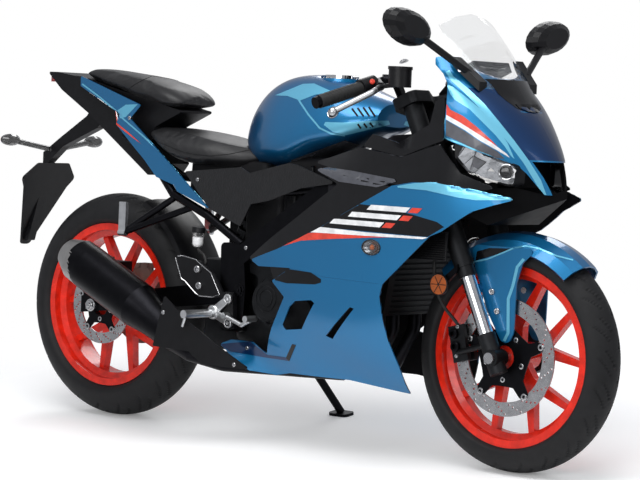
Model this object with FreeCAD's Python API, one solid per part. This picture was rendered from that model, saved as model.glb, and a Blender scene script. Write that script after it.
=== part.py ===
import FreeCAD, Part
import math
import os
from FreeCAD import Vector

# A sport motorcycle with a full fairing, leaning on its side stand.
# It is drawn upright first: X forward from the rear axle, Y to its left, Z up
# from the ground. At the end every piece is leaned over and moved together.
# All lengths are in millimetres and all angles in degrees.

# Driving dimensions of the whole machine
WHEELBASE = 1380.0
REAR_TYRE_RADIUS = 314.0
FRONT_TYRE_RADIUS = 293.0
REAR_TYRE_WIDTH = 140.0
FRONT_TYRE_WIDTH = 110.0
STEERING_ANGLE = 25.0
STEERING_TRAIL = 95.0
LEAN_ANGLE = 8.5

# Fits
PIN_CLEARANCE = 0.4
SEAT_GAP = 0.3
OVERRUN = 20.0
SECTION_STEPS = 16
ARC_REACH_SHARE = 0.45
STRAIGHT_SHARE = 0.995

# Wheels
BEAD_RADIUS = 216.0
FLANGE_RADIUS = 229.0
FRONT_RIM_WIDTH = 84.0
REAR_RIM_WIDTH = 114.0
RIM_WALL = 6.0
RIM_WELL_DEPTH = 16.0
BEAD_SEAT_WIDTH = 15.0
TYRE_WALL = 8.0
TYRE_BEAD_STEP = 9.0
SPOKE_PAIRS = 5
SPOKE_WIDTH = 17.0
SPOKE_THICKNESS = 24.0
SPOKE_STEM_WIDTH = 34.0
SPOKE_FORK_RADIUS = 92.0
SPOKE_SPREAD = 19.0
HUB_RADIUS = 34.0
FRONT_HUB_WIDTH = 104.0
REAR_HUB_WIDTH = 130.0
AXLE_RADIUS = 8.5
AXLE_NUT_RADIUS = 14.0
AXLE_NUT_LENGTH = 10.0
AXLE_COLLAR_RADIUS = 13.0

# Brake discs and their calipers
DISC_THICKNESS = 4.5
FRONT_DISC_RADIUS = 149.0
FRONT_DISC_BAND = 36.0
FRONT_DISC_OFFSET = 58.0
REAR_DISC_RADIUS = 110.0
REAR_DISC_BAND = 30.0
REAR_DISC_OFFSET = 80.0
CARRIER_ARMS = 5
CARRIER_ARM_WIDTH = 16.0
CARRIER_RING_RADIUS = 56.0
PAD_CLEARANCE = 5.5
CALIPER_LENGTH = 92.0
CALIPER_DEPTH = 46.0
CALIPER_WALL = 14.0
REAR_CALIPER_X = 55.2
REAR_CALIPER_LENGTH = 64.4
REAR_CALIPER_DROP_SHARE = 0.6

# Chain drive
CHAIN_OFFSET = 86.0
CHAIN_WIDTH = 15.0
CHAIN_PITCH = 15.875
CHAIN_HEIGHT = 15.0
REAR_SPROCKET_TEETH = 43
FRONT_SPROCKET_TEETH = 14
SPROCKET_THICKNESS = 6.0
SPROCKET_RIM = 22.0
CARRIER_STEP_SHARE = 1.6
CARRIER_SEAT_SHARE = 1.4
TOOTH_ROOT_SHARES = (0.0, 0.35)
TOOTH_TIP_SHARES = (0.6, 0.75)
TOOTH_DEPTH_SHARE = 0.33
TOOTH_HEIGHT_SHARE = 0.2
CHAIN_REAR_STEPS = 14
CHAIN_FRONT_STEPS = 6
SPROCKET_X = 640.0
SPROCKET_Z = 394.0
SPROCKET_POCKET_Y = 72.0
SHAFT_RADIUS = 12.0

# Front fork, held in two clamps
FORK_SPACING = 97.0
FORK_AHEAD = 31.0
FORK_OUTER_RADIUS = 26.0
FORK_INNER_RADIUS = 18.5
FORK_TUBE_WALL = 3.0
FORK_TOP = 1018.0
FORK_OUTER_LOW = 548.0
FORK_FOOT_LENGTH = 78.0
FORK_FOOT_WIDTH = 48.0
CLAMP_THICKNESS = 30.0
LOW_CLAMP_HEIGHT = 770.0
TOP_CLAMP_HEIGHT = 985.0
STEM_RADIUS = 15.0
HEAD_TUBE_RADIUS = 32.0
HEAD_TUBE_WALL = 7.0
CLAMP_MARGIN = 10.0
STEM_NUT_HEIGHT = 14.0
FORK_SEAL_LENGTH = 26.0
FORK_SEAL_WALL = 4.0
FORK_EYE_RADIUS = 21.0
REFLECTOR_PLACE = (1222.0, 128.0, 464.0)
REFLECTOR_RADIUS = 26.0
REFLECTOR_DEPTH = 10.0
CALIPER_ANGLE = 10.0

# Front fender
FENDER_CLEARANCE = 16.0
FENDER_THICKNESS = 4.0
FENDER_HALF_WIDTH = 70.0
FENDER_DROP = 46.0
FENDER_PROFILE_SHARES = [(1.0, 1.0), (0.8, 0.45), (0.4, 0.1), (0.0, 0.0)]
FENDER_FRONT_ANGLE = 40.0
FENDER_REAR_ANGLE = 46.0
FENDER_MOUNT_HEIGHT = 490.0
FENDER_MOUNT_RADIUS = 14.0
FENDER_CHEEK_X = 1270.0
FENDER_CHEEK_Z = 330.0
FENDER_CHEEK_LENGTH = 200.0
FENDER_CHEEK_HEIGHT = 250.0
FENDER_CHEEK_SHARES = [
    (0.0, 0.95), (1.0, 0.95), (0.79, 0.80), (0.71, 0.60), (0.70, 0.10), (0.64, 0.0),
    (0.52, 0.0), (0.28, 0.30), (0.05, 0.76),
]

# Handlebars
GRIP_RADIUS = 17.0
BAR_RADIUS = 11.0
GRIP_INNER = (1006.0, 215.0, 946.0)
GRIP_OUTER = (976.0, 340.0, 907.0)
BAR_INNER = (1046.0, 122.0, 968.0)
BAR_END_LENGTH = 12.0
BAR_END_RADIUS = 15.0
SWITCH_LENGTH = 46.0
SWITCH_RADIUS = 22.0
LEVER_PIVOT = (1056.0, 196.0, 952.0)
LEVER_TIP = (1016.0, 332.0, 884.0)
LEVER_RADIUS = 8.0
LEVER_BEND = 32.0
LEVER_BALL_RADIUS = 11.2
RESERVOIR_PLACE = (1112.0, 190.0, 952.0)
RESERVOIR_RADIUS = 29.0
RESERVOIR_HEIGHT = 44.0
RESERVOIR_LID = 8.0
RESERVOIR_STAY = 6.0
CONTROL_ROOM_RADIUS = 250.0
CONTROL_ROOM_HEIGHT = 300.0
LEVER_KNUCKLE = (1066.0, 236.0, 938.0)
LEVER_PERCH_RADIUS = 11.0
BAR_STUB = 80.0
BAR_SLEEVE = 6.0
PERCH_SETBACK = 74.0
PERCH_PLACE = 60.0
BRACKET_HALF = 13.0

# Frame and swingarm
PIVOT_X = 558.0
PIVOT_Z = 398.0
PIVOT_BOLT_RADIUS = 9.0
PLATE_INNER = 118.0
PLATE_THICKNESS = 22.0
ARM_THICKNESS = 22.0
ARM_HALF_HEIGHT = 29.0
ARM_INNER = 95.0
SUBFRAME_TUBE_RADIUS = 12.0
PIVOT_TUBE_RADIUS = 18.0
PLATE_ROUNDING = 14.0
PLATE_SHARES = [
    (-0.10, 1.0), (0.62, 1.0), (0.86, 0.93), (1.0, 0.5), (0.92, 0.0), (0.0, 0.0), (-0.04, 0.5),
]
PLATE_REAR_X = 500.0
PLATE_LENGTH = 84.0
PLATE_LOW_Z = 288.0
PLATE_HEIGHT = 235.0
SPAR_HALF_HEIGHT = 30.0
SPAR_HALF_THICKNESS = 16.0
SPAR_ROOT_SHARE = 0.8
SHOCK_RADIUS = 26.0
SHOCK_LOW = (400.0, 0.0, 418.0)
SHOCK_TOP = (502.0, 0.0, 640.0)
SHOCK_COILS = 7
SHOCK_TUBE_RADIUS = 14.0
SHOCK_EYE_DROP = 22.0
HEAD_GAP = 0.5
SPAR_BEND = (1010.0, 62.0, 800.0)
SPAR_MIDDLE = (862.0, 134.0, 688.0)
SPAR_FOOT_Z = 490.0
STAY_FRONT = (1270.0, 0.0, 862.0)
STAY_HALF_WIDTH = 168.5
STAY_RADIUS = 11.0
STAY_TIP_RADIUS = 1.5
STAY_TIP_LENGTH = 20.0
CROSS_TUBES = [(512.0, 505.0), (512.0, 300.0)]
SUBFRAME_WIDTH = 108.0
RAIL_PLACES = [
    (850.0, -128.0, 684.0), (700.0, -116.0, 668.0), (300.0, -96.0, 690.0), (60.0, -76.0, 795.0),
]
STRUT_PLACES = [
    (556.0, -126.0, 520.0), (420.0, -122.0, 592.0), (285.0, -110.0, 640.0), (160.0, -84.0, 751.0),
]
ARM_BRIDGE_X = 400.0
ARM_BRIDGE_Z = 374.0
ARM_BRIDGE_DEPTH = 56.0
ARM_TAIL = 46.0
ARM_TAIL_SHARE = 0.8
SPOOL_X = 62.0
SPOOL_Z = 328.0
SPOOL_RADIUS = 4.0
CROSS_TUBE_RADIUS = 12.0

# The fairing's box: its outlines are shares of these
FAIRING_REAR_X = 500.0
FAIRING_LENGTH = 1000.0
FAIRING_LOW_Z = 170.0
FAIRING_HEIGHT = 1000.0
FAIRING_HALF_WIDTH = 230.0
FLANK_CUT_SHARE = 1.2
PANEL_THICKNESS = 4.0
FLANK_X_SHARES = [-0.02, 0.14, 0.30, 0.46, 0.60, 0.74, 0.84, 0.92, 1.0]
FLANK_Z_SHARES = [0.0, 0.08, 0.16, 0.25, 0.35, 0.45, 0.53, 0.61]
FLANK_WIDTH_SHARES = [
    [0.600, 0.609, 0.609, 0.600, 0.543, 0.435, 0.348, 0.261, 0.174],
    [0.652, 0.678, 0.722, 0.748, 0.748, 0.696, 0.609, 0.478, 0.348],
    [0.661, 0.739, 0.835, 0.887, 0.887, 0.804, 0.696, 0.565, 0.435],
    [0.674, 0.791, 0.887, 0.939, 0.957, 0.904, 0.783, 0.652, 0.513],
    [0.696, 0.804, 0.896, 0.948, 0.970, 0.939, 0.852, 0.704, 0.548],
    [0.717, 0.813, 0.904, 0.957, 0.978, 0.965, 0.887, 0.730, 0.548],
    [0.730, 0.817, 0.904, 0.965, 0.991, 0.983, 0.896, 0.722, 0.513],
    [0.739, 0.817, 0.896, 0.957, 0.983, 0.965, 0.870, 0.696, 0.478],
]
SIDE_COWL_SHARES = [
    (0.631, 0.536), (0.695, 0.548), (0.766, 0.550), (0.864, 0.537), (0.954, 0.519), (0.911, 0.504),
    (0.861, 0.485), (0.819, 0.456), (0.782, 0.431), (0.749, 0.417), (0.684, 0.356), (0.610, 0.288),
    (0.405, 0.292), (0.300, 0.306), (0.169, 0.302), (0.137, 0.317), (0.243, 0.352), (0.388, 0.415),
]
LOWER_COWL_SHARES = [
    (0.612, 0.292), (0.601, 0.259), (0.606, 0.214), (0.618, 0.143), (0.635, 0.076), (0.644, 0.010),
    (0.566, 0.018), (0.457, 0.028), (0.253, 0.026), (0.203, 0.016), (0.122, 0.021), (0.084, 0.046),
    (0.000, 0.080), (0.030, 0.094), (0.136, 0.098), (0.186, 0.072), (0.217, 0.140), (0.269, 0.229),
    (0.220, 0.267), (0.300, 0.310), (0.405, 0.296),
]
FRONT_VENT_SHARES = [(0.504, 0.222), (0.517, 0.219), (0.435, 0.134), (0.412, 0.140)]
REAR_VENT_SHARES = [
    (0.289, 0.205), (0.312, 0.222), (0.370, 0.229), (0.381, 0.222), (0.328, 0.150), (0.270, 0.143),
    (0.260, 0.155),
]
REAR_PANEL_SHARES = [
    (0.350, 0.572), (0.560, 0.541), (0.625, 0.534), (0.630, 0.526), (0.392, 0.405), (0.246, 0.344),
    (0.145, 0.309), (0.127, 0.322), (0.448, 0.531),
]
UPPER_PANEL_SHARES = [
    (0.320, 0.582), (0.497, 0.627), (0.640, 0.608), (0.749, 0.645), (0.820, 0.575), (0.905, 0.543),
    (0.862, 0.534), (0.766, 0.536), (0.651, 0.538), (0.560, 0.545),
]
INNER_STRIP_SHARES = [
    (0.503, 0.630), (0.638, 0.609), (0.719, 0.641), (0.754, 0.654), (0.736, 0.765), (0.708, 0.750),
    (0.704, 0.693), (0.620, 0.643), (0.526, 0.663),
]

# Nose, with its sections seen from above
NOSE_HALF_WIDTH = 186.0
NOSE_REAR_X = 1128.0
NOSE_LENGTH = 370.0
NOSE_Z_SHARES = [0.500, 0.535, 0.580, 0.625, 0.665, 0.715, 0.765, 0.815, 0.865, 0.945]
NOSE_CENTRE_SHARES = [0.995, 0.990, 0.965, 0.910, 0.840, 0.740, 0.610, 0.480, 0.350, 0.170]
NOSE_RIDGE_SHARES = [0.890, 0.880, 0.830, 0.765, 0.690, 0.605, 0.480, 0.320, 0.190, 0.060]
NOSE_RIDGE_WIDTH_SHARES = [0.22, 0.25, 0.36, 0.48, 0.58, 0.63, 0.70, 0.79, 0.85, 0.90]
NOSE_SIDE_SHARES = [0.710, 0.700, 0.675, 0.600, 0.510, 0.440, 0.365, 0.235, 0.100, -0.030]
NOSE_SIDE_WIDTH_SHARES = [0.54, 0.57, 0.62, 0.74, 0.82, 0.83, 0.85, 0.905, 0.945, 0.965]
NOSE_FLANK_WIDTH_SHARES = [0.84, 0.86, 0.88, 0.92, 0.94, 0.945, 0.95, 0.965, 0.98, 0.985]
NOSE_FLANK_REACH = 130.0
NOSE_BROW_WIDTH_SHARE = 0.55
NOSE_BROW_SHARE = 0.72
NOSE_CUT_SHARE = 1.5
NOSE_OUTLINE_SHARES = [
    (0.965, 0.531), (0.931, 0.582), (0.915, 0.600), (0.867, 0.619), (0.805, 0.642), (0.750, 0.660),
    (0.743, 0.765), (0.745, 0.795), (0.729, 0.820), (0.692, 0.855), (0.632, 0.880), (0.650, 0.945),
    (0.685, 0.898), (0.752, 0.844), (0.814, 0.810), (0.849, 0.772), (0.880, 0.735), (1.02, 0.735),
    (1.02, 0.531),
]
CHIN_SHARES = [
    (1.003, 0.523), (1.000, 0.545), (0.965, 0.530), (0.900, 0.545), (0.830, 0.540), (0.790, 0.480),
    (0.845, 0.450),
]
CHIN_HALF_WIDTH = 150.0
INTAKE_SHARES = [(0.16, 0.525), (0.19, 0.540), (0.27, 0.575), (0.37, 0.612)]
INTAKE_REAR_X = 1396.0
INTAKE_WALL_WIDTH = 74.0
INTAKE_WALL_SHARE = 0.625
HEADLAMP_SHARES = [
    (0.779, 0.655), (0.783, 0.614), (0.813, 0.578), (0.849, 0.562), (0.903, 0.549), (0.918, 0.552),
    (0.920, 0.600), (0.867, 0.624), (0.805, 0.648),
]
HEADLAMP_REAR_WIDTH = 176.0
HEADLAMP_FRONT_WIDTH = 104.0
HEADLAMP_DEPTH = 40.0
SCREEN_Z_SHARES = [0.735, 0.790, 0.845, 0.900, 0.942, 0.978]
SCREEN_X_SHARES = [0.878, 0.843, 0.803, 0.758, 0.720, 0.682]
SCREEN_HALF_WIDTH = 128.0
SCREEN_BOW = 50.0
SCREEN_OUTLINE_SHARES = [
    (0.0, 0.738), (0.47, 0.757), (0.78, 0.793), (0.97, 0.846), (0.98, 0.898), (0.94, 0.942),
    (0.50, 0.966), (0.0, 0.976),
]
MIRROR_BASE = (1276.0, 122.0, 994.0)
MIRROR_FOOT_REAR = (1245.0, 133.0, 1021.0)
MIRROR_FOOT_FRONT = (1310.0, 108.0, 962.0)
MIRROR_FOOT_HALF_WIDTH = 16.0
MIRROR_FOOT_HALF_HEIGHT = 12.0
MIRROR_HEAD = (1214.0, 301.0, 1099.0)
MIRROR_LENGTH = 172.0
MIRROR_HEIGHT = 86.0
MIRROR_DEPTH = 42.0
MIRROR_STALK_RADIUS = 9.0
MIRROR_TILT = 14.0
MIRROR_SECTION_SHARES = [(-0.30, 1.0), (0.10, 0.98), (0.45, 0.86), (0.70, 0.60)]
OVAL_STEPS = 20
INDICATOR_CENTRE = (1070.0, 548.0)
INDICATOR_LENGTH = 60.0
INDICATOR_HEIGHT = 40.0
INDICATOR_DEPTH = 12.0
INDICATOR_STEPS = 24
UPPER_X_SHARES = [0.30, 0.46, 0.60, 0.74, 0.84, 0.92, 1.0]
UPPER_Z_SHARES = [0.53, 0.58, 0.64, 0.70, 0.78]
UPPER_WIDTH_SHARES = [
    [0.885, 0.946, 0.972, 0.964, 0.877, 0.703, 0.494],
    [0.72, 0.85, 0.92, 0.92, 0.82, 0.60, 0.40],
    [0.66, 0.78, 0.86, 0.86, 0.76, 0.52, 0.35],
    [0.60, 0.70, 0.76, 0.79, 0.70, 0.48, 0.30],
    [0.56, 0.64, 0.70, 0.74, 0.64, 0.44, 0.28],
]
INSTRUMENT_PLACE = (1226.0, 985.0)
INSTRUMENT_LENGTH = 84.0
INSTRUMENT_HALF_WIDTH = 76.0
INSTRUMENT_THICKNESS = 26.0

# The rear bodywork's box, from the tail's tip to the tank's foot
BODY_REAR_X = -265.0
BODY_LENGTH = 1000.0
BODY_LOW_Z = 500.0
BODY_HEIGHT = 500.0
BODY_HALF_WIDTH = 170.0
TANK_X_SHARES = [0.745, 0.775, 0.820, 0.880, 0.950, 1.020, 1.090, 1.150, 1.200, 1.225]
TANK_WIDTH_SHARES = [0.20, 0.42, 0.60, 0.76, 0.86, 0.92, 0.92, 0.84, 0.70, 0.56]
TANK_LOW_SHARES = [0.58, 0.48, 0.46, 0.46, 0.48, 0.54, 0.58, 0.62, 0.66, 0.70]
TANK_TOP_SHARES = [0.66, 0.80, 0.88, 0.935, 0.956, 0.952, 0.925, 0.885, 0.85, 0.82]
TANK_SQUARENESS = 2.6
TANK_TOP_SHARE = 0.62
CAP_X = 770.0
CAP_RADIUS = 56.0
CAP_RING_HEIGHT = 3.0
CAP_LID_RADIUS = 44.0
CAP_LID_HEIGHT = 9.0
CAP_HINGE_LENGTH = 26.0
CAP_HINGE_RADIUS = 3.6
CAP_BASE_Z = 968.0
RIDER_SEAT_X_SHARES = [0.424, 0.480, 0.560, 0.660, 0.740, 0.800, 0.838]
RIDER_SEAT_WIDTH_SHARES = [0.56, 0.74, 0.84, 0.80, 0.64, 0.50, 0.40]
RIDER_SEAT_LOW_SHARES = [0.58, 0.52, 0.46, 0.44, 0.44, 0.46, 0.50]
RIDER_SEAT_TOP_SHARES = [0.64, 0.640, 0.628, 0.600, 0.568, 0.560, 0.580]
PILLION_X_SHARES = [0.130, 0.165, 0.260, 0.360, 0.450, 0.515, 0.535]
PILLION_WIDTH_SHARES = [0.30, 0.40, 0.54, 0.62, 0.64, 0.56, 0.44]
PILLION_LOW_SHARES = [0.915, 0.890, 0.850, 0.800, 0.765, 0.750, 0.760]
PILLION_TOP_SHARES = [0.935, 0.950, 0.940, 0.918, 0.880, 0.830, 0.790]
SEAT_SQUARENESS = 3.0
SEAT_TOP_SHARE = 0.86
HUMP_SHARES = [
    (0.425, 0.57), (0.425, 0.64), (0.530, 0.735), (0.500, 0.745), (0.400, 0.790), (0.290, 0.835),
    (0.135, 0.905), (0.060, 0.915), (0.060, 0.880), (0.200, 0.740), (0.330, 0.620), (0.400, 0.560),
]
HUMP_HALF_WIDTH = 64.0
TAIL_SIDE_SHARES = [
    (0.139, 0.908), (0.408, 0.758), (0.364, 0.680), (0.513, 0.478), (0.706, 0.222), (0.702, 0.222),
    (0.575, 0.298), (0.559, 0.332), (0.485, 0.368), (0.431, 0.458), (0.386, 0.522), (0.304, 0.644),
    (0.317, 0.704), (0.140, 0.850),
]
TAIL_REAR_WIDTH = 72.0
TAIL_FRONT_WIDTH = 140.0
UNDERTAIL_SHARES = [
    (0.002, 0.926), (0.043, 0.926), (0.135, 0.900), (0.300, 0.700), (0.420, 0.540), (0.440, 0.440),
    (0.412, 0.370), (0.262, 0.576), (0.168, 0.702), (0.060, 0.826),
]
UNDERTAIL_HALF_WIDTH = 68.0
SIDE_COVER_SHARES = [
    (0.604, 0.410), (0.819, 0.452), (0.852, 0.424), (0.995, 0.490), (1.030, 0.482), (1.169, 0.402),
    (1.044, 0.364), (0.932, 0.288), (0.862, 0.260), (0.826, 0.138), (0.705, 0.220),
]
SIDE_COVER_REAR_WIDTH = 130.0
SIDE_COVER_FRONT_WIDTH = 168.0
LAMP_PLACE = (-262.0, 935.0)
TAIL_LAMP_DEPTH = 20.0
TAIL_LAMP_HEIGHT = 26.0
TAIL_LAMP_HALF_WIDTH = 54.4
PLATE_ARM_SHARES = [
    (0.009, 0.552), (0.110, 0.680), (0.145, 0.760), (0.200, 0.700), (0.153, 0.614), (0.020, 0.500),
    (-0.040, 0.400), (-0.110, -0.060),
    (-0.140, -0.060), (-0.060, 0.400), (-0.060, 0.460),
]
PLATE_ARM_HALF_WIDTH = 14.0
FLAP_TOP = (-314.0, 104.0, 656.0)
FLAP_SHOULDER = (-316.0, 84.0, 629.0)
FLAP_TIP = (-399.0, 15.0, 458.0)
FLAP_NECK = (-290.0, 60.0, 700.0)
FLAP_THICKNESS = 8.0
REAR_LAMP_STALK = (-296.0, 60.0, 740.0)
REAR_LAMP_PLACE = (-303.0, 168.0, 764.0)
REAR_LAMP_LENGTH = 70.0
REAR_LAMP_HEIGHT = 34.0
REAR_LAMP_DEPTH = 30.0
REAR_LAMP_SECTION_SHARES = [(-0.5, 0.6), (-0.2, 0.95), (0.15, 1.0), (0.5, 0.6)]
STALK_RADIUS = 8.0

# Footrests and their brackets
BRACKET_INNER = 140.0
BRACKET_THICKNESS = 16.0
BRACKET_SHARES = [
    (0.95, 0.95), (1.0, 0.05), (0.78, 0.0), (0.55, 0.12), (0.50, 0.30), (0.62, 0.55), (0.66, 0.95),
]
BRACKET_REAR_X = 420.0
BRACKET_LENGTH = 142.0
BRACKET_LOW_Z = 292.0
BRACKET_HEIGHT = 104.0
HEEL_INNER = 158.0
HEEL_THICKNESS = 8.0
HEEL_SHARES = [
    (0.0, 0.90), (0.06, 0.97), (0.50, 0.87), (0.80, 0.56), (1.0, 0.06), (0.84, 0.0), (0.49, 0.0),
    (0.13, 0.40),
]
HEEL_REAR_X = 344.0
HEEL_LENGTH = 181.0
HEEL_LOW_Z = 374.0
HEEL_HEIGHT = 107.0
PEG_RADIUS = 11.0
PEG_PLACE = (488.0, 166.0, 333.0)
PEG_LENGTH = 118.0
FEELER_LENGTH = 34.0
FEELER_RADIUS = 4.0
PILLION_MOUNTS = [(290.0, 630.0), (356.0, 608.0)]
PILLION_PEG_PLACE = (162.0, 176.0, 528.0)
PILLION_PEG_LENGTH = 84.0
PILLION_STRUT_RADIUS = 9.0
PILLION_BALL_RADIUS = 11.7
PILLION_MOUNT_WIDTH = 112.0
PEG_FORK_WIDTH = 26.0
HEEL_GUARD_INNER = 148.0
PEDAL_ROOT = (540.0, 330.0)
PEDAL_KNEE = (600.0, 310.0)
PEDAL_TIP = (640.0, 330.0)
PEDAL_RADIUS = 6.0
PEDAL_PAD = 34.0
PEDAL_BOSS = 8.5
CHAIN_GUARD_REAR_X = 20.0
CHAIN_GUARD_REAR_Z = 448.0
CHAIN_GUARD_FRONT_X = 420.0
CHAIN_GUARD_FRONT_Z = 446.0
CHAIN_GUARD_HEIGHT = 62.0

# Engine
CYLINDER_HALF_WIDTH = 96.0
CLUTCH_COVER_DEPTH = 46.0
GENERATOR_COVER_DEPTH = 36.0
CRANKCASE_REAR_X = 552.0
CRANKCASE_LENGTH = 355.0
CRANKCASE_LOW_Z = 235.0
CRANKCASE_HEIGHT = 265.0
CRANKCASE_SHARES = [
    (0.0, 0.83), (0.0, 0.98), (0.25, 1.0), (0.42, 0.93), (0.92, 0.81), (1.0, 0.62), (1.0, 0.25),
    (0.87, 0.02), (0.25, 0.0), (0.10, 0.17), (0.0, 0.17), (0.0, 0.32), (0.16, 0.38), (0.16, 0.77),
]
CYLINDER_SHARES = [(0.42, 0.88), (0.93, 0.76), (1.20, 1.50), (1.18, 1.61), (0.72, 1.80), (0.62, 1.66)]
CLUTCH_CENTRE = (686.0, 378.0)
CLUTCH_RADIUS = 64.0
CLUTCH_DRUM_SHARE = 0.86
CLUTCH_SHARES = [
    (-0.9, 0.5), (-0.5, 1.0), (0.5, 1.0), (0.95, 0.4), (1.9, 0.1), (2.1, -0.5), (1.7, -1.0),
    (0.2, -1.25), (-0.6, -1.0), (-0.9, -0.3),
]
GENERATOR_CENTRE = (790.0, 350.0)
GENERATOR_RADIUS = 70.0
GENERATOR_CAP_RADIUS = 49.0
GENERATOR_CAP_DEPTH = 10.8
SPROCKET_COVER_MARGIN = 18.0
SPROCKET_COVER_THICKNESS = 12.0

# Radiator, behind the front wheel
RADIATOR_LOW = (1046.0, 372.0)
RADIATOR_TOP = (1086.0, 620.0)
RADIATOR_HALF_WIDTH = 150.0
RADIATOR_HALF_DEPTH = 13.0
RADIATOR_TANK_WIDTH = 24.0
RADIATOR_FINS = 18
FIN_ROOT_SHARE = 0.6
FIN_GAP_SHARE = 0.4
RADIATOR_STAY_Y = 84.0
RADIATOR_STAY_Z = 560.0
RADIATOR_STAY_RADIUS = 7.0

# Exhaust
HEADER_RADIUS = 18.0
COLLECTOR_RADIUS = 27.0
MUFFLER_RADIUS = 62.0
MUFFLER_END_RADIUS = 60.1
MUFFLER_CONE_RADIUS = 44.6
MUFFLER_TIP_RADIUS = 40.9
MUFFLER_OUTLET_RADIUS = 19.8
MUFFLER_OFFSET = 207.0
MUFFLER_REAR = (30.0, 444.0)
MUFFLER_FRONT = (262.0, 336.0)
MUFFLER_CAP_LENGTH = 44.0
HEADER_PLACES = [
    (955.0, 590.0), (1006.0, 560.0), (1012.0, 330.0), (940.0, 208.0), (820.0, 203.0),
]
COLLECTOR_PLACES = [
    (820.0, 0.0, 203.0), (640.0, 40.0, 200.0), (520.0, 140.0, 205.0), (440.0, 192.0, 228.0),
]
HEADER_SPACING = 46.0
EXHAUST_COVER_REAR_WIDTH = 266.0
EXHAUST_COVER_FRONT_WIDTH = 223.0
EXHAUST_COVER_REAR_X = 374.0
EXHAUST_COVER_LENGTH = 312.0
EXHAUST_COVER_LOW_Z = 200.0
EXHAUST_COVER_HEIGHT = 176.0
EXHAUST_COVER_SHARES = [
    (0.10, 1.0), (0.36, 0.64), (0.66, 0.32), (1.0, 0.01), (0.75, 0.01), (0.50, 0.03), (0.375, 0.19),
    (0.0, 0.22),
]
EXHAUST_COVER_BOSSES = [(400.0, -207.0, 260.0), (505.0, -162.0, 229.0)]
EXHAUST_COVER_BOSS_RADIUS = 8.0

# Side stand
STAND_LEG_RADIUS = 11.0
STAND_PIVOT = (520.0, 140.0, 262.0)
STAND_FOOT_LENGTH = 66.0
STAND_FOOT_WIDTH = 46.0
STAND_FOOT_THICKNESS = 8.0
STAND_DOWN = (0.25, 0.55, -0.80)
STAND_UP = (-0.98, 0.15, -0.05)
STAND_LUG_RADIUS = 15.0
STAND_LUG_THICKNESS = 8.0
STAND_TONGUE_LENGTH = 34.0
STAND_EAR_REACH = 36.0
STAND_CUTOUT_X = 606.0
STAND_ROOM_RADIUS = 23.0
STAND_GAP = 1.6


def vec(x, y, z):
    return Vector(x, y, z)


MADE = {}


def made(maker):
    """A piece that several others are cut by, built once."""
    if maker not in MADE:
        MADE[maker] = maker()
    return MADE[maker].copy()


def in_box(shares, rear_x, low_z, length, height):
    """Outline points (x, z) from shares of a box seen from the side."""
    return [(rear_x + share_x * length, low_z + share_z * height) for share_x, share_z in shares]


def fairing_points(shares):
    return in_box(shares, FAIRING_REAR_X, FAIRING_LOW_Z, FAIRING_LENGTH, FAIRING_HEIGHT)


def body_points(shares):
    return in_box(shares, BODY_REAR_X, BODY_LOW_Z, BODY_LENGTH, BODY_HEIGHT)


def mirrored(shape):
    return shape.mirror(vec(0, 0, 0), vec(0, 1, 0))


def both_sides(shape):
    return Part.makeCompound([shape, mirrored(shape)])


def fused(shapes):
    whole = shapes[0]
    for shape in shapes[1:]:
        whole = whole.fuse(shape)
    return whole.removeSplitter()


def plate(outline, low_y, high_y):
    """A flat plate of a side outline, from one Y to another."""
    points = [vec(x, low_y, z) for x, z in outline]
    face = Part.Face(Part.makePolygon(points + points[:1]))
    return face.extrude(vec(0, high_y - low_y, 0))


def corner_arc(before, here, after, radius):
    """The start, middle and end of the arc that rounds a corner, or None where it is straight."""
    back = before - here
    onward = after - here
    turn = back.getAngle(onward)
    if turn > math.pi * STRAIGHT_SHARE:
        return None
    longest = min(back.Length, onward.Length) * ARC_REACH_SHARE
    reach = min(radius / math.tan(turn / 2), longest)
    back.normalize()
    onward.normalize()
    size = reach * math.tan(turn / 2)
    inward = (back + onward).normalize()
    middle = here + inward * (size / math.sin(turn / 2) - size)
    return here + back * reach, middle, here + onward * reach


def rounded_wire(points, radius):
    """A closed polygon of vectors with its corners rounded off."""
    edges = []
    last = None
    first = None
    for index, here in enumerate(points):
        arc = corner_arc(points[index - 1], here, points[(index + 1) % len(points)], radius)
        if arc is None:
            continue
        start, middle, end = arc
        if last is None:
            first = start
        else:
            edges.append(Part.makeLine(last, start))
        edges.append(Part.Arc(start, middle, end).toShape())
        last = end
    edges.append(Part.makeLine(last, first))
    return Part.Wire(edges)


def rounded_plate(outline, radius, low_y, high_y):
    points = [vec(x, low_y, z) for x, z in outline]
    face = Part.Face(rounded_wire(points, radius))
    return face.extrude(vec(0, high_y - low_y, 0))


def slanted_plate(outline, rear_width, front_width, thickness, radius):
    """A plate on the right whose outer face runs from one half width to another."""
    rear_x = min(x for x, z in outline)
    front_x = max(x for x, z in outline)
    slope = (front_width - rear_width) / (front_x - rear_x)
    points = [vec(x, -rear_width - slope * (x - rear_x), z) for x, z in outline]
    face = Part.Face(rounded_wire(points, radius))
    return face.extrude(vec(0, thickness, 0))


def rod(start, end, radius):
    return Part.makeCylinder(radius, (end - start).Length, start, end - start)


def pipe(start, end, radius, wall):
    run = end - start
    outer = Part.makeCylinder(radius, run.Length, start, run)
    inner = Part.makeCylinder(radius - wall, run.Length, start, run)
    return outer.cut(inner)


def bent_rod(points, radius, bend):
    """A round bar along straight runs joined by arcs."""
    edges = []
    last = points[0]
    for index in range(1, len(points) - 1):
        arc = corner_arc(points[index - 1], points[index], points[index + 1], bend)
        if arc is None:
            continue
        start, middle, end = arc
        edges.append(Part.makeLine(last, start))
        edges.append(Part.Arc(start, middle, end).toShape())
        last = end
    edges.append(Part.makeLine(last, points[-1]))
    path = Part.Wire(edges)
    section = Part.Wire(Part.makeCircle(radius, points[0], points[1] - points[0]))
    return path.makePipeShell([section], True, False)


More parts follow.
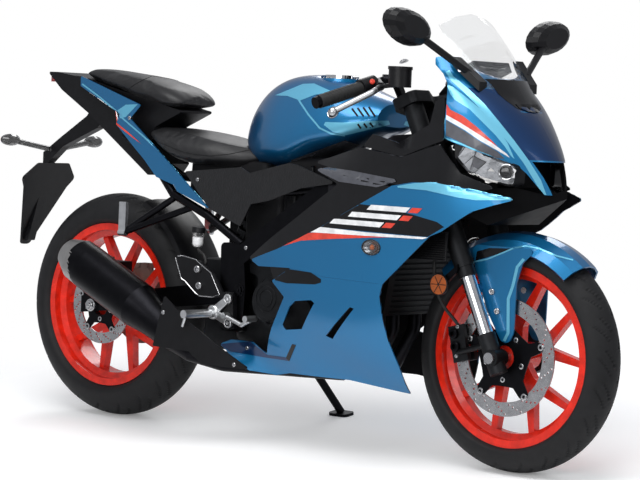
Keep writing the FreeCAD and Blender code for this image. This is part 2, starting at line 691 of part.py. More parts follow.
def jointed_rod(points, radius):
    """Straight bars end to end, with a ball at each joint."""
    pieces = []
    for index in range(len(points) - 1):
        pieces.append(rod(points[index], points[index + 1], radius))
    for point in points[1:-1]:
        pieces.append(Part.makeSphere(radius, point))
    return fused(pieces)


def beam(stations):
    """A box section beam through stations of (x, y, z, half thickness, half height)."""
    wires = []
    for x, y, z, half_y, half_z in stations:
        corners = [
            vec(x, y - half_y, z - half_z),
            vec(x, y + half_y, z - half_z),
            vec(x, y + half_y, z + half_z),
            vec(x, y - half_y, z + half_z),
        ]
        wires.append(Part.makePolygon(corners + corners[:1]))
    return Part.makeLoft(wires, True, True)


def ring(profile, centre_x, centre_z):
    """A profile of (y, radius) turned about a wheel's axle."""
    points = [vec(centre_x, y, centre_z + radius) for y, radius in profile]
    face = Part.Face(Part.makePolygon(points + points[:1]))
    return face.revolve(vec(centre_x, 0, centre_z), vec(0, 1, 0), 360)


def oval_wire(x, half_width, low_z, high_z, squareness, top_share):
    """A smooth closed section across the bike, narrower at its top."""
    middle_z = (low_z + high_z) / 2
    half_height = (high_z - low_z) / 2
    points = []
    for step in range(SECTION_STEPS):
        angle = 2 * math.pi * (step + 0.5) / SECTION_STEPS
        across = math.copysign(abs(math.cos(angle)) ** (2 / squareness), math.cos(angle))
        height = math.copysign(abs(math.sin(angle)) ** (2 / squareness), math.sin(angle))
        narrowing = 1 - (1 - top_share) * (height + 1) / 2
        points.append(vec(x, half_width * narrowing * across, middle_z + half_height * height))
    curve = Part.BSplineCurve()
    curve.interpolate(points, PeriodicFlag=True)
    return Part.Wire(curve.toShape())


def biggest(shape):
    """The largest solid of a cut shape."""
    return max(shape.Solids, key=lambda solid: solid.Volume)


def oval_points(width, height):
    points = []
    for step in range(OVAL_STEPS):
        angle = 2 * math.pi * (step + 0.5) / OVAL_STEPS
        points.append((width / 2 * math.cos(angle), height / 2 * math.sin(angle)))
    return points


def hull(stations, squareness, top_share):
    """A smooth body through stations of (x, half width, low z, high z)."""
    wires = [oval_wire(x, wide, low, high, squareness, top_share) for x, wide, low, high in stations]
    return Part.makeLoft(wires, True, False)


def steering_point(along, ahead, y):
    """A point by its height along the steering axis and its distance ahead of it."""
    lean = math.radians(STEERING_ANGLE)
    foot_x = WHEELBASE + STEERING_TRAIL
    return vec(
        foot_x - along * math.sin(lean) + ahead * math.cos(lean),
        y,
        along * math.cos(lean) + ahead * math.sin(lean),
    )


def placed(place, side):
    """A place given for the right side as (x, half width, z), on either side."""
    return vec(place[0], side * place[1], place[2])


# Wheels and tyres


def tyre(centre_x, radius, width, rim_width):
    """A hollow tyre: a round crown on two straight walls, down to the rim's seats."""
    crown = width / 2
    inner_crown = crown - TYRE_WALL
    crown_centre = radius - crown
    seat = rim_width / 2 - RIM_WALL - SEAT_GAP
    toe = seat - TYRE_BEAD_STEP
    base = BEAD_RADIUS + SEAT_GAP
    edge = rim_width / 2
    lip = FLANGE_RADIUS + SEAT_GAP

    def at(y, height):
        return vec(centre_x, y, radius + height)

    edges = [
        Part.Arc(at(-crown, crown_centre), at(0, radius), at(crown, crown_centre)).toShape(),
        Part.makeLine(at(crown, crown_centre), at(edge, lip)),
        Part.makeLine(at(edge, lip), at(seat, lip)),
        Part.makeLine(at(seat, lip), at(seat, base)),
        Part.makeLine(at(seat, base), at(toe, base)),
        Part.makeLine(at(toe, base), at(toe, lip)),
        Part.makeLine(at(toe, lip), at(inner_crown, crown_centre)),
        Part.Arc(
            at(inner_crown, crown_centre), at(0, radius - TYRE_WALL), at(-inner_crown, crown_centre)
        ).toShape(),
        Part.makeLine(at(-inner_crown, crown_centre), at(-toe, lip)),
        Part.makeLine(at(-toe, lip), at(-toe, base)),
        Part.makeLine(at(-toe, base), at(-seat, base)),
        Part.makeLine(at(-seat, base), at(-seat, lip)),
        Part.makeLine(at(-seat, lip), at(-edge, lip)),
        Part.makeLine(at(-edge, lip), at(-crown, crown_centre)),
    ]
    face = Part.Face(Part.Wire(edges))
    return face.revolve(vec(centre_x, 0, radius), vec(0, 1, 0), 360)


def rim(centre_x, centre_z, width, hub_width):
    """A cast wheel: a dropped rim, a hub and pairs of spokes that fork from stems."""
    half = width / 2
    seat = half - RIM_WALL
    well = seat - BEAD_SEAT_WIDTH
    well_radius = BEAD_RADIUS - RIM_WELL_DEPTH
    profile = [
        (-half, FLANGE_RADIUS),
        (-seat, FLANGE_RADIUS),
        (-seat, BEAD_RADIUS),
        (-well, BEAD_RADIUS),
        (-well + RIM_WELL_DEPTH / 2, well_radius),
        (well - RIM_WELL_DEPTH / 2, well_radius),
        (well, BEAD_RADIUS),
        (seat, BEAD_RADIUS),
        (seat, FLANGE_RADIUS),
        (half, FLANGE_RADIUS),
        (half, BEAD_RADIUS - RIM_WALL),
        (well, BEAD_RADIUS - RIM_WALL),
        (well - RIM_WELL_DEPTH / 2, well_radius - RIM_WALL),
        (-well + RIM_WELL_DEPTH / 2, well_radius - RIM_WALL),
        (-well, BEAD_RADIUS - RIM_WALL),
        (-half, BEAD_RADIUS - RIM_WALL),
    ]
    barrel = ring(profile, centre_x, centre_z)
    bore = AXLE_RADIUS + PIN_CLEARANCE
    half_hub = hub_width / 2
    hub_profile = [(-half_hub, bore), (half_hub, bore), (half_hub, HUB_RADIUS), (-half_hub, HUB_RADIUS)]
    hub = ring(hub_profile, centre_x, centre_z)
    spoke = spoke_pair(well_radius - RIM_WALL / 2)
    spokes = []
    for number in range(SPOKE_PAIRS):
        turned = spoke.copy()
        turned.rotate(vec(0, 0, 0), vec(0, 1, 0), 360 * number / SPOKE_PAIRS)
        turned.translate(vec(centre_x, 0, centre_z))
        spokes.append(turned)
    wheel = fused([barrel, hub] + spokes)
    return wheel.cut(rod(vec(centre_x, -half_hub, centre_z), vec(centre_x, half_hub, centre_z), bore))


def spoke_pair(reach):
    """One stem from the hub that forks into two spokes, seen from the side."""
    spread = math.radians(SPOKE_SPREAD)
    half_spoke = SPOKE_WIDTH / 2
    half_stem = SPOKE_STEM_WIDTH / 2
    tip_x = reach * math.sin(spread)
    tip_z = reach * math.cos(spread)
    side_x = half_spoke * math.cos(spread)
    side_z = half_spoke * math.sin(spread)
    outline = [
        (-half_stem, HUB_RADIUS / 2),
        (-half_stem, SPOKE_FORK_RADIUS - half_stem),
        (-tip_x - side_x, tip_z - side_z),
        (-tip_x + side_x, tip_z + side_z),
        (0, SPOKE_FORK_RADIUS + half_spoke),
        (tip_x - side_x, tip_z + side_z),
        (tip_x + side_x, tip_z - side_z),
        (half_stem, SPOKE_FORK_RADIUS - half_stem),
        (half_stem, HUB_RADIUS / 2),
    ]
    return plate(outline, -SPOKE_THICKNESS / 2, SPOKE_THICKNESS / 2)


def brake_disc(centre_x, centre_z, radius, band, offset, hub_width):
    """A disc band on a carrier with arms, seated on the end of the hub."""
    low_y = -offset - DISC_THICKNESS / 2
    high_y = -offset + DISC_THICKNESS / 2
    inner = radius - band
    band_profile = [(low_y, inner), (high_y, inner), (high_y, radius), (low_y, radius)]
    band_ring = ring(band_profile, centre_x, centre_z)
    seat_y = -hub_width / 2
    bore = AXLE_NUT_RADIUS + PIN_CLEARANCE
    far_y = min(low_y, seat_y - DISC_THICKNESS)
    edge = CARRIER_RING_RADIUS
    carrier_profile = [(far_y, bore), (seat_y, bore), (seat_y, edge), (far_y, edge)]
    carrier = ring(carrier_profile, centre_x, centre_z)
    pieces = [band_ring, carrier]
    half_arm = CARRIER_ARM_WIDTH / 2
    arm_outline = [
        (-half_arm, CARRIER_RING_RADIUS - half_arm),
        (half_arm, CARRIER_RING_RADIUS - half_arm),
        (half_arm, inner + half_arm),
        (-half_arm, inner + half_arm),
    ]
    for number in range(CARRIER_ARMS):
        arm = plate(arm_outline, far_y, high_y)
        arm.rotate(vec(0, 0, 0), vec(0, 1, 0), 360 * number / CARRIER_ARMS)
        arm.translate(vec(centre_x, 0, centre_z))
        pieces.append(arm)
    return fused(pieces)


def front_rim():
    return rim(WHEELBASE, FRONT_TYRE_RADIUS, FRONT_RIM_WIDTH, FRONT_HUB_WIDTH)


def front_tyre():
    return tyre(WHEELBASE, FRONT_TYRE_RADIUS, FRONT_TYRE_WIDTH, FRONT_RIM_WIDTH)


def front_disc():
    return brake_disc(
        WHEELBASE, FRONT_TYRE_RADIUS, FRONT_DISC_RADIUS, FRONT_DISC_BAND, FRONT_DISC_OFFSET, FRONT_HUB_WIDTH
    )


def rear_rim():
    return rim(0, REAR_TYRE_RADIUS, REAR_RIM_WIDTH, REAR_HUB_WIDTH)


def rear_tyre():
    return tyre(0, REAR_TYRE_RADIUS, REAR_TYRE_WIDTH, REAR_RIM_WIDTH)


def rear_disc():
    return brake_disc(
        0, REAR_TYRE_RADIUS, REAR_DISC_RADIUS, REAR_DISC_BAND, REAR_DISC_OFFSET, REAR_HUB_WIDTH
    )


def sprocket_radius(teeth):
    return CHAIN_PITCH / (2 * math.sin(math.pi / teeth))


def toothed_plate(centre_x, centre_z, teeth, inner_radius):
    """A sprocket: a tooth for each roller, from its root up past the chain's line."""
    pitch_radius = sprocket_radius(teeth)
    root = pitch_radius - CHAIN_HEIGHT * TOOTH_DEPTH_SHARE
    tip = pitch_radius + CHAIN_HEIGHT * TOOTH_HEIGHT_SHARE
    corners = [(share, root) for share in TOOTH_ROOT_SHARES] + [(share, tip) for share in TOOTH_TIP_SHARES]
    points = []
    for tooth in range(teeth):
        for share, radius in corners:
            angle = 2 * math.pi * (tooth + share) / teeth
            points.append((centre_x + radius * math.cos(angle), centre_z + radius * math.sin(angle)))
    half = SPROCKET_THICKNESS / 2
    body = plate(points, CHAIN_OFFSET - half, CHAIN_OFFSET + half)
    low = vec(centre_x, CHAIN_OFFSET - OVERRUN, centre_z)
    high = vec(centre_x, CHAIN_OFFSET + OVERRUN, centre_z)
    return body.cut(rod(low, high, inner_radius))


def rear_sprocket():
    """The driven sprocket on a carrier that seats on the hub's left end."""
    pitch_radius = sprocket_radius(REAR_SPROCKET_TEETH)
    inner = pitch_radius - SPROCKET_RIM
    body = toothed_plate(0, REAR_TYRE_RADIUS, REAR_SPROCKET_TEETH, inner)
    bore = AXLE_NUT_RADIUS + PIN_CLEARANCE
    seat_y = REAR_HUB_WIDTH / 2
    half = SPROCKET_THICKNESS / 2
    step = CHAIN_OFFSET - half
    profile = [
        (seat_y, bore),
        (step + half, bore),
        (step + half, inner),
        (step, inner + half),
        (step, HUB_RADIUS * CARRIER_STEP_SHARE),
        (seat_y, HUB_RADIUS * CARRIER_SEAT_SHARE),
    ]
    return fused([body, ring(profile, 0, REAR_TYRE_RADIUS)])


def chain_runs(rear_radius, front_radius):
    """Where the chain leaves both sprockets: (x, z, angle) along its closed line."""
    run_x = SPROCKET_X
    run_z = SPROCKET_Z - REAR_TYRE_RADIUS
    slope = math.atan2(run_z, run_x)
    spread = math.acos((rear_radius - front_radius) / math.hypot(run_x, run_z))
    line = []
    for step in range(CHAIN_REAR_STEPS + 1):
        angle = slope + spread + (2 * math.pi - 2 * spread) * step / CHAIN_REAR_STEPS
        z = REAR_TYRE_RADIUS + rear_radius * math.sin(angle)
        line.append((rear_radius * math.cos(angle), z, angle))
    for step in range(CHAIN_FRONT_STEPS + 1):
        angle = slope - spread + 2 * spread * step / CHAIN_FRONT_STEPS
        x = SPROCKET_X + front_radius * math.cos(angle)
        line.append((x, SPROCKET_Z + front_radius * math.sin(angle), angle))
    return line


def drive_chain():
    """The chain as one loop, grooved along the middle where the sprockets' teeth run."""
    rear_radius = sprocket_radius(REAR_SPROCKET_TEETH)
    front_radius = sprocket_radius(FRONT_SPROCKET_TEETH)
    line = chain_runs(rear_radius, front_radius)
    half = CHAIN_HEIGHT / 2
    outer = [(x + half * math.cos(angle), z + half * math.sin(angle)) for x, z, angle in line]
    inner = [(x - half * math.cos(angle), z - half * math.sin(angle)) for x, z, angle in line]
    loop = plate(outer, CHAIN_OFFSET - CHAIN_WIDTH / 2, CHAIN_OFFSET + CHAIN_WIDTH / 2)
    loop = loop.cut(plate(inner, CHAIN_OFFSET - CHAIN_WIDTH, CHAIN_OFFSET + CHAIN_WIDTH))
    groove = SPROCKET_THICKNESS / 2 + PIN_CLEARANCE
    wheels = ((0, REAR_TYRE_RADIUS, rear_radius), (SPROCKET_X, SPROCKET_Z, front_radius))
    for x, z, radius in wheels:
        reach = radius + CHAIN_HEIGHT * TOOTH_HEIGHT_SHARE + PIN_CLEARANCE * 2
        loop = loop.cut(rod(vec(x, CHAIN_OFFSET - groove, z), vec(x, CHAIN_OFFSET + groove, z), reach))
    return loop


def front_sprocket():
    """The driving sprocket on its shaft, which ends in the engine's side."""
    body = toothed_plate(SPROCKET_X, SPROCKET_Z, FRONT_SPROCKET_TEETH, SHAFT_RADIUS)
    shaft = rod(
        vec(SPROCKET_X, SPROCKET_POCKET_Y, SPROCKET_Z),
        vec(SPROCKET_X, CHAIN_OFFSET + SPROCKET_THICKNESS, SPROCKET_Z),
        SHAFT_RADIUS,
    )
    return fused([body, shaft])


# Axles


def axle(x, z, half_length, seat_y, hub_width):
    """A through axle with a nut at each end and a collar either side of the hub."""
    pieces = [rod(vec(x, -half_length, z), vec(x, half_length, z), AXLE_RADIUS)]
    for side in (-1, 1):
        start = vec(x, side * half_length, z)
        pieces.append(rod(start, start + vec(0, side * AXLE_NUT_LENGTH, 0), AXLE_NUT_RADIUS))
        hub_end = vec(x, side * (hub_width / 2 + PIN_CLEARANCE), z)
        pieces.append(rod(hub_end, vec(x, side * seat_y, z), AXLE_COLLAR_RADIUS))
    return fused(pieces)


def rear_axle():
    return axle(0, REAR_TYRE_RADIUS, ARM_INNER + ARM_THICKNESS, ARM_INNER, REAR_HUB_WIDTH)


def front_axle():
    half_foot = FORK_FOOT_WIDTH / 2
    half_length = FORK_SPACING + half_foot
    return axle(WHEELBASE, FRONT_TYRE_RADIUS, half_length, FORK_SPACING - half_foot, FRONT_HUB_WIDTH)


# Front fork and steering head


def fork_outer_tubes():
    low = steering_point(FORK_OUTER_LOW, FORK_AHEAD, -FORK_SPACING)
    top = steering_point(FORK_TOP, FORK_AHEAD, -FORK_SPACING)
    tube = pipe(low, top, FORK_OUTER_RADIUS, FORK_OUTER_RADIUS - FORK_INNER_RADIUS - SEAT_GAP)
    seal_low = steering_point(FORK_OUTER_LOW - FORK_SEAL_LENGTH, FORK_AHEAD, -FORK_SPACING)
    seal = pipe(seal_low, low, FORK_OUTER_RADIUS - FORK_TUBE_WALL, FORK_SEAL_WALL)
    cap_low = steering_point(FORK_TOP - FORK_TUBE_WALL, FORK_AHEAD, -FORK_SPACING)
    cap = rod(cap_low, top, FORK_OUTER_RADIUS - FORK_TUBE_WALL)
    return both_sides(fused([tube, seal, cap]))


def fork_foot_top():
    return math.cos(math.radians(STEERING_ANGLE)) * FRONT_TYRE_RADIUS + FORK_FOOT_LENGTH


def fork_inner_tubes():
    low = steering_point(fork_foot_top() - FORK_FOOT_LENGTH / 4, FORK_AHEAD, -FORK_SPACING)
    top = steering_point(FORK_TOP - FORK_OUTER_RADIUS, FORK_AHEAD, -FORK_SPACING)
    return both_sides(rod(low, top, FORK_INNER_RADIUS))


def fork_feet():
    """Castings under the inner tubes that clamp the axle and carry the caliper."""
    feet = []
    for side in (-1, 1):
        y = side * FORK_SPACING
        half = FORK_FOOT_WIDTH / 2
        eye_start = vec(WHEELBASE, y - half, FRONT_TYRE_RADIUS)
        eye = rod(eye_start, eye_start + vec(0, FORK_FOOT_WIDTH, 0), FORK_EYE_RADIUS)
        low = steering_point(fork_foot_top() - FORK_FOOT_LENGTH, FORK_AHEAD, y)
        top = steering_point(fork_foot_top() + FORK_FOOT_LENGTH / 3, FORK_AHEAD, y)
        sleeve = rod(low, top, FORK_OUTER_RADIUS - FORK_TUBE_WALL)
        foot = fused([eye, sleeve])
        inner_low = steering_point(fork_foot_top() - FORK_FOOT_LENGTH / 4, FORK_AHEAD, y)
        inner_top = steering_point(FORK_TOP, FORK_AHEAD, y)
        foot = foot.cut(rod(inner_low, inner_top, FORK_INNER_RADIUS))
        axle_start = vec(WHEELBASE, y - FORK_FOOT_WIDTH, FRONT_TYRE_RADIUS)
        axle_end = vec(WHEELBASE, y + FORK_FOOT_WIDTH, FRONT_TYRE_RADIUS)
        feet.append(foot.cut(rod(axle_start, axle_end, AXLE_RADIUS)))
    return Part.makeCompound(feet)


def clamp_at(along):
    """One fork clamp: a waisted plate across the steering axis, bored for both tubes."""
    reach = FORK_SPACING + FORK_OUTER_RADIUS + CLAMP_MARGIN
    half_tube = FORK_OUTER_RADIUS + CLAMP_MARGIN
    outline = [
        (FORK_AHEAD + half_tube, -reach),
        (FORK_AHEAD + half_tube, -FORK_SPACING + half_tube),
        (FORK_AHEAD, 0),
        (FORK_AHEAD + half_tube, FORK_SPACING - half_tube),
        (FORK_AHEAD + half_tube, reach),
        (FORK_AHEAD - half_tube, reach),
        (-half_tube, STEM_RADIUS * 2),
        (-half_tube, -STEM_RADIUS * 2),
        (FORK_AHEAD - half_tube, -reach),
    ]
    points = [steering_point(along, ahead, y) for ahead, y in outline]
    face = Part.Face(rounded_wire(points, half_tube / 2))
    up = steering_point(along + CLAMP_THICKNESS, 0, 0) - steering_point(along, 0, 0)
    clamp = face.extrude(up)
    for side in (-1, 1):
        low = steering_point(along - CLAMP_THICKNESS, FORK_AHEAD, side * FORK_SPACING)
        top = steering_point(along + CLAMP_THICKNESS * 2, FORK_AHEAD, side * FORK_SPACING)
        clamp = clamp.cut(rod(low, top, FORK_OUTER_RADIUS))
    return clamp


def triple_clamps():
    """Both fork clamps on the steering stem."""
    low = steering_point(LOW_CLAMP_HEIGHT, 0, 0)
    top = steering_point(TOP_CLAMP_HEIGHT + CLAMP_THICKNESS + STEM_NUT_HEIGHT, 0, 0)
    stem = rod(low, top, STEM_RADIUS)
    return fused([clamp_at(LOW_CLAMP_HEIGHT), clamp_at(TOP_CLAMP_HEIGHT), stem])


def handlebars():
    """Separate bars on brackets that stand on the upper clamp."""
    bars = []
    for side in (-1, 1):
        inner = placed(BAR_INNER, side)
        near = placed(GRIP_INNER, side)
        far = placed(GRIP_OUTER, side)
        along = far - near
        along.normalize()
        bar = rod(near - along * BAR_STUB, far, BAR_RADIUS)
        back = FORK_AHEAD - FORK_OUTER_RADIUS - BRACKET_HALF
        top = steering_point(TOP_CLAMP_HEIGHT + CLAMP_THICKNESS, back, side * FORK_SPACING)
        bracket = beam(
            [
                (top.x, top.y - side * BRACKET_HALF, top.z + BRACKET_HALF, BRACKET_HALF, BRACKET_HALF),
                (inner.x, inner.y, inner.z, BRACKET_HALF, BRACKET_HALF),
            ]
        )
        joint = rod(inner, near - along * PERCH_SETBACK, BAR_RADIUS + BAR_SLEEVE)
        weight = rod(far, far + along * BAR_END_LENGTH, BAR_END_RADIUS)
        bars.append(fused([bar, joint, bracket, weight]))
    return Part.makeCompound(bars)


def grips():
    """Rubber grips round the bars."""
    sleeves = []
    for side in (-1, 1):
        near = placed(GRIP_INNER, side)
        far = placed(GRIP_OUTER, side)
        along = far - near
        along.normalize()
        outer = rod(near, far - along * SEAT_GAP, GRIP_RADIUS)
        sleeves.append(outer.cut(rod(near - along * OVERRUN, far + along * OVERRUN, BAR_RADIUS)))
    return Part.makeCompound(sleeves)


def switches():
    """Switch housings round the bars, inboard of the grips."""
    boxes = []
    for side in (-1, 1):
        near = placed(GRIP_INNER, side)
        far = placed(GRIP_OUTER, side)
        along = far - near
        along.normalize()
        start = near - along * (SWITCH_LENGTH + SEAT_GAP)
        outer = rod(start, near - along * SEAT_GAP, SWITCH_RADIUS)
        boxes.append(outer.cut(rod(near - along * SWITCH_LENGTH * 2, far, BAR_RADIUS)))
    return Part.makeCompound(boxes)


def hand_levers():
    """Brake and clutch levers, each on a perch ahead of its switch housing."""
    levers = []
    for side in (-1, 1):
        pivot = placed(LEVER_PIVOT, side)
        tip = placed(LEVER_TIP, side)
        knuckle = placed(LEVER_KNUCKLE, side)
        blade = bent_rod([pivot, knuckle, tip], LEVER_RADIUS, LEVER_BEND)
        ball = Part.makeSphere(LEVER_BALL_RADIUS, tip)
        near = placed(GRIP_INNER, side)
        far = placed(GRIP_OUTER, side)
        along = far - near
        along.normalize()
        root = near - along * PERCH_PLACE
        lever = fused([blade, ball, rod(root, pivot, LEVER_PERCH_RADIUS)])
        bar = rod(near - along * BAR_STUB, far, BAR_RADIUS + SEAT_GAP)
        housing = rod(near - along * (SWITCH_LENGTH + SEAT_GAP * 2), near, SWITCH_RADIUS + SEAT_GAP)
        levers.append(lever.cut(bar).cut(housing))
    return Part.makeCompound(levers)


def brake_reservoir():
    """The front brake's fluid cup on its stay from the brake lever's perch."""
    base = placed(RESERVOIR_PLACE, -1)
    cup = rod(base, base + vec(0, 0, RESERVOIR_HEIGHT), RESERVOIR_RADIUS)
    lid = rod(
        base + vec(0, 0, RESERVOIR_HEIGHT),
        base + vec(0, 0, RESERVOIR_HEIGHT + RESERVOIR_LID),
        RESERVOIR_RADIUS + RESERVOIR_LID / 4,
    )
    pivot = placed(LEVER_PIVOT, -1)
    stay = rod(pivot, base + vec(0, 0, RESERVOIR_LID), RESERVOIR_STAY)
    return fused([cup, lid, stay])


def front_fender():
    """A fender that arches over the tyre, with a cheek down each fork leg."""
    inner = FRONT_TYRE_RADIUS + FENDER_CLEARANCE
    outer = inner + FENDER_THICKNESS
    half = FENDER_HALF_WIDTH
    drop = FENDER_DROP
    narrow = half - FENDER_THICKNESS
    above = [(share_y * half, outer - share_drop * drop) for share_y, share_drop in FENDER_PROFILE_SHARES]
    below = [(share_y * narrow, inner - share_drop * drop) for share_y, share_drop in FENDER_PROFILE_SHARES]
    profile = [(-y, radius) for y, radius in above[:-1]] + above[::-1]
    profile += below[:-1] + [(-y, radius) for y, radius in below[::-1]]
    points = [vec(WHEELBASE, y, FRONT_TYRE_RADIUS + radius) for y, radius in profile]
    face = Part.Face(Part.makePolygon(points + points[:1]))
    face.rotate(vec(WHEELBASE, 0, FRONT_TYRE_RADIUS), vec(0, 1, 0), FENDER_FRONT_ANGLE)
    turn = -FENDER_FRONT_ANGLE - FENDER_REAR_ANGLE
    arch = face.revolve(vec(WHEELBASE, 0, FRONT_TYRE_RADIUS), vec(0, 1, 0), turn)
    cheek_outline = in_box(
        FENDER_CHEEK_SHARES, FENDER_CHEEK_X, FENDER_CHEEK_Z, FENDER_CHEEK_LENGTH, FENDER_CHEEK_HEIGHT
    )
    cheek = rounded_plate(cheek_outline, FENDER_DROP / 2, -half, -half + FENDER_THICKNESS)
    mount = rod(
        steering_point(FENDER_MOUNT_HEIGHT, FORK_AHEAD, -half),
        steering_point(FENDER_MOUNT_HEIGHT, FORK_AHEAD, -FORK_SPACING + FORK_INNER_RADIUS),
        FENDER_MOUNT_RADIUS,
    )
    return fused([arch, cheek, mirrored(cheek), mount, mirrored(mount)])


def front_caliper():
    """A caliper astride the disc, on lugs behind the right fork foot."""
    along = vec(WHEELBASE, 0, FRONT_TYRE_RADIUS)
    reach = FRONT_DISC_RADIUS - CALIPER_DEPTH / 3
    angle = math.radians(CALIPER_ANGLE)
    centre = along + vec(-reach * math.cos(angle), -FRONT_DISC_OFFSET, reach * math.sin(angle))
    half_width = CALIPER_WALL + PAD_CLEARANCE + DISC_THICKNESS / 2
    corner = centre - vec(CALIPER_DEPTH / 2, half_width, CALIPER_LENGTH / 2)
    body = Part.makeBox(CALIPER_DEPTH, 2 * half_width, CALIPER_LENGTH, corner)
    body.rotate(centre, vec(0, 1, 0), CALIPER_ANGLE - STEERING_ANGLE)
    slot_half = PAD_CLEARANCE + DISC_THICKNESS / 2
    slot = rod(
        along + vec(0, -FRONT_DISC_OFFSET - slot_half, 0),
        along + vec(0, -FRONT_DISC_OFFSET + slot_half, 0),
        FRONT_DISC_RADIUS + PAD_CLEARANCE,
    )
    body = body.cut(slot)
    lug = rod(
        centre + vec(0, -half_width, -CALIPER_LENGTH / 4),
        steering_point(fork_foot_top(), FORK_AHEAD, -FORK_SPACING),
        CALIPER_WALL / 2,
    )
    foot = rod(
        steering_point(fork_foot_top() - FORK_FOOT_LENGTH, FORK_AHEAD, -FORK_SPACING),
        steering_point(FORK_TOP, FORK_AHEAD, -FORK_SPACING),
        FORK_OUTER_RADIUS - FORK_TUBE_WALL,
    )
    return fused([body, lug.cut(foot)])


def reflectors():
    """A round reflector outboard of each lower fork tube's guard."""
    discs = []
    for side in (-1, 1):
        centre = placed(REFLECTOR_PLACE, side)
        disc = rod(centre, centre + vec(0, side * REFLECTOR_DEPTH, 0), REFLECTOR_RADIUS)
        tube = steering_point(FORK_OUTER_LOW, FORK_AHEAD, side * FORK_SPACING)
        middle = centre.y - side * REFLECTOR_DEPTH / 2
        stay = beam(
            [
                (centre.x, middle, centre.z, REFLECTOR_DEPTH / 2, REFLECTOR_RADIUS / 2),
                (tube.x, middle, tube.z, REFLECTOR_DEPTH / 2, REFLECTOR_RADIUS / 3),
            ]
        )
        leg = rod(
            steering_point(0, FORK_AHEAD, side * FORK_SPACING),
            steering_point(FORK_TOP, FORK_AHEAD, side * FORK_SPACING),
            FORK_OUTER_RADIUS,
        )
        discs.append(fused([disc, stay]).cut(leg))
    return Part.makeCompound(discs)


# Frame, swingarm and suspension


def head_tube():
    low = steering_point(LOW_CLAMP_HEIGHT + CLAMP_THICKNESS + HEAD_GAP, 0, 0)
    top = steering_point(TOP_CLAMP_HEIGHT - HEAD_GAP, 0, 0)
    return pipe(low, top, HEAD_TUBE_RADIUS, HEAD_TUBE_WALL)


def frame():
    """Head tube, a spar down each side, pivot plates and the tubes between them."""
    middle = steering_point((LOW_CLAMP_HEIGHT + TOP_CLAMP_HEIGHT + CLAMP_THICKNESS) / 2, 0, 0)
    spar = beam(
        [
            (
                middle.x - HEAD_TUBE_RADIUS * SPAR_ROOT_SHARE,
                -SPAR_HALF_THICKNESS * SPAR_ROOT_SHARE,
                middle.z,
                SPAR_HALF_THICKNESS,
                SPAR_HALF_HEIGHT,
            ),
            (SPAR_BEND[0], -SPAR_BEND[1], SPAR_BEND[2], SPAR_HALF_THICKNESS, SPAR_HALF_HEIGHT),
            (SPAR_MIDDLE[0], -SPAR_MIDDLE[1], SPAR_MIDDLE[2], SPAR_HALF_THICKNESS, SPAR_HALF_HEIGHT),
            (PIVOT_X, -PLATE_INNER - PLATE_THICKNESS / 2, SPAR_FOOT_Z, PLATE_THICKNESS / 2, SPAR_HALF_HEIGHT),
        ]
    )
    plate_outline = in_box(PLATE_SHARES, PLATE_REAR_X, PLATE_LOW_Z, PLATE_LENGTH, PLATE_HEIGHT)
    side_plate = rounded_plate(plate_outline, PLATE_ROUNDING, -PLATE_INNER - PLATE_THICKNESS, -PLATE_INNER)
    half = fused([spar, side_plate])
    tubes = []
    for x, z in CROSS_TUBES:
        tubes.append(rod(vec(x, -PLATE_INNER, z), vec(x, PLATE_INNER, z), CROSS_TUBE_RADIUS))
    shock_tube = rod(
        vec(SHOCK_TOP[0], -SUBFRAME_WIDTH, SHOCK_TOP[2]),
        vec(SHOCK_TOP[0], SUBFRAME_WIDTH, SHOCK_TOP[2]),
        CROSS_TUBE_RADIUS,
    )
    bolt = rod(vec(PIVOT_X, -PLATE_INNER, PIVOT_Z), vec(PIVOT_X, PLATE_INNER, PIVOT_Z), PIVOT_BOLT_RADIUS)
    side = made(subframe_side)
    sides = [half, mirrored(half), side, mirrored(side), stand_bracket(), fairing_stay()]
    body = fused([head_tube(), shock_tube, bolt] + sides + tubes)
    low = steering_point(LOW_CLAMP_HEIGHT, 0, 0)
    top = steering_point(TOP_CLAMP_HEIGHT + CLAMP_THICKNESS, 0, 0)
    return body.cut(rod(low, top, HEAD_TUBE_RADIUS - HEAD_TUBE_WALL))


def fairing_stay():
    """The stay ahead of the head tube that carries the nose and the dash."""
    middle = steering_point((LOW_CLAMP_HEIGHT + TOP_CLAMP_HEIGHT + CLAMP_THICKNESS) / 2, 0, 0)
    front = vec(*STAY_FRONT)
    beam_rod = rod(middle, front, STAY_RADIUS)
    reach = STAY_HALF_WIDTH - STAY_TIP_LENGTH
    cross = rod(vec(front.x, -reach, front.z), vec(front.x, reach, front.z), STAY_RADIUS)
    tips = []
    for side in (-1, 1):
        start = vec(front.x, side * reach, front.z)
        tips.append(Part.makeCone(STAY_RADIUS, STAY_TIP_RADIUS, STAY_TIP_LENGTH, start, vec(0, side, 0)))
    dash_x, dash_z = INSTRUMENT_PLACE
    post = rod(front, vec(dash_x, 0, dash_z), STAY_RADIUS)
    stay = fused([beam_rod, cross, post.cut(made(instrument))] + tips)
    return biggest(stay.cut(made(front_cowl)))


def subframe_side():
    """The seat's rails on the right: an upper rail, a lower strut and a tie."""
    upper = jointed_rod([vec(*place) for place in RAIL_PLACES], SUBFRAME_TUBE_RADIUS)
    lower = jointed_rod([vec(*place) for place in STRUT_PLACES], SUBFRAME_TUBE_RADIUS)
    return fused([upper, lower])


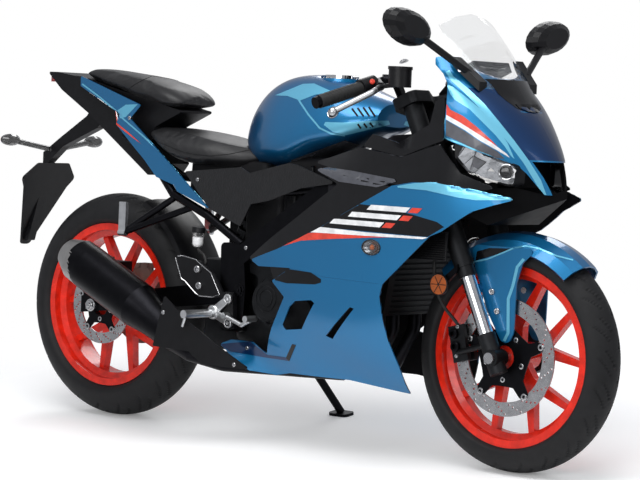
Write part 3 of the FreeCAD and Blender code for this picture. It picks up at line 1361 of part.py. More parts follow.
def swingarm():
    """Two box arms from the pivot tube to the axle, with a bridge ahead of the tyre."""
    reach = ARM_INNER + ARM_THICKNESS / 2
    arm = beam(
        [
            (PIVOT_X, -reach, PIVOT_Z, ARM_THICKNESS / 2, ARM_HALF_HEIGHT),
            (ARM_BRIDGE_X, -reach, ARM_BRIDGE_Z, ARM_THICKNESS / 2, ARM_HALF_HEIGHT),
            (-ARM_TAIL, -reach, REAR_TYRE_RADIUS, ARM_THICKNESS / 2, ARM_HALF_HEIGHT * ARM_TAIL_SHARE),
        ]
    )
    pivot = rod(vec(PIVOT_X, -reach, PIVOT_Z), vec(PIVOT_X, reach, PIVOT_Z), PIVOT_TUBE_RADIUS)
    bridge = Part.makeBox(
        ARM_BRIDGE_DEPTH,
        2 * reach,
        ARM_HALF_HEIGHT,
        vec(ARM_BRIDGE_X - ARM_BRIDGE_DEPTH / 2, -reach, ARM_BRIDGE_Z - ARM_HALF_HEIGHT / 2),
    )
    lug = rod(
        vec(SHOCK_LOW[0], -SHOCK_TUBE_RADIUS, SHOCK_LOW[2] - SHOCK_EYE_DROP),
        vec(SHOCK_LOW[0], SHOCK_TUBE_RADIUS, SHOCK_LOW[2] - SHOCK_EYE_DROP),
        SHOCK_TUBE_RADIUS,
    )
    body = fused([arm, mirrored(arm), pivot, bridge, lug])
    bolt = rod(vec(PIVOT_X, -PLATE_INNER, PIVOT_Z), vec(PIVOT_X, PLATE_INNER, PIVOT_Z), PIVOT_BOLT_RADIUS)
    axle_bar = rod(
        vec(0, -PLATE_INNER * 2, REAR_TYRE_RADIUS), vec(0, PLATE_INNER * 2, REAR_TYRE_RADIUS), AXLE_RADIUS
    )
    spool_start = vec(SPOOL_X, -PLATE_INNER * 2, SPOOL_Z)
    spool_holes = rod(spool_start, spool_start + vec(0, PLATE_INNER * 4, 0), SPOOL_RADIUS)
    return body.cut(bolt).cut(axle_bar).cut(spool_holes)


def rear_shock():
    """A damper with its spring's coils drawn as rings round it."""
    low = vec(*SHOCK_LOW)
    top = vec(*SHOCK_TOP)
    along = top - low
    length = along.Length
    along.normalize()
    start = low - along * (SHOCK_EYE_DROP - SHOCK_TUBE_RADIUS)
    body = rod(start, top - along * CROSS_TUBE_RADIUS, SHOCK_TUBE_RADIUS)
    coil = SHOCK_RADIUS - SHOCK_TUBE_RADIUS
    pitch = (length - 4 * SHOCK_TUBE_RADIUS) / SHOCK_COILS
    pieces = [body]
    for number in range(SHOCK_COILS):
        centre = low + along * (2 * SHOCK_TUBE_RADIUS + pitch * number)
        pieces.append(rod(centre, centre + along * (pitch / 2), SHOCK_TUBE_RADIUS + coil))
    shock = fused(pieces)
    eye = rod(
        vec(SHOCK_LOW[0], -SHOCK_RADIUS * 2, SHOCK_LOW[2] - SHOCK_EYE_DROP),
        vec(SHOCK_LOW[0], SHOCK_RADIUS * 2, SHOCK_LOW[2] - SHOCK_EYE_DROP),
        SHOCK_TUBE_RADIUS,
    )
    cross = rod(
        vec(SHOCK_TOP[0], -SUBFRAME_WIDTH, SHOCK_TOP[2]),
        vec(SHOCK_TOP[0], SUBFRAME_WIDTH, SHOCK_TOP[2]),
        CROSS_TUBE_RADIUS,
    )
    return shock.cut(eye).cut(cross)


def rear_caliper():
    """A caliper on the swingarm's right arm, astride the rear disc."""
    centre = vec(REAR_CALIPER_X, -REAR_DISC_OFFSET, REAR_TYRE_RADIUS + REAR_DISC_RADIUS)
    slot_half = PAD_CLEARANCE + DISC_THICKNESS / 2
    inner_y = -REAR_DISC_OFFSET + slot_half + CALIPER_WALL / 2
    outer_y = -ARM_INNER - ARM_THICKNESS
    body = Part.makeBox(
        REAR_CALIPER_LENGTH,
        inner_y - outer_y,
        CALIPER_DEPTH,
        vec(centre.x - CALIPER_LENGTH / 4, outer_y, centre.z - CALIPER_DEPTH * REAR_CALIPER_DROP_SHARE),
    )
    slot = rod(
        vec(0, -REAR_DISC_OFFSET - slot_half, REAR_TYRE_RADIUS),
        vec(0, -REAR_DISC_OFFSET + slot_half, REAR_TYRE_RADIUS),
        REAR_DISC_RADIUS + PAD_CLEARANCE,
    )
    bracket = Part.makeBox(
        CALIPER_DEPTH / 2,
        ARM_THICKNESS / 2,
        REAR_DISC_RADIUS,
        vec(centre.x - CALIPER_DEPTH / 4, outer_y, REAR_TYRE_RADIUS + ARM_HALF_HEIGHT),
    )
    return fused([body.cut(slot), bracket]).cut(made(swingarm))


# Engine, exhaust and radiator


def crankcase_half_width():
    return PLATE_INNER - SEAT_GAP


def engine_block():
    """The crankcase, cylinders and head as one plain block, pocketed for the sprocket."""
    case_outline = in_box(
        CRANKCASE_SHARES, CRANKCASE_REAR_X, CRANKCASE_LOW_Z, CRANKCASE_LENGTH, CRANKCASE_HEIGHT
    )
    head_outline = in_box(
        CYLINDER_SHARES, CRANKCASE_REAR_X, CRANKCASE_LOW_Z, CRANKCASE_LENGTH, CRANKCASE_HEIGHT
    )
    case = rounded_plate(case_outline, PLATE_ROUNDING, -crankcase_half_width(), crankcase_half_width())
    head = rounded_plate(head_outline, PLATE_ROUNDING, -CYLINDER_HALF_WIDTH, CYLINDER_HALF_WIDTH)
    block = fused([case, head])
    reach = sprocket_radius(FRONT_SPROCKET_TEETH) + CHAIN_HEIGHT
    pocket = Part.makeBox(
        2 * reach,
        crankcase_half_width(),
        2 * reach + CHAIN_HEIGHT * 2,
        vec(SPROCKET_X - reach, SPROCKET_POCKET_Y, SPROCKET_Z - reach - CHAIN_HEIGHT),
    )
    return block.cut(pocket)


def clutch_cover():
    """The clutch's round cover with its stepped rim, on the right."""
    outline = [
        (CLUTCH_CENTRE[0] + share_x * CLUTCH_RADIUS, CLUTCH_CENTRE[1] + share_z * CLUTCH_RADIUS)
        for share_x, share_z in CLUTCH_SHARES
    ]
    outer_y = -crankcase_half_width()
    rim_plate = rounded_plate(outline, PLATE_ROUNDING, outer_y - CLUTCH_COVER_DEPTH / 2, outer_y)
    face = vec(CLUTCH_CENTRE[0], outer_y - CLUTCH_COVER_DEPTH / 2, CLUTCH_CENTRE[1])
    drum = rod(face, face - vec(0, CLUTCH_COVER_DEPTH / 2, 0), CLUTCH_RADIUS * CLUTCH_DRUM_SHARE)
    return fused([rim_plate, drum])


def generator_cover():
    """The generator's round cover on the left, and the cover over the sprocket."""
    start = vec(GENERATOR_CENTRE[0], crankcase_half_width(), GENERATOR_CENTRE[1])
    drum = rod(start, start + vec(0, GENERATOR_COVER_DEPTH, 0), GENERATOR_RADIUS)
    cap = rod(
        start + vec(0, GENERATOR_COVER_DEPTH, 0),
        start + vec(0, GENERATOR_COVER_DEPTH + GENERATOR_CAP_DEPTH, 0),
        GENERATOR_CAP_RADIUS,
    )
    reach = sprocket_radius(FRONT_SPROCKET_TEETH) + SPROCKET_COVER_MARGIN
    guard = rod(
        vec(SPROCKET_X, crankcase_half_width(), SPROCKET_Z),
        vec(SPROCKET_X, crankcase_half_width() + SPROCKET_COVER_THICKNESS, SPROCKET_Z),
        reach,
    )
    return Part.makeCompound([fused([drum, cap]), guard.cut(drum)])


def radiator():
    """A core with fins across it between two side tanks, leaning with the fork."""
    low_x, low_z = RADIATOR_LOW
    top_x, top_z = RADIATOR_TOP
    half = RADIATOR_HALF_DEPTH
    outline = [(low_x - half, low_z), (low_x + half, low_z), (top_x + half, top_z), (top_x - half, top_z)]
    core = plate(outline, -RADIATOR_HALF_WIDTH, RADIATOR_HALF_WIDTH)
    shift_x = (top_x - low_x) / RADIATOR_FINS
    shift_z = (top_z - low_z) / RADIATOR_FINS
    inner = RADIATOR_HALF_WIDTH - RADIATOR_TANK_WIDTH
    for number in range(RADIATOR_FINS):
        x = low_x + shift_x * (number + 0.5)
        z = low_z + shift_z * (number + 0.5)
        start = vec(x + half * FIN_ROOT_SHARE, -inner, z)
        groove = Part.makeBox(half, 2 * inner, shift_z * FIN_GAP_SHARE, start)
        core = core.cut(groove)
    stays = []
    for side in (-1, 1):
        share_z = (RADIATOR_STAY_Z - low_z) / (top_z - low_z)
        front = vec(low_x + (top_x - low_x) * share_z, side * RADIATOR_STAY_Y, RADIATOR_STAY_Z)
        rear = vec(CRANKCASE_REAR_X + CRANKCASE_LENGTH, front.y, RADIATOR_STAY_Z)
        stays.append(rod(rear, front, RADIATOR_STAY_RADIUS))
    return fused([core] + stays).cut(made(engine_block))


def exhaust_pipe():
    """Two header pipes that meet below the engine and run back to the muffler."""
    headers = []
    for side in (-1, 1):
        points = [vec(x, side * HEADER_SPACING, z) for x, z in HEADER_PLACES]
        points[-1] = vec(HEADER_PLACES[-1][0], 0, HEADER_PLACES[-1][1])
        headers.append(bent_rod(points, HEADER_RADIUS, HEADER_RADIUS * 3))
    run = [vec(x, -y, z) for x, y, z in COLLECTOR_PLACES]
    collector = bent_rod(run, COLLECTOR_RADIUS, COLLECTOR_RADIUS * 3)
    return fused(headers + [collector]).cut(made(engine_block))


def round_loft(stations):
    """A round body through stations of (centre, direction, radius)."""
    wires = [Part.Wire(Part.makeCircle(radius, centre, direction)) for centre, direction, radius in stations]
    return Part.makeLoft(wires, True, True)


def muffler_axis():
    rear = vec(MUFFLER_REAR[0], -MUFFLER_OFFSET, MUFFLER_REAR[1])
    front = vec(MUFFLER_FRONT[0], -MUFFLER_OFFSET, MUFFLER_FRONT[1])
    return rear, front


def muffler():
    """The silencer's body, with a cone down to the pipe that feeds it."""
    rear, front = muffler_axis()
    along = front - rear
    along.normalize()
    neck = vec(COLLECTOR_PLACES[-1][0], -COLLECTOR_PLACES[-1][1], COLLECTOR_PLACES[-1][2])
    before = vec(COLLECTOR_PLACES[-2][0], -COLLECTOR_PLACES[-2][1], COLLECTOR_PLACES[-2][2])
    feed = before - neck
    return round_loft(
        [
            (rear, along, MUFFLER_END_RADIUS),
            (rear + along * MUFFLER_CAP_LENGTH, along, MUFFLER_RADIUS),
            (front, along, MUFFLER_RADIUS),
            ((front + neck) / 2, along + feed.normalize(), MUFFLER_CONE_RADIUS),
            (neck, feed, COLLECTOR_RADIUS),
        ]
    )


def muffler_cap():
    """The steel end cap with its outlet."""
    rear, front = muffler_axis()
    along = front - rear
    along.normalize()
    tip = rear - along * MUFFLER_CAP_LENGTH
    cap = round_loft([(rear, along, MUFFLER_END_RADIUS), (tip, along, MUFFLER_TIP_RADIUS)])
    outlet = rod(tip - along * OVERRUN, tip + along * MUFFLER_CAP_LENGTH / 2, MUFFLER_OUTLET_RADIUS)
    return cap.cut(outlet)


def exhaust_cover():
    """A shaped cover outboard of the pipe, between the muffler and the belly."""
    outline = in_box(
        EXHAUST_COVER_SHARES,
        EXHAUST_COVER_REAR_X,
        EXHAUST_COVER_LOW_Z,
        EXHAUST_COVER_LENGTH,
        EXHAUST_COVER_HEIGHT,
    )
    cover = slanted_plate(
        outline, EXHAUST_COVER_REAR_WIDTH, EXHAUST_COVER_FRONT_WIDTH, PANEL_THICKNESS, PANEL_THICKNESS
    )
    slope = (EXHAUST_COVER_REAR_WIDTH - EXHAUST_COVER_FRONT_WIDTH) / EXHAUST_COVER_LENGTH
    bosses = []
    for x, inner_y, z in EXHAUST_COVER_BOSSES:
        outer_y = -EXHAUST_COVER_REAR_WIDTH + slope * (x - EXHAUST_COVER_REAR_X) + PANEL_THICKNESS / 2
        bosses.append(rod(vec(x, outer_y, z), vec(x, inner_y, z), EXHAUST_COVER_BOSS_RADIUS))
    return fused([cover] + bosses).cut(made(muffler)).cut(made(exhaust_pipe))


# Fairing


def flank_surface():
    """The fairing's outer surface on the right, through rows of half widths."""
    rows = []
    for share_z, widths in zip(FLANK_Z_SHARES, FLANK_WIDTH_SHARES):
        z = FAIRING_LOW_Z + share_z * FAIRING_HEIGHT
        row = []
        for share_x, share_w in zip(FLANK_X_SHARES, widths):
            row.append(vec(FAIRING_REAR_X + share_x * FAIRING_LENGTH, -share_w * FAIRING_HALF_WIDTH, z))
        rows.append(row)
    surface = Part.BSplineSurface()
    surface.interpolate(rows)
    return surface.toShape()


def flank_reach():
    """How far out the tools that cut the flanks reach."""
    return FAIRING_HALF_WIDTH * FLANK_CUT_SHARE


def flank_panel(shares, setback, rounding):
    """A panel of the fairing's flank: a slab under its surface inside an outline."""
    face = flank_surface()
    face.translate(vec(0, setback, 0))
    slab = face.extrude(vec(0, PANEL_THICKNESS, 0))
    return slab.common(rounded_plate(fairing_points(shares), rounding, -flank_reach(), 0))


def side_cowls():
    """The upper side panels, each with a hole for its indicator lamp."""
    panel = flank_panel(SIDE_COWL_SHARES, 0, PANEL_THICKNESS)
    hole = indicator_outline(PIN_CLEARANCE)
    return both_sides(panel.cut(plate(hole, -flank_reach(), 0)))


def indicator_outline(margin):
    x, z = INDICATOR_CENTRE
    points = []
    for step in range(INDICATOR_STEPS):
        angle = 2 * math.pi * step / INDICATOR_STEPS
        reach_x = INDICATOR_LENGTH / 2 + margin
        reach_z = INDICATOR_HEIGHT / 2 + margin
        points.append((x + reach_x * math.cos(angle), z + reach_z * math.sin(angle)))
    return points


def front_indicators():
    """Oval lamps let into the side panels."""
    face = flank_surface()
    face.translate(vec(0, -INDICATOR_DEPTH / 4, 0))
    slab = face.extrude(vec(0, INDICATOR_DEPTH, 0))
    return both_sides(slab.common(plate(indicator_outline(0), -flank_reach(), 0)))


def lower_cowls():
    """The belly panels with their two vents."""
    panel = flank_panel(LOWER_COWL_SHARES, 0, PANEL_THICKNESS)
    above = rounded_plate(fairing_points(SIDE_COWL_SHARES), PANEL_THICKNESS, -flank_reach(), 0)
    above.translate(vec(0, 0, -SEAT_GAP))
    panel = panel.cut(above)
    for shares in (FRONT_VENT_SHARES, REAR_VENT_SHARES):
        panel = panel.cut(plate(fairing_points(shares), -flank_reach(), 0))
    stand_room = Part.makeBox(
        STAND_CUTOUT_X, FAIRING_HALF_WIDTH * 2, FAIRING_HEIGHT, vec(0, 0, 0)
    )
    return Part.makeCompound([panel, mirrored(panel).cut(stand_room)])


def rear_panels():
    return both_sides(flank_panel(REAR_PANEL_SHARES, PANEL_THICKNESS + SEAT_GAP, PANEL_THICKNESS))


def upper_panels():
    """Black panels between the side panels and the nose."""
    face = flank_surface_above()
    slab = face.extrude(vec(0, PANEL_THICKNESS, 0))
    outline = rounded_plate(fairing_points(UPPER_PANEL_SHARES), PANEL_THICKNESS, -flank_reach(), 0)
    return both_sides(slab.common(outline))


def flank_surface_above():
    """The recessed surface above the side panels, which leans in towards the tank."""
    rows = []
    for share_z, widths in zip(UPPER_Z_SHARES, UPPER_WIDTH_SHARES):
        z = FAIRING_LOW_Z + share_z * FAIRING_HEIGHT
        row = []
        for share_x, share_w in zip(UPPER_X_SHARES, widths):
            row.append(vec(FAIRING_REAR_X + share_x * FAIRING_LENGTH, -share_w * FAIRING_HALF_WIDTH, z))
        rows.append(row)
    surface = Part.BSplineSurface()
    surface.interpolate(rows)
    return surface.toShape()


def inner_strips():
    """Grey strips between the upper panels and the cockpit."""
    face = flank_surface_above()
    face.translate(vec(0, PANEL_THICKNESS + SEAT_GAP, 0))
    slab = face.extrude(vec(0, PANEL_THICKNESS, 0))
    outline = rounded_plate(fairing_points(INNER_STRIP_SHARES), PANEL_THICKNESS, -flank_reach(), 0)
    strip = slab.common(outline).cut(made(front_cowl))
    return both_sides(strip)


def nose_surface():
    """The nose's surface as rows of points from the right edge round to the left."""
    rows = []
    for share_z, centre, ridge, ridge_share, side, side_share, flank_share in zip(
        NOSE_Z_SHARES,
        NOSE_CENTRE_SHARES,
        NOSE_RIDGE_SHARES,
        NOSE_RIDGE_WIDTH_SHARES,
        NOSE_SIDE_SHARES,
        NOSE_SIDE_WIDTH_SHARES,
        NOSE_FLANK_WIDTH_SHARES,
    ):
        z = FAIRING_LOW_Z + share_z * FAIRING_HEIGHT
        centre_x = NOSE_REAR_X + centre * NOSE_LENGTH
        ridge_x = NOSE_REAR_X + ridge * NOSE_LENGTH
        side_x = NOSE_REAR_X + side * NOSE_LENGTH
        brow_x = ridge_x + (centre_x - ridge_x) * NOSE_BROW_SHARE
        half = [
            (side_x - NOSE_FLANK_REACH, NOSE_HALF_WIDTH),
            (side_x - NOSE_FLANK_REACH / 2, NOSE_HALF_WIDTH * flank_share),
            (side_x, NOSE_HALF_WIDTH * side_share),
            (ridge_x, NOSE_HALF_WIDTH * ridge_share),
            (brow_x, NOSE_HALF_WIDTH * ridge_share * NOSE_BROW_WIDTH_SHARE),
        ]
        row = [vec(x, -y, z) for x, y in half]
        row.append(vec(centre_x, 0, z))
        row.extend(vec(x, y, z) for x, y in reversed(half))
        rows.append(row)
    surface = Part.BSplineSurface()
    surface.interpolate(rows)
    return surface.toShape()


def front_cowl():
    """The nose shell: an outer form less an inner one, trimmed to its outline."""
    face = nose_surface()
    shell = face.makeOffsetShape(-PANEL_THICKNESS, PANEL_THICKNESS / 100, fill=True)
    outline = fairing_points(NOSE_OUTLINE_SHARES)
    wide = NOSE_HALF_WIDTH * NOSE_CUT_SHARE
    shell = shell.common(plate(outline, -wide, wide))
    return biggest(shell.cut(intake_opening()).cut(control_room()))


def control_room():
    """The space that the brake reservoir sweeps as the bars turn, kept clear of the cowl."""
    low = steering_point(TOP_CLAMP_HEIGHT, 0, 0)
    high = steering_point(TOP_CLAMP_HEIGHT + CONTROL_ROOM_HEIGHT, 0, 0)
    return rod(low, high, CONTROL_ROOM_RADIUS)


def intake_opening():
    """The air intake between the nose's ridges, seen from the front."""
    half = []
    for share_y, share_z in INTAKE_SHARES:
        half.append((share_y * NOSE_HALF_WIDTH, FAIRING_LOW_Z + share_z * FAIRING_HEIGHT))
    points = [vec(INTAKE_REAR_X, y, z) for y, z in half]
    points.extend(vec(INTAKE_REAR_X, -y, z) for y, z in reversed(half))
    return Part.Face(Part.makePolygon(points + points[:1])).extrude(vec(NOSE_LENGTH, 0, 0))


def intake_wall():
    """The dark wall that closes the intake behind its opening."""
    half = INTAKE_WALL_WIDTH
    low_z = FAIRING_LOW_Z + INTAKE_SHARES[0][1] * FAIRING_HEIGHT
    high_z = FAIRING_LOW_Z + INTAKE_WALL_SHARE * FAIRING_HEIGHT
    return Part.makeBox(
        PANEL_THICKNESS, 2 * half, high_z - low_z, vec(INTAKE_REAR_X - PANEL_THICKNESS, -half, low_z)
    )


def nose_chin():
    """The black chin below the nose, pointed in plan."""
    outline = fairing_points(CHIN_SHARES)
    body = plate(outline, -CHIN_HALF_WIDTH, CHIN_HALF_WIDTH)
    front = max(x for x, z in outline)
    rear = min(x for x, z in outline)
    low = min(z for x, z in outline)
    high = max(z for x, z in outline)
    corners = [
        vec(front, 0, low - OVERRUN),
        vec(rear, -CHIN_HALF_WIDTH, low - OVERRUN),
        vec(rear - OVERRUN, 0, low - OVERRUN),
        vec(rear, CHIN_HALF_WIDTH, low - OVERRUN),
    ]
    plan = Part.Face(Part.makePolygon(corners + corners[:1])).extrude(vec(0, 0, high - low + OVERRUN * 2))
    return fused([body.common(plan), intake_wall()]).cut(made(front_cowl))


def headlamps():
    """Slanted lamps between the nose and the upper panels."""
    outline = fairing_points(HEADLAMP_SHARES)
    lamp = slanted_plate(
        outline, HEADLAMP_REAR_WIDTH, HEADLAMP_FRONT_WIDTH, HEADLAMP_DEPTH, HEADLAMP_DEPTH / 4
    )
    return both_sides(biggest(lamp.cut(made(front_cowl))))


def windscreen():
    """A bowed clear sheet on the top of the nose."""
    rows = []
    for share_z, share_x in zip(SCREEN_Z_SHARES, SCREEN_X_SHARES):
        z = FAIRING_LOW_Z + share_z * FAIRING_HEIGHT
        row = []
        for step in range(-2, 3):
            across = step / 2
            x = FAIRING_REAR_X + share_x * FAIRING_LENGTH - SCREEN_BOW * across * across
            row.append(vec(x, across * SCREEN_HALF_WIDTH, z))
        rows.append(row)
    surface = Part.BSplineSurface()
    surface.interpolate(rows)
    sheet = surface.toShape().extrude(vec(-PANEL_THICKNESS, 0, 0))
    half = []
    for share_y, share_z in SCREEN_OUTLINE_SHARES:
        half.append((share_y * SCREEN_HALF_WIDTH, FAIRING_LOW_Z + share_z * FAIRING_HEIGHT))
    points = [vec(NOSE_REAR_X, y, z) for y, z in half]
    points.extend(vec(NOSE_REAR_X, -y, z) for y, z in reversed(half[1:-1]))
    front = Part.Face(Part.makePolygon(points + points[:1]))
    front.translate(vec(-NOSE_LENGTH, 0, 0))
    screen = sheet.common(front.extrude(vec(NOSE_LENGTH * 2, 0, 0)))
    return biggest(screen.cut(made(front_cowl)).cut(made(mirrors)))


def mirrors():
    """Mirror heads on stalks from feet on the nose's shoulders."""
    heads = []
    for side in (-1, 1):
        base = placed(MIRROR_BASE, side)
        head = placed(MIRROR_HEAD, side)
        stalk = rod(base, head, MIRROR_STALK_RADIUS)
        stations = []
        for place in (MIRROR_FOOT_REAR, MIRROR_FOOT_FRONT):
            x, y, z = placed(place, side)
            stations.append((x, y, z, MIRROR_FOOT_HALF_WIDTH, MIRROR_FOOT_HALF_HEIGHT))
        foot = biggest(beam(stations).cut(made(front_cowl)))
        sections = []
        for share_x, share_r in MIRROR_SECTION_SHARES:
            oval = oval_points(MIRROR_LENGTH * share_r, MIRROR_HEIGHT * share_r)
            points = [vec(share_x * MIRROR_DEPTH, y, z) for y, z in oval]
            sections.append(Part.makePolygon(points + points[:1]))
        shell = Part.makeLoft(sections, True, True)
        shell.rotate(vec(0, 0, 0), vec(1, 0, 0), side * MIRROR_TILT)
        shell.translate(head)
        heads.append(fused([shell, stalk, foot]))
    return Part.makeCompound(heads)


def instrument():
    """The dash behind the screen."""
    x, z = INSTRUMENT_PLACE
    half = INSTRUMENT_HALF_WIDTH
    corner = vec(x - INSTRUMENT_LENGTH / 2, -half, z)
    panel = Part.makeBox(INSTRUMENT_LENGTH, 2 * half, INSTRUMENT_THICKNESS, corner)
    panel.rotate(vec(x, 0, z), vec(0, 1, 0), -STEERING_ANGLE)
    return panel


# Tank, seats and tail


def body_hull(x_shares, width_shares, low_shares, top_shares, squareness, top_share):
    stations = []
    for share_x, share_w, share_low, share_top in zip(x_shares, width_shares, low_shares, top_shares):
        stations.append(
            (
                BODY_REAR_X + share_x * BODY_LENGTH,
                share_w * BODY_HALF_WIDTH,
                BODY_LOW_Z + share_low * BODY_HEIGHT,
                BODY_LOW_Z + share_top * BODY_HEIGHT,
            )
        )
    return hull(stations, squareness, top_share)


def tank_body():
    return body_hull(
        TANK_X_SHARES, TANK_WIDTH_SHARES, TANK_LOW_SHARES, TANK_TOP_SHARES, TANK_SQUARENESS, TANK_TOP_SHARE
    )


def fuel_tank():
    """The tank, with the filler's ring on its top."""
    tank = tank_body()
    well = rod(vec(CAP_X, 0, CAP_BASE_Z), vec(CAP_X, 0, CAP_BASE_Z + OVERRUN * 2), CAP_RADIUS)
    neck = rod(vec(CAP_X, 0, CAP_BASE_Z - OVERRUN), vec(CAP_X, 0, CAP_BASE_Z + CAP_RING_HEIGHT), CAP_RADIUS)
    return fused([tank.cut(well), neck])


def fuel_cap():
    """The filler's lid, hinged at its front edge."""
    base = vec(CAP_X, 0, CAP_BASE_Z + CAP_RING_HEIGHT + SEAT_GAP)
    lid = rod(base, base + vec(0, 0, CAP_LID_HEIGHT), CAP_LID_RADIUS)
    hinge = base + vec(CAP_LID_RADIUS, 0, CAP_LID_HEIGHT / 2)
    half = vec(0, CAP_HINGE_LENGTH / 2, 0)
    return fused([lid, rod(hinge - half, hinge + half, CAP_HINGE_RADIUS)])


def rider_seat():
    return body_hull(
        RIDER_SEAT_X_SHARES,
        RIDER_SEAT_WIDTH_SHARES,
        RIDER_SEAT_LOW_SHARES,
        RIDER_SEAT_TOP_SHARES,
        SEAT_SQUARENESS,
        SEAT_TOP_SHARE,
    ).cut(made(tank_body))


def passenger_seat():
    return body_hull(
        PILLION_X_SHARES,
        PILLION_WIDTH_SHARES,
        PILLION_LOW_SHARES,
        PILLION_TOP_SHARES,
        SEAT_SQUARENESS,
        SEAT_TOP_SHARE,
    )


def seat_hump():
    """The body between the seats, under the passenger's cushion."""
    body = rounded_plate(body_points(HUMP_SHARES), PLATE_ROUNDING, -HUMP_HALF_WIDTH, HUMP_HALF_WIDTH)
    rail = made(subframe_side)
    return body.cut(made(passenger_seat)).cut(made(rider_seat)).cut(rail).cut(mirrored(rail))


def tail_cowl():
    """Blue side panels of the tail."""
    panel = slanted_plate(
        body_points(TAIL_SIDE_SHARES), TAIL_REAR_WIDTH, TAIL_FRONT_WIDTH, PANEL_THICKNESS, PANEL_THICKNESS
    )
    return both_sides(panel.cut(made(subframe_side)))


def undertail():
    body = rounded_plate(
        body_points(UNDERTAIL_SHARES), PANEL_THICKNESS, -UNDERTAIL_HALF_WIDTH, UNDERTAIL_HALF_WIDTH
    )
    rail = made(subframe_side)
    body = body.cut(rail).cut(mirrored(rail))
    return body.cut(made(seat_hump)).cut(made(passenger_seat)).cut(made(tail_lamp))


def side_covers():
    """Textured covers below the tank's sides."""
    panel = slanted_plate(
        body_points(SIDE_COVER_SHARES),
        SIDE_COVER_REAR_WIDTH,
        SIDE_COVER_FRONT_WIDTH,
        PANEL_THICKNESS,
        PANEL_THICKNESS,
    )
    return both_sides(panel)


def plate_holder():
    """The arm and the blank flap behind the rear wheel."""
    arm = rounded_plate(
        body_points(PLATE_ARM_SHARES), PANEL_THICKNESS, -PLATE_ARM_HALF_WIDTH, PLATE_ARM_HALF_WIDTH
    )
    right = [placed(place, -1) for place in (FLAP_NECK, FLAP_TOP, FLAP_SHOULDER, FLAP_TIP)]
    left = [placed(place, 1) for place in (FLAP_TIP, FLAP_SHOULDER, FLAP_TOP, FLAP_NECK)]
    points = [(point.y, point.z) for point in right + left]
    slope = (FLAP_NECK[0] - FLAP_TIP[0]) / (FLAP_NECK[2] - FLAP_TIP[2])
    corners = [vec(FLAP_TIP[0] + slope * (z - FLAP_TIP[2]), y, z) for y, z in points]
    flap = Part.Face(rounded_wire(corners, PLATE_ROUNDING)).extrude(vec(-FLAP_THICKNESS, 0, 0))
    return fused([arm, flap]).cut(made(undertail))


def rear_indicators():
    """Rear lamps on stalks beside the plate's arm."""
    lamps = []
    for side in (-1, 1):
        end = placed(REAR_LAMP_PLACE, side)
        root = vec(REAR_LAMP_STALK[0], side * PLATE_ARM_HALF_WIDTH, REAR_LAMP_STALK[2])
        stalk = rod(root, end, STALK_RADIUS)
        sections = []
        for share_x, share_r in REAR_LAMP_SECTION_SHARES:
            oval = oval_points(REAR_LAMP_LENGTH * share_r, REAR_LAMP_HEIGHT * share_r)
            points = [end + vec(share_x * REAR_LAMP_DEPTH, y, z) for y, z in oval]
            sections.append(Part.makePolygon(points + points[:1]))
        lamp = Part.makeLoft(sections, True, True)
        lamps.append(fused([lamp, stalk]).cut(made(plate_holder)))
    return Part.makeCompound(lamps)


def tail_lamp():
    x, z = LAMP_PLACE
    half = TAIL_LAMP_HALF_WIDTH
    return Part.makeBox(TAIL_LAMP_DEPTH, 2 * half, TAIL_LAMP_HEIGHT, vec(x, -half, z))


# Footrests, levers and the stand


def foot_brackets():
    """Cast footrest brackets with heel guards, on both pivot plates."""
    outline = in_box(BRACKET_SHARES, BRACKET_REAR_X, BRACKET_LOW_Z, BRACKET_LENGTH, BRACKET_HEIGHT)
    casting = rounded_plate(outline, PANEL_THICKNESS, -BRACKET_INNER - BRACKET_THICKNESS, -BRACKET_INNER)
    heel_outline = in_box(HEEL_SHARES, HEEL_REAR_X, HEEL_LOW_Z, HEEL_LENGTH, HEEL_HEIGHT)
    heel = rounded_plate(heel_outline, PANEL_THICKNESS, -BRACKET_INNER - BRACKET_THICKNESS, -HEEL_GUARD_INNER)
    return both_sides(fused([casting, heel]))


def rider_pegs():
    """Footrests with a wear pin under each tip."""
    pegs = []
    for side in (-1, 1):
        root = placed(PEG_PLACE, side)
        root = vec(root.x, side * (BRACKET_INNER + BRACKET_THICKNESS), root.z)
        tip = root + vec(0, side * PEG_LENGTH, 0)
        peg = rod(root, tip, PEG_RADIUS)
        pin_top = tip - vec(0, side * PEG_RADIUS, 0)
        pin = rod(pin_top, pin_top + vec(-FEELER_LENGTH / 3, 0, -FEELER_LENGTH), FEELER_RADIUS)
        pegs.append(fused([peg, pin]))
    return Part.makeCompound(pegs)


def pillion_brackets():
    """Two struts a side from the seat's rails out to the passenger's peg."""
    pieces = []
    for side in (-1, 1):
        end = placed(PILLION_PEG_PLACE, side)
        struts = []
        for x, z in PILLION_MOUNTS:
            root = vec(x, side * PILLION_MOUNT_WIDTH, z)
            struts.append(rod(root, end, PILLION_STRUT_RADIUS))
        struts.append(Part.makeSphere(PILLION_BALL_RADIUS, end))
        half = vec(PEG_FORK_WIDTH / 2, 0, 0)
        fork_gap = rod(end - half, end + half, PILLION_STRUT_RADIUS + OVERRUN)
        rail = made(subframe_side)
        if side > 0:
            rail = mirrored(rail)
        pieces.append(fused(struts).cut(fork_gap).cut(rail))
    return Part.makeCompound(pieces)


def pillion_peg(side):
    """A passenger's footrest folded up on its pin."""
    end = placed(PILLION_PEG_PLACE, side)
    half = PEG_FORK_WIDTH / 2 - PIN_CLEARANCE
    eye = rod(end - vec(half, 0, 0), end + vec(half, 0, 0), PILLION_STRUT_RADIUS)
    bar = Part.makeBox(2 * half, PEG_RADIUS, PILLION_PEG_LENGTH, end - vec(half, PEG_RADIUS / 2, 0))
    return fused([eye, bar])


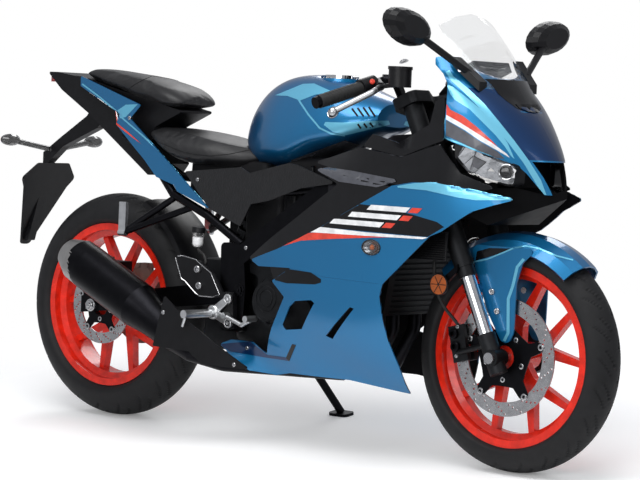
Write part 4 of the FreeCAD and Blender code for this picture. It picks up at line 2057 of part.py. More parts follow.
def foot_levers():
    """The rear brake's pedal on the right and the gear lever on the left."""
    levers = []
    for side in (-1, 1):
        root = vec(PEDAL_ROOT[0], side * (BRACKET_INNER + BRACKET_THICKNESS + PEG_RADIUS), PEDAL_ROOT[1])
        knee = vec(PEDAL_KNEE[0], root.y, PEDAL_KNEE[1])
        tip = vec(PEDAL_TIP[0], root.y, PEDAL_TIP[1])
        arm = jointed_rod([root, knee, tip], PEDAL_RADIUS)
        pad = rod(tip - vec(0, side * PEDAL_BOSS, 0), tip + vec(0, side * PEDAL_PAD, 0), PEDAL_BOSS)
        face = vec(root.x, side * (BRACKET_INNER + BRACKET_THICKNESS), root.z)
        boss = rod(face, root + vec(0, side * PEDAL_BOSS, 0), PEDAL_BOSS)
        levers.append(fused([arm, pad, boss]))
    return Part.makeCompound(levers)


def chain_guard():
    """A guard over the chain's upper run, on the left arm."""
    outline = [
        (CHAIN_GUARD_REAR_X, CHAIN_GUARD_REAR_Z),
        (CHAIN_GUARD_FRONT_X, CHAIN_GUARD_FRONT_Z),
        (CHAIN_GUARD_FRONT_X, CHAIN_GUARD_FRONT_Z - CHAIN_GUARD_HEIGHT),
        (CHAIN_GUARD_REAR_X, CHAIN_GUARD_REAR_Z - CHAIN_GUARD_HEIGHT),
    ]
    return plate(outline, ARM_INNER + ARM_THICKNESS, ARM_INNER + ARM_THICKNESS + PANEL_THICKNESS)


def stand_vectors():
    down = vec(*STAND_DOWN)
    down.normalize()
    up = vec(*STAND_UP)
    up.normalize()
    axis = down.cross(up)
    axis.normalize()
    return down, axis


def lean_radians():
    return math.radians(LEAN_ANGLE)


def pitch_radians():
    """How far the nose tips when the lean rolls both tyres onto their shoulders."""
    drop = 1 - 1 / math.cos(lean_radians())
    return (FRONT_TYRE_WIDTH - REAR_TYRE_WIDTH) / 2 * drop / WHEELBASE


def ground_height():
    """How far the rear axle's ground point rises as the machine leans over."""
    crown = REAR_TYRE_WIDTH / 2
    rise = (REAR_TYRE_RADIUS - crown) * math.cos(lean_radians()) + crown
    return rise - REAR_TYRE_RADIUS * math.cos(lean_radians())


def floor_distance(point, direction):
    """How far along a direction the leaned floor lies from a point of the upright bike."""
    lean = lean_radians()
    up = vec(-math.sin(pitch_radians()) * math.cos(lean), -math.sin(lean), math.cos(lean))
    height = point.dot(up) + ground_height()
    return -height / direction.dot(up), up


def side_stand():
    """The stand's leg and foot, swung down on a tongue between the frame's ears."""
    down, axis = stand_vectors()
    pivot = placed(STAND_PIVOT, 1)
    reach, up = floor_distance(pivot, down)
    foot_top = pivot + down * (reach - STAND_FOOT_THICKNESS / abs(down.dot(up)))
    leg = rod(pivot + down * (STAND_LUG_RADIUS + STAND_GAP), foot_top, STAND_LEG_RADIUS)
    half = STAND_LUG_THICKNESS / 2
    tongue = stand_slab(pivot, down, STAND_TONGUE_LENGTH, axis, -half, half)
    forward = vec(1, 0, 0) - up * up.x
    forward.normalize()
    across = up.cross(forward)
    corners = []
    for share_f, share_a in ((-0.5, -0.5), (0.5, -0.5), (0.5, 0.5), (-0.5, 0.5)):
        reach_f = forward * (share_f * STAND_FOOT_LENGTH)
        corners.append(foot_top + reach_f + across * (share_a * STAND_FOOT_WIDTH))
    foot = Part.Face(rounded_wire(corners, PLATE_ROUNDING)).extrude(up * -STAND_FOOT_THICKNESS)
    return fused([leg, tongue, foot])


def stand_slab(pivot, toward, length, axis, low, high):
    """A slab with a round end about the stand's axis, from one distance along it to another."""
    width = axis.cross(toward)
    width.normalize()
    base = pivot + axis * low
    half = STAND_LUG_RADIUS
    corners = [
        base - width * half,
        base - width * half + toward * length,
        base + width * half + toward * length,
        base + width * half,
    ]
    slab = Part.Face(Part.makePolygon(corners + corners[:1])).extrude(axis * (high - low))
    return fused([slab, rod(base, base + axis * (high - low), half)])


def stand_bracket():
    """Two ears either side of the stand's tongue, joined above it under the left pivot plate."""
    down, axis = stand_vectors()
    pivot = placed(STAND_PIVOT, 1)
    upward = vec(0, 0, 1) - axis * axis.z
    upward.normalize()
    gap = STAND_LUG_THICKNESS / 2 + PIN_CLEARANCE
    outer = gap + STAND_LUG_THICKNESS
    whole = stand_slab(pivot, upward, STAND_EAR_REACH, axis, -outer, outer)
    room = rod(pivot - axis * gap, pivot + axis * gap, STAND_ROOM_RADIUS)
    slot = stand_slab(pivot, down, STAND_TONGUE_LENGTH, axis, -gap, gap)
    return whole.cut(room).cut(slot)


# The whole machine


def build():
    """Every node's shape by name, upright."""
    return {
        "frame": made(frame),
        "swingarm": made(swingarm),
        "rear_shock": made(rear_shock),
        "rear_axle": made(rear_axle),
        "rear_caliper": made(rear_caliper),
        "drive_chain": Part.makeCompound([drive_chain(), front_sprocket()]),
        "chain_guard": made(chain_guard),
        "engine_block": made(engine_block),
        "engine_covers": Part.makeCompound([clutch_cover(), generator_cover()]),
        "radiator": made(radiator),
        "exhaust_pipe": made(exhaust_pipe),
        "muffler": made(muffler),
        "muffler_cap": made(muffler_cap),
        "exhaust_cover": made(exhaust_cover),
        "side_cowls": made(side_cowls),
        "front_indicators": made(front_indicators),
        "lower_cowls": made(lower_cowls),
        "flank_liners": Part.makeCompound([rear_panels(), inner_strips()]),
        "upper_panels": made(upper_panels),
        "front_cowl": made(front_cowl),
        "nose_chin": made(nose_chin),
        "headlamps": made(headlamps),
        "windscreen": made(windscreen),
        "mirrors": made(mirrors),
        "instrument": made(instrument),
        "fuel_tank": made(fuel_tank),
        "fuel_cap": made(fuel_cap),
        "rider_seat": made(rider_seat),
        "passenger_seat": made(passenger_seat),
        "tail_cowl": made(tail_cowl),
        "tail_underside": Part.makeCompound([made(seat_hump), made(undertail)]),
        "side_covers": made(side_covers),
        "plate_holder": made(plate_holder),
        "rear_lamps": Part.makeCompound([rear_indicators(), made(tail_lamp)]),
        "foot_brackets": made(foot_brackets),
        "foot_controls": Part.makeCompound([rider_pegs(), foot_levers()]),
        "pillion_brackets": made(pillion_brackets),
        "pillion_peg_right": pillion_peg(-1),
        "pillion_peg_left": pillion_peg(1),
        "side_stand": made(side_stand),
        "fork_outer_tubes": made(fork_outer_tubes),
        "fork_inner_tubes": made(fork_inner_tubes),
        "fork_feet": made(fork_feet),
        "triple_clamps": made(triple_clamps),
        "handlebars": made(handlebars),
        "grips": made(grips),
        "hand_controls": Part.makeCompound([switches(), hand_levers().fuse(brake_reservoir())]),
        "front_fender": made(front_fender),
        "front_caliper": made(front_caliper),
        "reflectors": made(reflectors),
        "front_axle": made(front_axle),
        "front_rim": made(front_rim),
        "front_tyre": made(front_tyre),
        "front_disc": made(front_disc),
        "rear_rim": made(rear_rim),
        "rear_tyre": made(rear_tyre),
        "rear_disc": made(rear_disc),
        "rear_sprocket": made(rear_sprocket),
    }


def lean_placement():
    """The turn and lift that set the machine down on its tyres and its stand."""
    lean = FreeCAD.Rotation(vec(1, 0, 0), -LEAN_ANGLE)
    pitch = FreeCAD.Rotation(vec(0, 1, 0), math.degrees(pitch_radians()))
    return FreeCAD.Placement(vec(0, 0, ground_height()), lean.multiply(pitch))


def main():
    os.makedirs("parts", exist_ok=True)
    pieces = build()
    placement = lean_placement()
    box = FreeCAD.BoundBox()
    for name in pieces:
        pieces[name] = pieces[name].copy()
        pieces[name].transformShape(placement.toMatrix())
        box.add(pieces[name].optimalBoundingBox(False, False))
    centre = vec(-(box.XMin + box.XMax) / 2, -(box.YMin + box.YMax) / 2, 0)
    for name, shape in pieces.items():
        shape.translate(centre)
        shape.exportStep("parts/" + name + ".step")


main()
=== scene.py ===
import math

import bmesh
import bpy
from mathutils import Matrix, Vector
from mathutils.bvhtree import BVHTree


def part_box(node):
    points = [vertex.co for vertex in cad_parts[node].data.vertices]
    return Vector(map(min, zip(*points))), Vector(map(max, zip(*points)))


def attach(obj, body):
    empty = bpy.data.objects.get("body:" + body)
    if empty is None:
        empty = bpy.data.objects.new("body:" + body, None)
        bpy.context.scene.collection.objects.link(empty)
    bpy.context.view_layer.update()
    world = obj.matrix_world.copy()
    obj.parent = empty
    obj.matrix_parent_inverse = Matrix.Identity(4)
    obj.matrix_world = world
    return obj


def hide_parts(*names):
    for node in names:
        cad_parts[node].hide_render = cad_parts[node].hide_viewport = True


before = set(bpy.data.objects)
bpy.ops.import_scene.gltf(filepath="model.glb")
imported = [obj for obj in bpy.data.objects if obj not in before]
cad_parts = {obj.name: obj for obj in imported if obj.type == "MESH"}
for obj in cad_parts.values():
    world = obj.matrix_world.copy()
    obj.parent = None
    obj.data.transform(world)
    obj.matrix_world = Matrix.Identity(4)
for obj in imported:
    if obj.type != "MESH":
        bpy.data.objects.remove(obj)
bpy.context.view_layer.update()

# The machine is drawn upright in millimetres, X forward from the rear axle, and leaned over by this matrix
WHEELBASE = 1380.0
REAR_RADIUS = 314.0
FRONT_RADIUS = 293.0
LEAN = math.radians(8.5)
PITCH = (110.0 - 140.0) / 2 * (1 - 1 / math.cos(LEAN)) / WHEELBASE
LIFT = (REAR_RADIUS - 70.0) * math.cos(LEAN) + 70.0 - REAR_RADIUS * math.cos(LEAN)


def resting_matrix():
    """Upright millimetres to the row's metres; the sideways shift is read off the front tyre's box."""
    turn = Matrix.Rotation(-LEAN, 4, "X") @ Matrix.Rotation(PITCH, 4, "Y")
    lean = Matrix.Translation((0, 0, LIFT)) @ turn
    low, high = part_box("front_tyre")
    hub = lean @ Vector((WHEELBASE, 0, FRONT_RADIUS))
    middle = (Vector(low) + Vector(high)) * 500
    shift = Matrix.Translation((middle.x - hub.x, middle.y - hub.y, 0))
    return Matrix.Scale(0.001, 4) @ shift @ lean


REST = resting_matrix()
UPRIGHT = REST.inverted()


# Materials


class Paint:
    """A principled material with helpers for its noise, bump and colour."""

    def __init__(self, name, colour, rough=0.5, metal=0.0, coat=0.0, coat_rough=0.03, specular=0.5, ior=1.5):
        self.mat = bpy.data.materials.new(name)
        self.mat.use_nodes = True
        self.nodes = self.mat.node_tree.nodes
        self.links = self.mat.node_tree.links
        self.bsdf = self.nodes["Principled BSDF"]
        self.colour = colour
        self.rough = rough
        self.set("Base Color", (*colour, 1))
        self.set("Roughness", rough)
        self.set("Metallic", metal)
        self.set("Coat Weight", coat)
        self.set("Coat Roughness", coat_rough)
        self.set("Specular IOR Level", specular)
        self.set("IOR", ior)
        self.coords = self.nodes.new("ShaderNodeTexCoord")
        self.height = None

    def set(self, socket, value):
        self.bsdf.inputs[socket].default_value = value

    def noise(self, scale, detail=3.0, stretch=(1, 1, 1)):
        mapping = self.nodes.new("ShaderNodeMapping")
        mapping.inputs["Scale"].default_value = stretch
        noise = self.nodes.new("ShaderNodeTexNoise")
        noise.inputs["Scale"].default_value = scale
        noise.inputs["Detail"].default_value = detail
        self.links.new(self.coords.outputs["Object"], mapping.inputs["Vector"])
        self.links.new(mapping.outputs["Vector"], noise.inputs["Vector"])
        return noise.outputs["Fac"]

    def cells(self, scale, stretch=(1, 1, 1)):
        mapping = self.nodes.new("ShaderNodeMapping")
        mapping.inputs["Scale"].default_value = stretch
        cells = self.nodes.new("ShaderNodeTexVoronoi")
        cells.inputs["Scale"].default_value = scale
        self.links.new(self.coords.outputs["Object"], mapping.inputs["Vector"])
        self.links.new(mapping.outputs["Vector"], cells.inputs["Vector"])
        return cells.outputs["Distance"]

    def ramp(self, factor, stops):
        ramp = self.nodes.new("ShaderNodeValToRGB")
        ramp.color_ramp.elements[0].position = stops[0][0]
        ramp.color_ramp.elements[0].color = (*stops[0][1], 1)
        ramp.color_ramp.elements[1].position = stops[-1][0]
        ramp.color_ramp.elements[1].color = (*stops[-1][1], 1)
        for place, colour in stops[1:-1]:
            ramp.color_ramp.elements.new(place).color = (*colour, 1)
        self.links.new(factor, ramp.inputs["Fac"])
        return ramp.outputs["Color"]

    def vary(self, scale, amount, stretch=(1, 1, 1)):
        """Colour that drifts a little lighter and darker."""
        dark = tuple(c * (1 - amount) for c in self.colour)
        light = tuple(min(1.0, c * (1 + amount)) for c in self.colour)
        colour = self.ramp(self.noise(scale, 4.0, stretch), [(0.3, dark), (0.7, light)])
        self.links.new(colour, self.bsdf.inputs["Base Color"])
        return self

    def wear(self, scale, spread, stretch=(1, 1, 1)):
        """Roughness that varies about its value."""
        span = self.nodes.new("ShaderNodeMapRange")
        span.inputs["To Min"].default_value = max(0.02, self.rough - spread)
        span.inputs["To Max"].default_value = min(1.0, self.rough + spread)
        self.links.new(self.noise(scale, 5.0, stretch), span.inputs["Value"])
        self.links.new(span.outputs["Result"], self.bsdf.inputs["Roughness"])
        return self

    def bump(self, factor, depth, strength=1.0):
        """Adds a relief of that depth in millimetres, on top of any before it."""
        bump = self.nodes.new("ShaderNodeBump")
        bump.inputs["Strength"].default_value = strength
        bump.inputs["Distance"].default_value = depth / 1000
        self.links.new(factor, bump.inputs["Height"])
        if self.height is not None:
            self.links.new(self.height, bump.inputs["Normal"])
        self.height = bump.outputs["Normal"]
        self.links.new(self.height, self.bsdf.inputs["Normal"])
        return self


def flake(name, colour, deep, rough=0.28):
    """Metallic paint under clear coat, with fine flakes and a deeper shade at its edges."""
    paint = Paint(name, colour, rough, metal=0.5, coat=0.6, coat_rough=0.05, specular=0.35)
    facing = paint.nodes.new("ShaderNodeLayerWeight")
    facing.inputs["Blend"].default_value = 0.45
    shade = paint.ramp(facing.outputs["Facing"], [(0.0, colour), (0.9, deep)])
    grain = paint.ramp(paint.noise(2600.0, 1.0), [(0.35, (0.93, 0.95, 0.96)), (0.65, (1.0, 1.0, 1.0))])
    mix = paint.nodes.new("ShaderNodeMix")
    mix.data_type = "RGBA"
    mix.blend_type = "MULTIPLY"
    mix.inputs["Factor"].default_value = 0.8
    paint.links.new(shade, mix.inputs["A"])
    paint.links.new(grain, mix.inputs["B"])
    paint.links.new(mix.outputs["Result"], paint.bsdf.inputs["Base Color"])
    paint.bump(paint.noise(900.0, 2.0), 0.01, 0.08)
    return paint.mat


def plastic(name, colour, rough, grain=900.0, depth=0.05, coat=0.0, specular=0.5):
    """Paint, plastic or rubber with a fine grain."""
    paint = Paint(name, colour, rough, coat=coat, specular=specular).vary(40.0, 0.2)
    paint.wear(35.0, 0.06)
    paint.bump(paint.noise(grain, 3.0), depth, 0.4)
    return paint.mat


def metal(name, colour, rough, stretch=(1, 1, 1), grain=400.0, depth=0.03):
    """Bare or coated metal; a stretch draws its grain out along an axis."""
    paint = Paint(name, colour, rough, metal=1.0).vary(50.0, 0.12, stretch)
    paint.wear(120.0, 0.08, stretch)
    paint.bump(paint.noise(grain, 4.0, stretch), depth, 0.4)
    return paint.mat


def lens(name, colour, rough=0.03, alpha=0.35):
    """Clear or tinted lamp glass and screen."""
    paint = Paint(name, colour, rough, coat=0.5)
    paint.set("Transmission Weight", 0.85)
    paint.set("Alpha", alpha)
    paint.wear(30.0, 0.02)
    paint.bump(paint.noise(60.0, 2.0), 0.02, 0.3)
    return paint.mat


def carbon_texture(name):
    """Black plastic with a fine raised diamond texture."""
    paint = Paint(name, (0.009, 0.009, 0.010), 0.38, specular=0.4).vary(60.0, 0.2)
    paint.bump(paint.cells(210.0, stretch=(1, 1, 0.6)), 0.7, 1.0)
    paint.bump(paint.noise(1200.0, 2.0), 0.04, 0.4)
    return paint.mat


BLUE = flake("blue_flake", (0.010, 0.215, 0.470), (0.001, 0.034, 0.125))
# A light cyan used only as painted highlight on the blue panels' lit facets and edges.
HIGHLIGHT_CYAN = flake("painted_highlight_flake", (0.200, 0.640, 0.860), (0.060, 0.330, 0.560))
# A deep navy used as painted shade: the nose's front face and the cowls' vent channel.
SHADE_NAVY = flake("painted_shade_flake", (0.001, 0.036, 0.135), (0.0005, 0.008, 0.035), 0.3)
BLACK_GLOSS = plastic("black_gloss", (0.004, 0.004, 0.005), 0.16, depth=0.01, coat=0.1, specular=0.35)
BLACK_SATIN = plastic("black_satin", (0.005, 0.005, 0.006), 0.40, depth=0.05, specular=0.25)
BLACK_DEEP = plastic("black_deep", (0.003, 0.003, 0.0035), 0.5, depth=0.05, specular=0.06)
BLACK_MATT = plastic("black_matt", (0.006, 0.006, 0.007), 0.62, depth=0.08, specular=0.2)
GREY_GLOSS = plastic("grey_gloss", (0.075, 0.078, 0.092), 0.25, depth=0.01, coat=0.4)
WHITE_FILM = plastic("white_film", (0.86, 0.87, 0.88), 0.22, depth=0.01, coat=0.6)
RED_FILM = plastic("red_film", (0.72, 0.050, 0.025), 0.22, depth=0.01, coat=0.6)
TEXTURED = carbon_texture("textured_black")
RED_WHEEL = plastic("red_wheel", (0.74, 0.022, 0.008), 0.25, depth=0.02, coat=0.3, specular=0.35)
BLACK_METAL = metal("black_metal", (0.012, 0.012, 0.014), 0.38)
DARK_CAST = metal("dark_cast", (0.026, 0.027, 0.029), 0.5, grain=700.0, depth=0.12)
SILVER_CAST = metal("silver_cast", (0.66, 0.67, 0.68), 0.34, grain=600.0, depth=0.08)
STEEL = metal("steel", (0.50, 0.50, 0.51), 0.25)
BRUSHED = metal("brushed", (0.42, 0.41, 0.40), 0.32, (30, 1, 1), grain=300.0)
CHROME = metal("chrome", (0.66, 0.67, 0.69), 0.09, depth=0.005)
REFLECTOR = metal("lamp_bowl", (0.17, 0.175, 0.185), 0.24, grain=90.0, depth=0.8)
CHAIN_STEEL = metal("chain_steel", (0.20, 0.18, 0.15), 0.38)
TYRE_RUBBER = plastic("tyre_rubber", (0.009, 0.009, 0.010), 0.62, grain=1400.0, depth=0.06, specular=0.3)
SOFT_RUBBER = plastic("soft_rubber", (0.008, 0.008, 0.008), 0.6, grain=800.0, depth=0.1)
HEADLIGHT = lens("headlight_lens", (0.30, 0.31, 0.33), alpha=0.14)
SCREEN = lens("screen_clear", (0.36, 0.40, 0.44), 0.02, 0.16)
AMBER = plastic("amber", (0.42, 0.085, 0.006), 0.15, depth=0.02, coat=0.3)
SMOKED = lens("smoked_lens", (0.03, 0.03, 0.03), 0.05, 0.9)
CLEAR_LENS = lens("clear_lens", (0.9, 0.9, 0.9), 0.03, 0.2)
RED_LENS = lens("red_lens", (0.5, 0.01, 0.01), 0.05, 0.85)
MIRROR_GLASS = metal("mirror_glass", (0.80, 0.81, 0.82), 0.03, depth=0.001)


def leather():
    paint = Paint("seat_vinyl", (0.009, 0.009, 0.010), 0.46).vary(25.0, 0.2)
    paint.wear(20.0, 0.08)
    paint.bump(paint.cells(420.0), 0.12, 0.5)
    paint.bump(paint.noise(1500.0, 3.0), 0.05, 0.4)
    return paint.mat


SEAT = leather()

NODE_MATERIALS = {
    BLUE: ["side_cowls", "lower_cowls", "front_cowl", "fuel_tank", "tail_cowl", "front_fender"],
    BLACK_GLOSS: ["upper_panels", "flank_liners"],
    BLACK_SATIN: [
        "mirrors", "plate_holder", "tail_underside", "hand_controls", "exhaust_cover", "instrument",
    ],
    BLACK_MATT: ["chain_guard"],
    TEXTURED: ["side_covers"],
    BLACK_METAL: [
        "frame", "swingarm", "side_stand", "pillion_brackets", "muffler", "exhaust_pipe", "handlebars",
    ],
    DARK_CAST: [
        "engine_block", "engine_covers", "triple_clamps", "fork_feet", "fork_outer_tubes", "radiator",
        "front_caliper", "rear_caliper", "rear_shock",
    ],
    SILVER_CAST: ["foot_brackets", "foot_controls", "pillion_peg_right", "pillion_peg_left"],
    STEEL: ["front_axle", "rear_axle", "front_disc", "rear_disc"],
    BRUSHED: ["muffler_cap"],
    CHROME: ["fork_inner_tubes", "fuel_cap"],
    CHAIN_STEEL: ["drive_chain", "rear_sprocket"],
    RED_WHEEL: ["front_rim", "rear_rim"],
    TYRE_RUBBER: ["front_tyre", "rear_tyre"],
    SOFT_RUBBER: ["grips"],
    HEADLIGHT: ["headlamps"],
    SCREEN: ["windscreen"],
    BLACK_DEEP: ["nose_chin"],
    AMBER: ["reflectors"],
    CLEAR_LENS: ["front_indicators"],
    SMOKED: ["rear_lamps"],
    SEAT: ["rider_seat", "passenger_seat"],
}


def dress_nodes():
    """Gives each CAD piece its material."""
    for material, names in NODE_MATERIALS.items():
        for name in names:
            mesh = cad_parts[name].data
            mesh.materials.clear()
            mesh.materials.append(material)


dress_nodes()


# Making pieces


def finish_piece(name, mesh, material, body, crease=35.0, bevel=0.0):
    """Turns a mesh in the row frame into a piece that rides on a body."""
    mesh.shade_smooth()
    mesh.set_sharp_from_angle(angle=math.radians(crease))
    mesh.materials.append(material)
    thing = bpy.data.objects.new(name, mesh)
    bpy.context.scene.collection.objects.link(thing)
    if bevel:
        edge = thing.modifiers.new("edge", "BEVEL")
        edge.width = bevel / 1000
        edge.segments = 2
        edge.limit_method = "ANGLE"
    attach(thing, body)
    return thing


def across(axis):
    """Two directions square to an axis and to each other."""
    axis = Vector(axis).normalized()
    side = axis.orthogonal().normalized()
    return side, axis.cross(side)


def smooth_run(points, steps):
    """Points on a smooth curve through the given ones."""
    points = [Vector(p) for p in points]
    if steps < 2 or len(points) < 3:
        return points
    ends = [points[0] * 2 - points[1]] + points + [points[-1] * 2 - points[-2]]
    run = []
    for i in range(len(points) - 1):
        a, b, c, d = ends[i:i + 4]
        for k in range(steps):
            t = k / steps
            run.append((b * 2 + (c - a) * t + (a * 2 - b * 5 + c * 4 - d) * t ** 2
                        + (b * 3 - a - c * 3 + d) * t ** 3) / 2)
    return run + [points[-1]]


class Shape:
    """Faces gathered in upright millimetres until they are made into one piece."""

    def __init__(self):
        self.verts = []
        self.faces = []

    def add(self, verts, faces):
        first = len(self.verts)
        self.verts.extend(Vector(v) for v in verts)
        self.faces.extend([first + i for i in face] for face in faces)

    def rings(self, loops, caps=True, around=True):
        """Joins loops of equal length, one after the other."""
        count = len(loops[0])
        faces = []
        for i in range(len(loops) - 1):
            for j in range(count if around else count - 1):
                k = (j + 1) % count
                faces.append([i * count + j, i * count + k, (i + 1) * count + k, (i + 1) * count + j])
        if caps:
            faces.append(list(range(count)))
            faces.append([(len(loops) - 1) * count + j for j in range(count)])
        self.add([p for loop in loops for p in loop], faces)

    def turned(self, centre, axis, profile, steps=24, caps=True):
        """A turned form, from pairs of radius and distance along an axis."""
        centre, axis = Vector(centre), Vector(axis).normalized()
        side, up = across(axis)
        loops = []
        for radius, along in profile:
            loop = []
            for i in range(steps):
                angle = 2 * math.pi * i / steps
                loop.append(centre + axis * along + (side * math.cos(angle) + up * math.sin(angle)) * radius)
            loops.append(loop)
        self.rings(loops, caps)

    def tube(self, points, radius, steps=10, smooth=6):
        """A round tube along a smooth run of points."""
        run = smooth_run(points, smooth)
        side, up = across(run[1] - run[0])
        loops = []
        for i, point in enumerate(run):
            along = (run[min(i + 1, len(run) - 1)] - run[max(i - 1, 0)]).normalized()
            side = (side - along * side.dot(along)).normalized()
            up = along.cross(side)
            angles = [2 * math.pi * k / steps for k in range(steps)]
            loops.append([point + (side * math.cos(a) + up * math.sin(a)) * radius for a in angles])
        self.rings(loops)

    def slab(self, outline, depth):
        """A flat outline given some depth along a direction."""
        low = [Vector(p) for p in outline]
        self.rings([low, [p + Vector(depth) for p in low]])

    def bolt(self, place, normal, radius, height=None):
        """A socket-headed bolt standing on a surface."""
        height = height or radius * 0.8
        profile = [(radius, -height), (radius, height * 0.8), (radius * 0.85, height), (radius * 0.5, height)]
        profile.append((radius * 0.45, height * 0.2))
        self.turned(place, normal, profile, 16)

    def nut(self, place, normal, radius, height=None):
        """A six-sided nut with a stud's end in it."""
        height = height or radius * 0.7
        washer = [(radius * 1.25, 0), (radius * 1.25, height * 0.2), (radius * 1.2, height * 0.25)]
        flats = [(radius, 0), (radius, height * 0.9), (radius * 0.9, height)]
        stud = [(radius * 0.5, 0), (radius * 0.5, height * 1.3), (radius * 0.4, height * 1.4)]
        self.turned(place, normal, washer)
        self.turned(place, normal, flats, 6)
        self.turned(place, normal, stud, 12)

    def both_sides(self):
        """Adds the same again on the other side."""
        self.add([(v.x, -v.y, v.z) for v in self.verts], [list(face) for face in self.faces])
        return self

    def make(self, name, material, body, crease=35.0, bevel=0.0):
        """One piece from all the faces, leaned over into the row frame."""
        mesh = bpy.data.meshes.new(name)
        mesh.from_pydata([REST @ v for v in self.verts], [], self.faces)
        work = bmesh.new()
        work.from_mesh(mesh)
        bmesh.ops.recalc_face_normals(work, faces=work.faces[:])
        work.to_mesh(mesh)
        work.free()
        return finish_piece(name, mesh, material, body, crease, bevel)


TREES = {}
PADS = {}
VIEW_RIGHT_Y = -700
VIEW_FRONT_X = 2200
VIEW_REAR_X = -900
VIEW_TOP_Z = 1500


def surface(*nodes):
    """The nodes' surface in upright millimetres, for casting onto; a finished pad stands in for its node."""
    if nodes not in TREES:
        verts, faces = [], []
        for node in nodes:
            thing = PADS.get(node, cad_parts[node])
            mesh = thing.data
            world = UPRIGHT @ thing.matrix_world
            first = len(verts)
            verts.extend(world @ v.co for v in mesh.vertices)
            faces.extend([first + i for i in p.vertices] for p in mesh.polygons)
        TREES[nodes] = BVHTree.FromPolygons(verts, faces)
    return TREES[nodes]


def from_right(x, z):
    return Vector((x, VIEW_RIGHT_Y, z)), Vector((0, 1, 0))


def from_front(y, z):
    return Vector((VIEW_FRONT_X, y, z)), Vector((-1, 0, 0))


def from_rear(y, z):
    return Vector((VIEW_REAR_X, y, z)), Vector((1, 0, 0))


def from_top(x, y):
    return Vector((x, y, VIEW_TOP_Z)), Vector((0, 0, -1))


# The photograph's camera, in the upright machine's millimetres
EYE = Vector((5193.1, -5422.3, 887.8))
AZIMUTH = math.radians(39.53)
ELEVATION = math.radians(2.82)
ROLL = math.radians(2.48)
LENS = 148.83
SENSOR = 36.0
PHOTO_WIDTH = 640
PHOTO_MIDDLE = (320, 240)


def eye_axes():
    """The camera's sideways, upward and backward directions."""
    flat = math.cos(ELEVATION)
    back = Vector((math.sin(AZIMUTH) * flat, -math.cos(AZIMUTH) * flat, math.sin(ELEVATION)))
    right = Vector((0, 0, 1)).cross(back).normalized()
    up = back.cross(right)
    side = right * math.cos(ROLL) + up * math.sin(ROLL)
    rise = up * math.cos(ROLL) - right * math.sin(ROLL)
    return side, rise, back


def from_eye(u, v):
    """The ray through a pixel of the photograph."""
    side, rise, back = eye_axes()
    scale = SENSOR / LENS / PHOTO_WIDTH
    across_photo = side * (u - PHOTO_MIDDLE[0]) * scale
    return EYE, (across_photo - rise * (v - PHOTO_MIDDLE[1]) * scale - back).normalized()


def cast(view, point, nodes):
    """Where a view's ray first meets the nodes, with the surface's outward normal."""
    start, aim = view(*point)
    place, normal, _, _ = surface(*nodes).ray_cast(start, aim)
    if place is None:
        return None, None
    if normal.dot(aim) > 0:
        normal = -normal
    return place, normal


def nearest(point, aim, nodes, far=30):
    """The surface's nearest place to a point that a ray missed, with the normal turned to the viewer."""
    place, normal, _, _ = surface(*nodes).find_nearest(point, far)
    if place is None:
        return None, None
    return place, -normal if normal.dot(aim) > 0 else normal


DEPTHS = range(0, 9000, 20)


def closest_depth(view, point, nodes):
    """How far along a view's ray the nodes come nearest to it."""
    start, aim = view(*point)
    return min(DEPTHS, key=lambda depth: surface(*nodes).find_nearest(start + aim * depth)[3])


def settled(view, point, nodes, depth, jump):
    """A point's place on the nodes: where its ray meets them near a depth, or else the nearest place."""
    start, aim = view(*point)
    place, normal = cast(view, point, nodes)
    if place is None or abs((place - start).length - depth) > jump:
        place, normal = nearest(start + aim * depth, aim, nodes)
    return place, normal


def film(name, outline, view, nodes, material, body="chassis", lift=0.6, cell=3.0, mirror=True, jump=30):
    """A thin film on a surface: an outline in a view, cut into cells and settled from its middle outwards."""
    work = bmesh.new()
    work.faces.new([work.verts.new((u, v, 0)) for u, v in outline])
    for axis in (0, 1):
        values = [p[axis] for p in outline]
        place = math.floor(min(values) / cell) * cell + cell
        while place < max(values):
            normal = (1, 0, 0) if axis == 0 else (0, 1, 0)
            everything = work.verts[:] + work.edges[:] + work.faces[:]
            origin = [n * place for n in normal]
            bmesh.ops.bisect_plane(work, geom=everything, plane_co=origin, plane_no=normal)
            place += cell
    work.verts.index_update()
    flat = {vert: tuple(vert.co.xy) for vert in work.verts}
    middle = Vector([sum(p[k] for p in outline) / len(outline) for k in (0, 1)])
    order = sorted(work.verts, key=lambda vert: (vert.co.xy - middle).length)
    first = next((vert for vert in order if cast(view, flat[vert], nodes)[0] is not None), order[0])
    hit = cast(view, flat[first], nodes)[0]
    depth = closest_depth(view, flat[first], nodes) if hit is None else (hit - view(*flat[first])[0]).length
    depths, queue, lost = {first: depth}, [first], []
    for vert in queue:
        place, normal = settled(view, flat[vert], nodes, depths[vert], jump)
        if place is None:
            lost.append(vert)
        else:
            depths[vert] = (place - view(*flat[vert])[0]).length
            vert.co = place + normal * lift
        for edge in vert.link_edges:
            other = edge.other_vert(vert)
            if other not in depths:
                depths[other] = depths[vert]
                queue.append(other)
    bmesh.ops.delete(work, geom=lost, context="VERTS")
    work.verts.index_update()
    shape = Shape()
    shape.add([v.co for v in work.verts], [[v.index for v in f.verts] for f in work.faces])
    work.free()
    if mirror:
        shape.both_sides()
    return shape.make(name, material, body, crease=60)


def band(points, width):
    """The outline of a strip along a run of points in a view."""
    left, right = [], []
    for i, point in enumerate(points):
        before, after = Vector(points[max(i - 1, 0)]), Vector(points[min(i + 1, len(points) - 1)])
        along = (after - before).normalized()
        half = Vector((-along.y, along.x)) * width / 2
        left.append(tuple(Vector(point) + half))
        right.append(tuple(Vector(point) - half))
    return left + right[::-1]


RUN_JUMP = 40


def run_on(points, view, nodes, lift):
    """The places where a run of points in a view meets the nodes."""
    places, depth = [], None
    for point in points:
        place, normal = cast(view, point, nodes)
        if depth is not None:
            place, normal = settled(view, point, nodes, depth, RUN_JUMP)
        if place is not None:
            depth = (place - view(*point)[0]).length
            places.append(place + normal * lift)
    return places


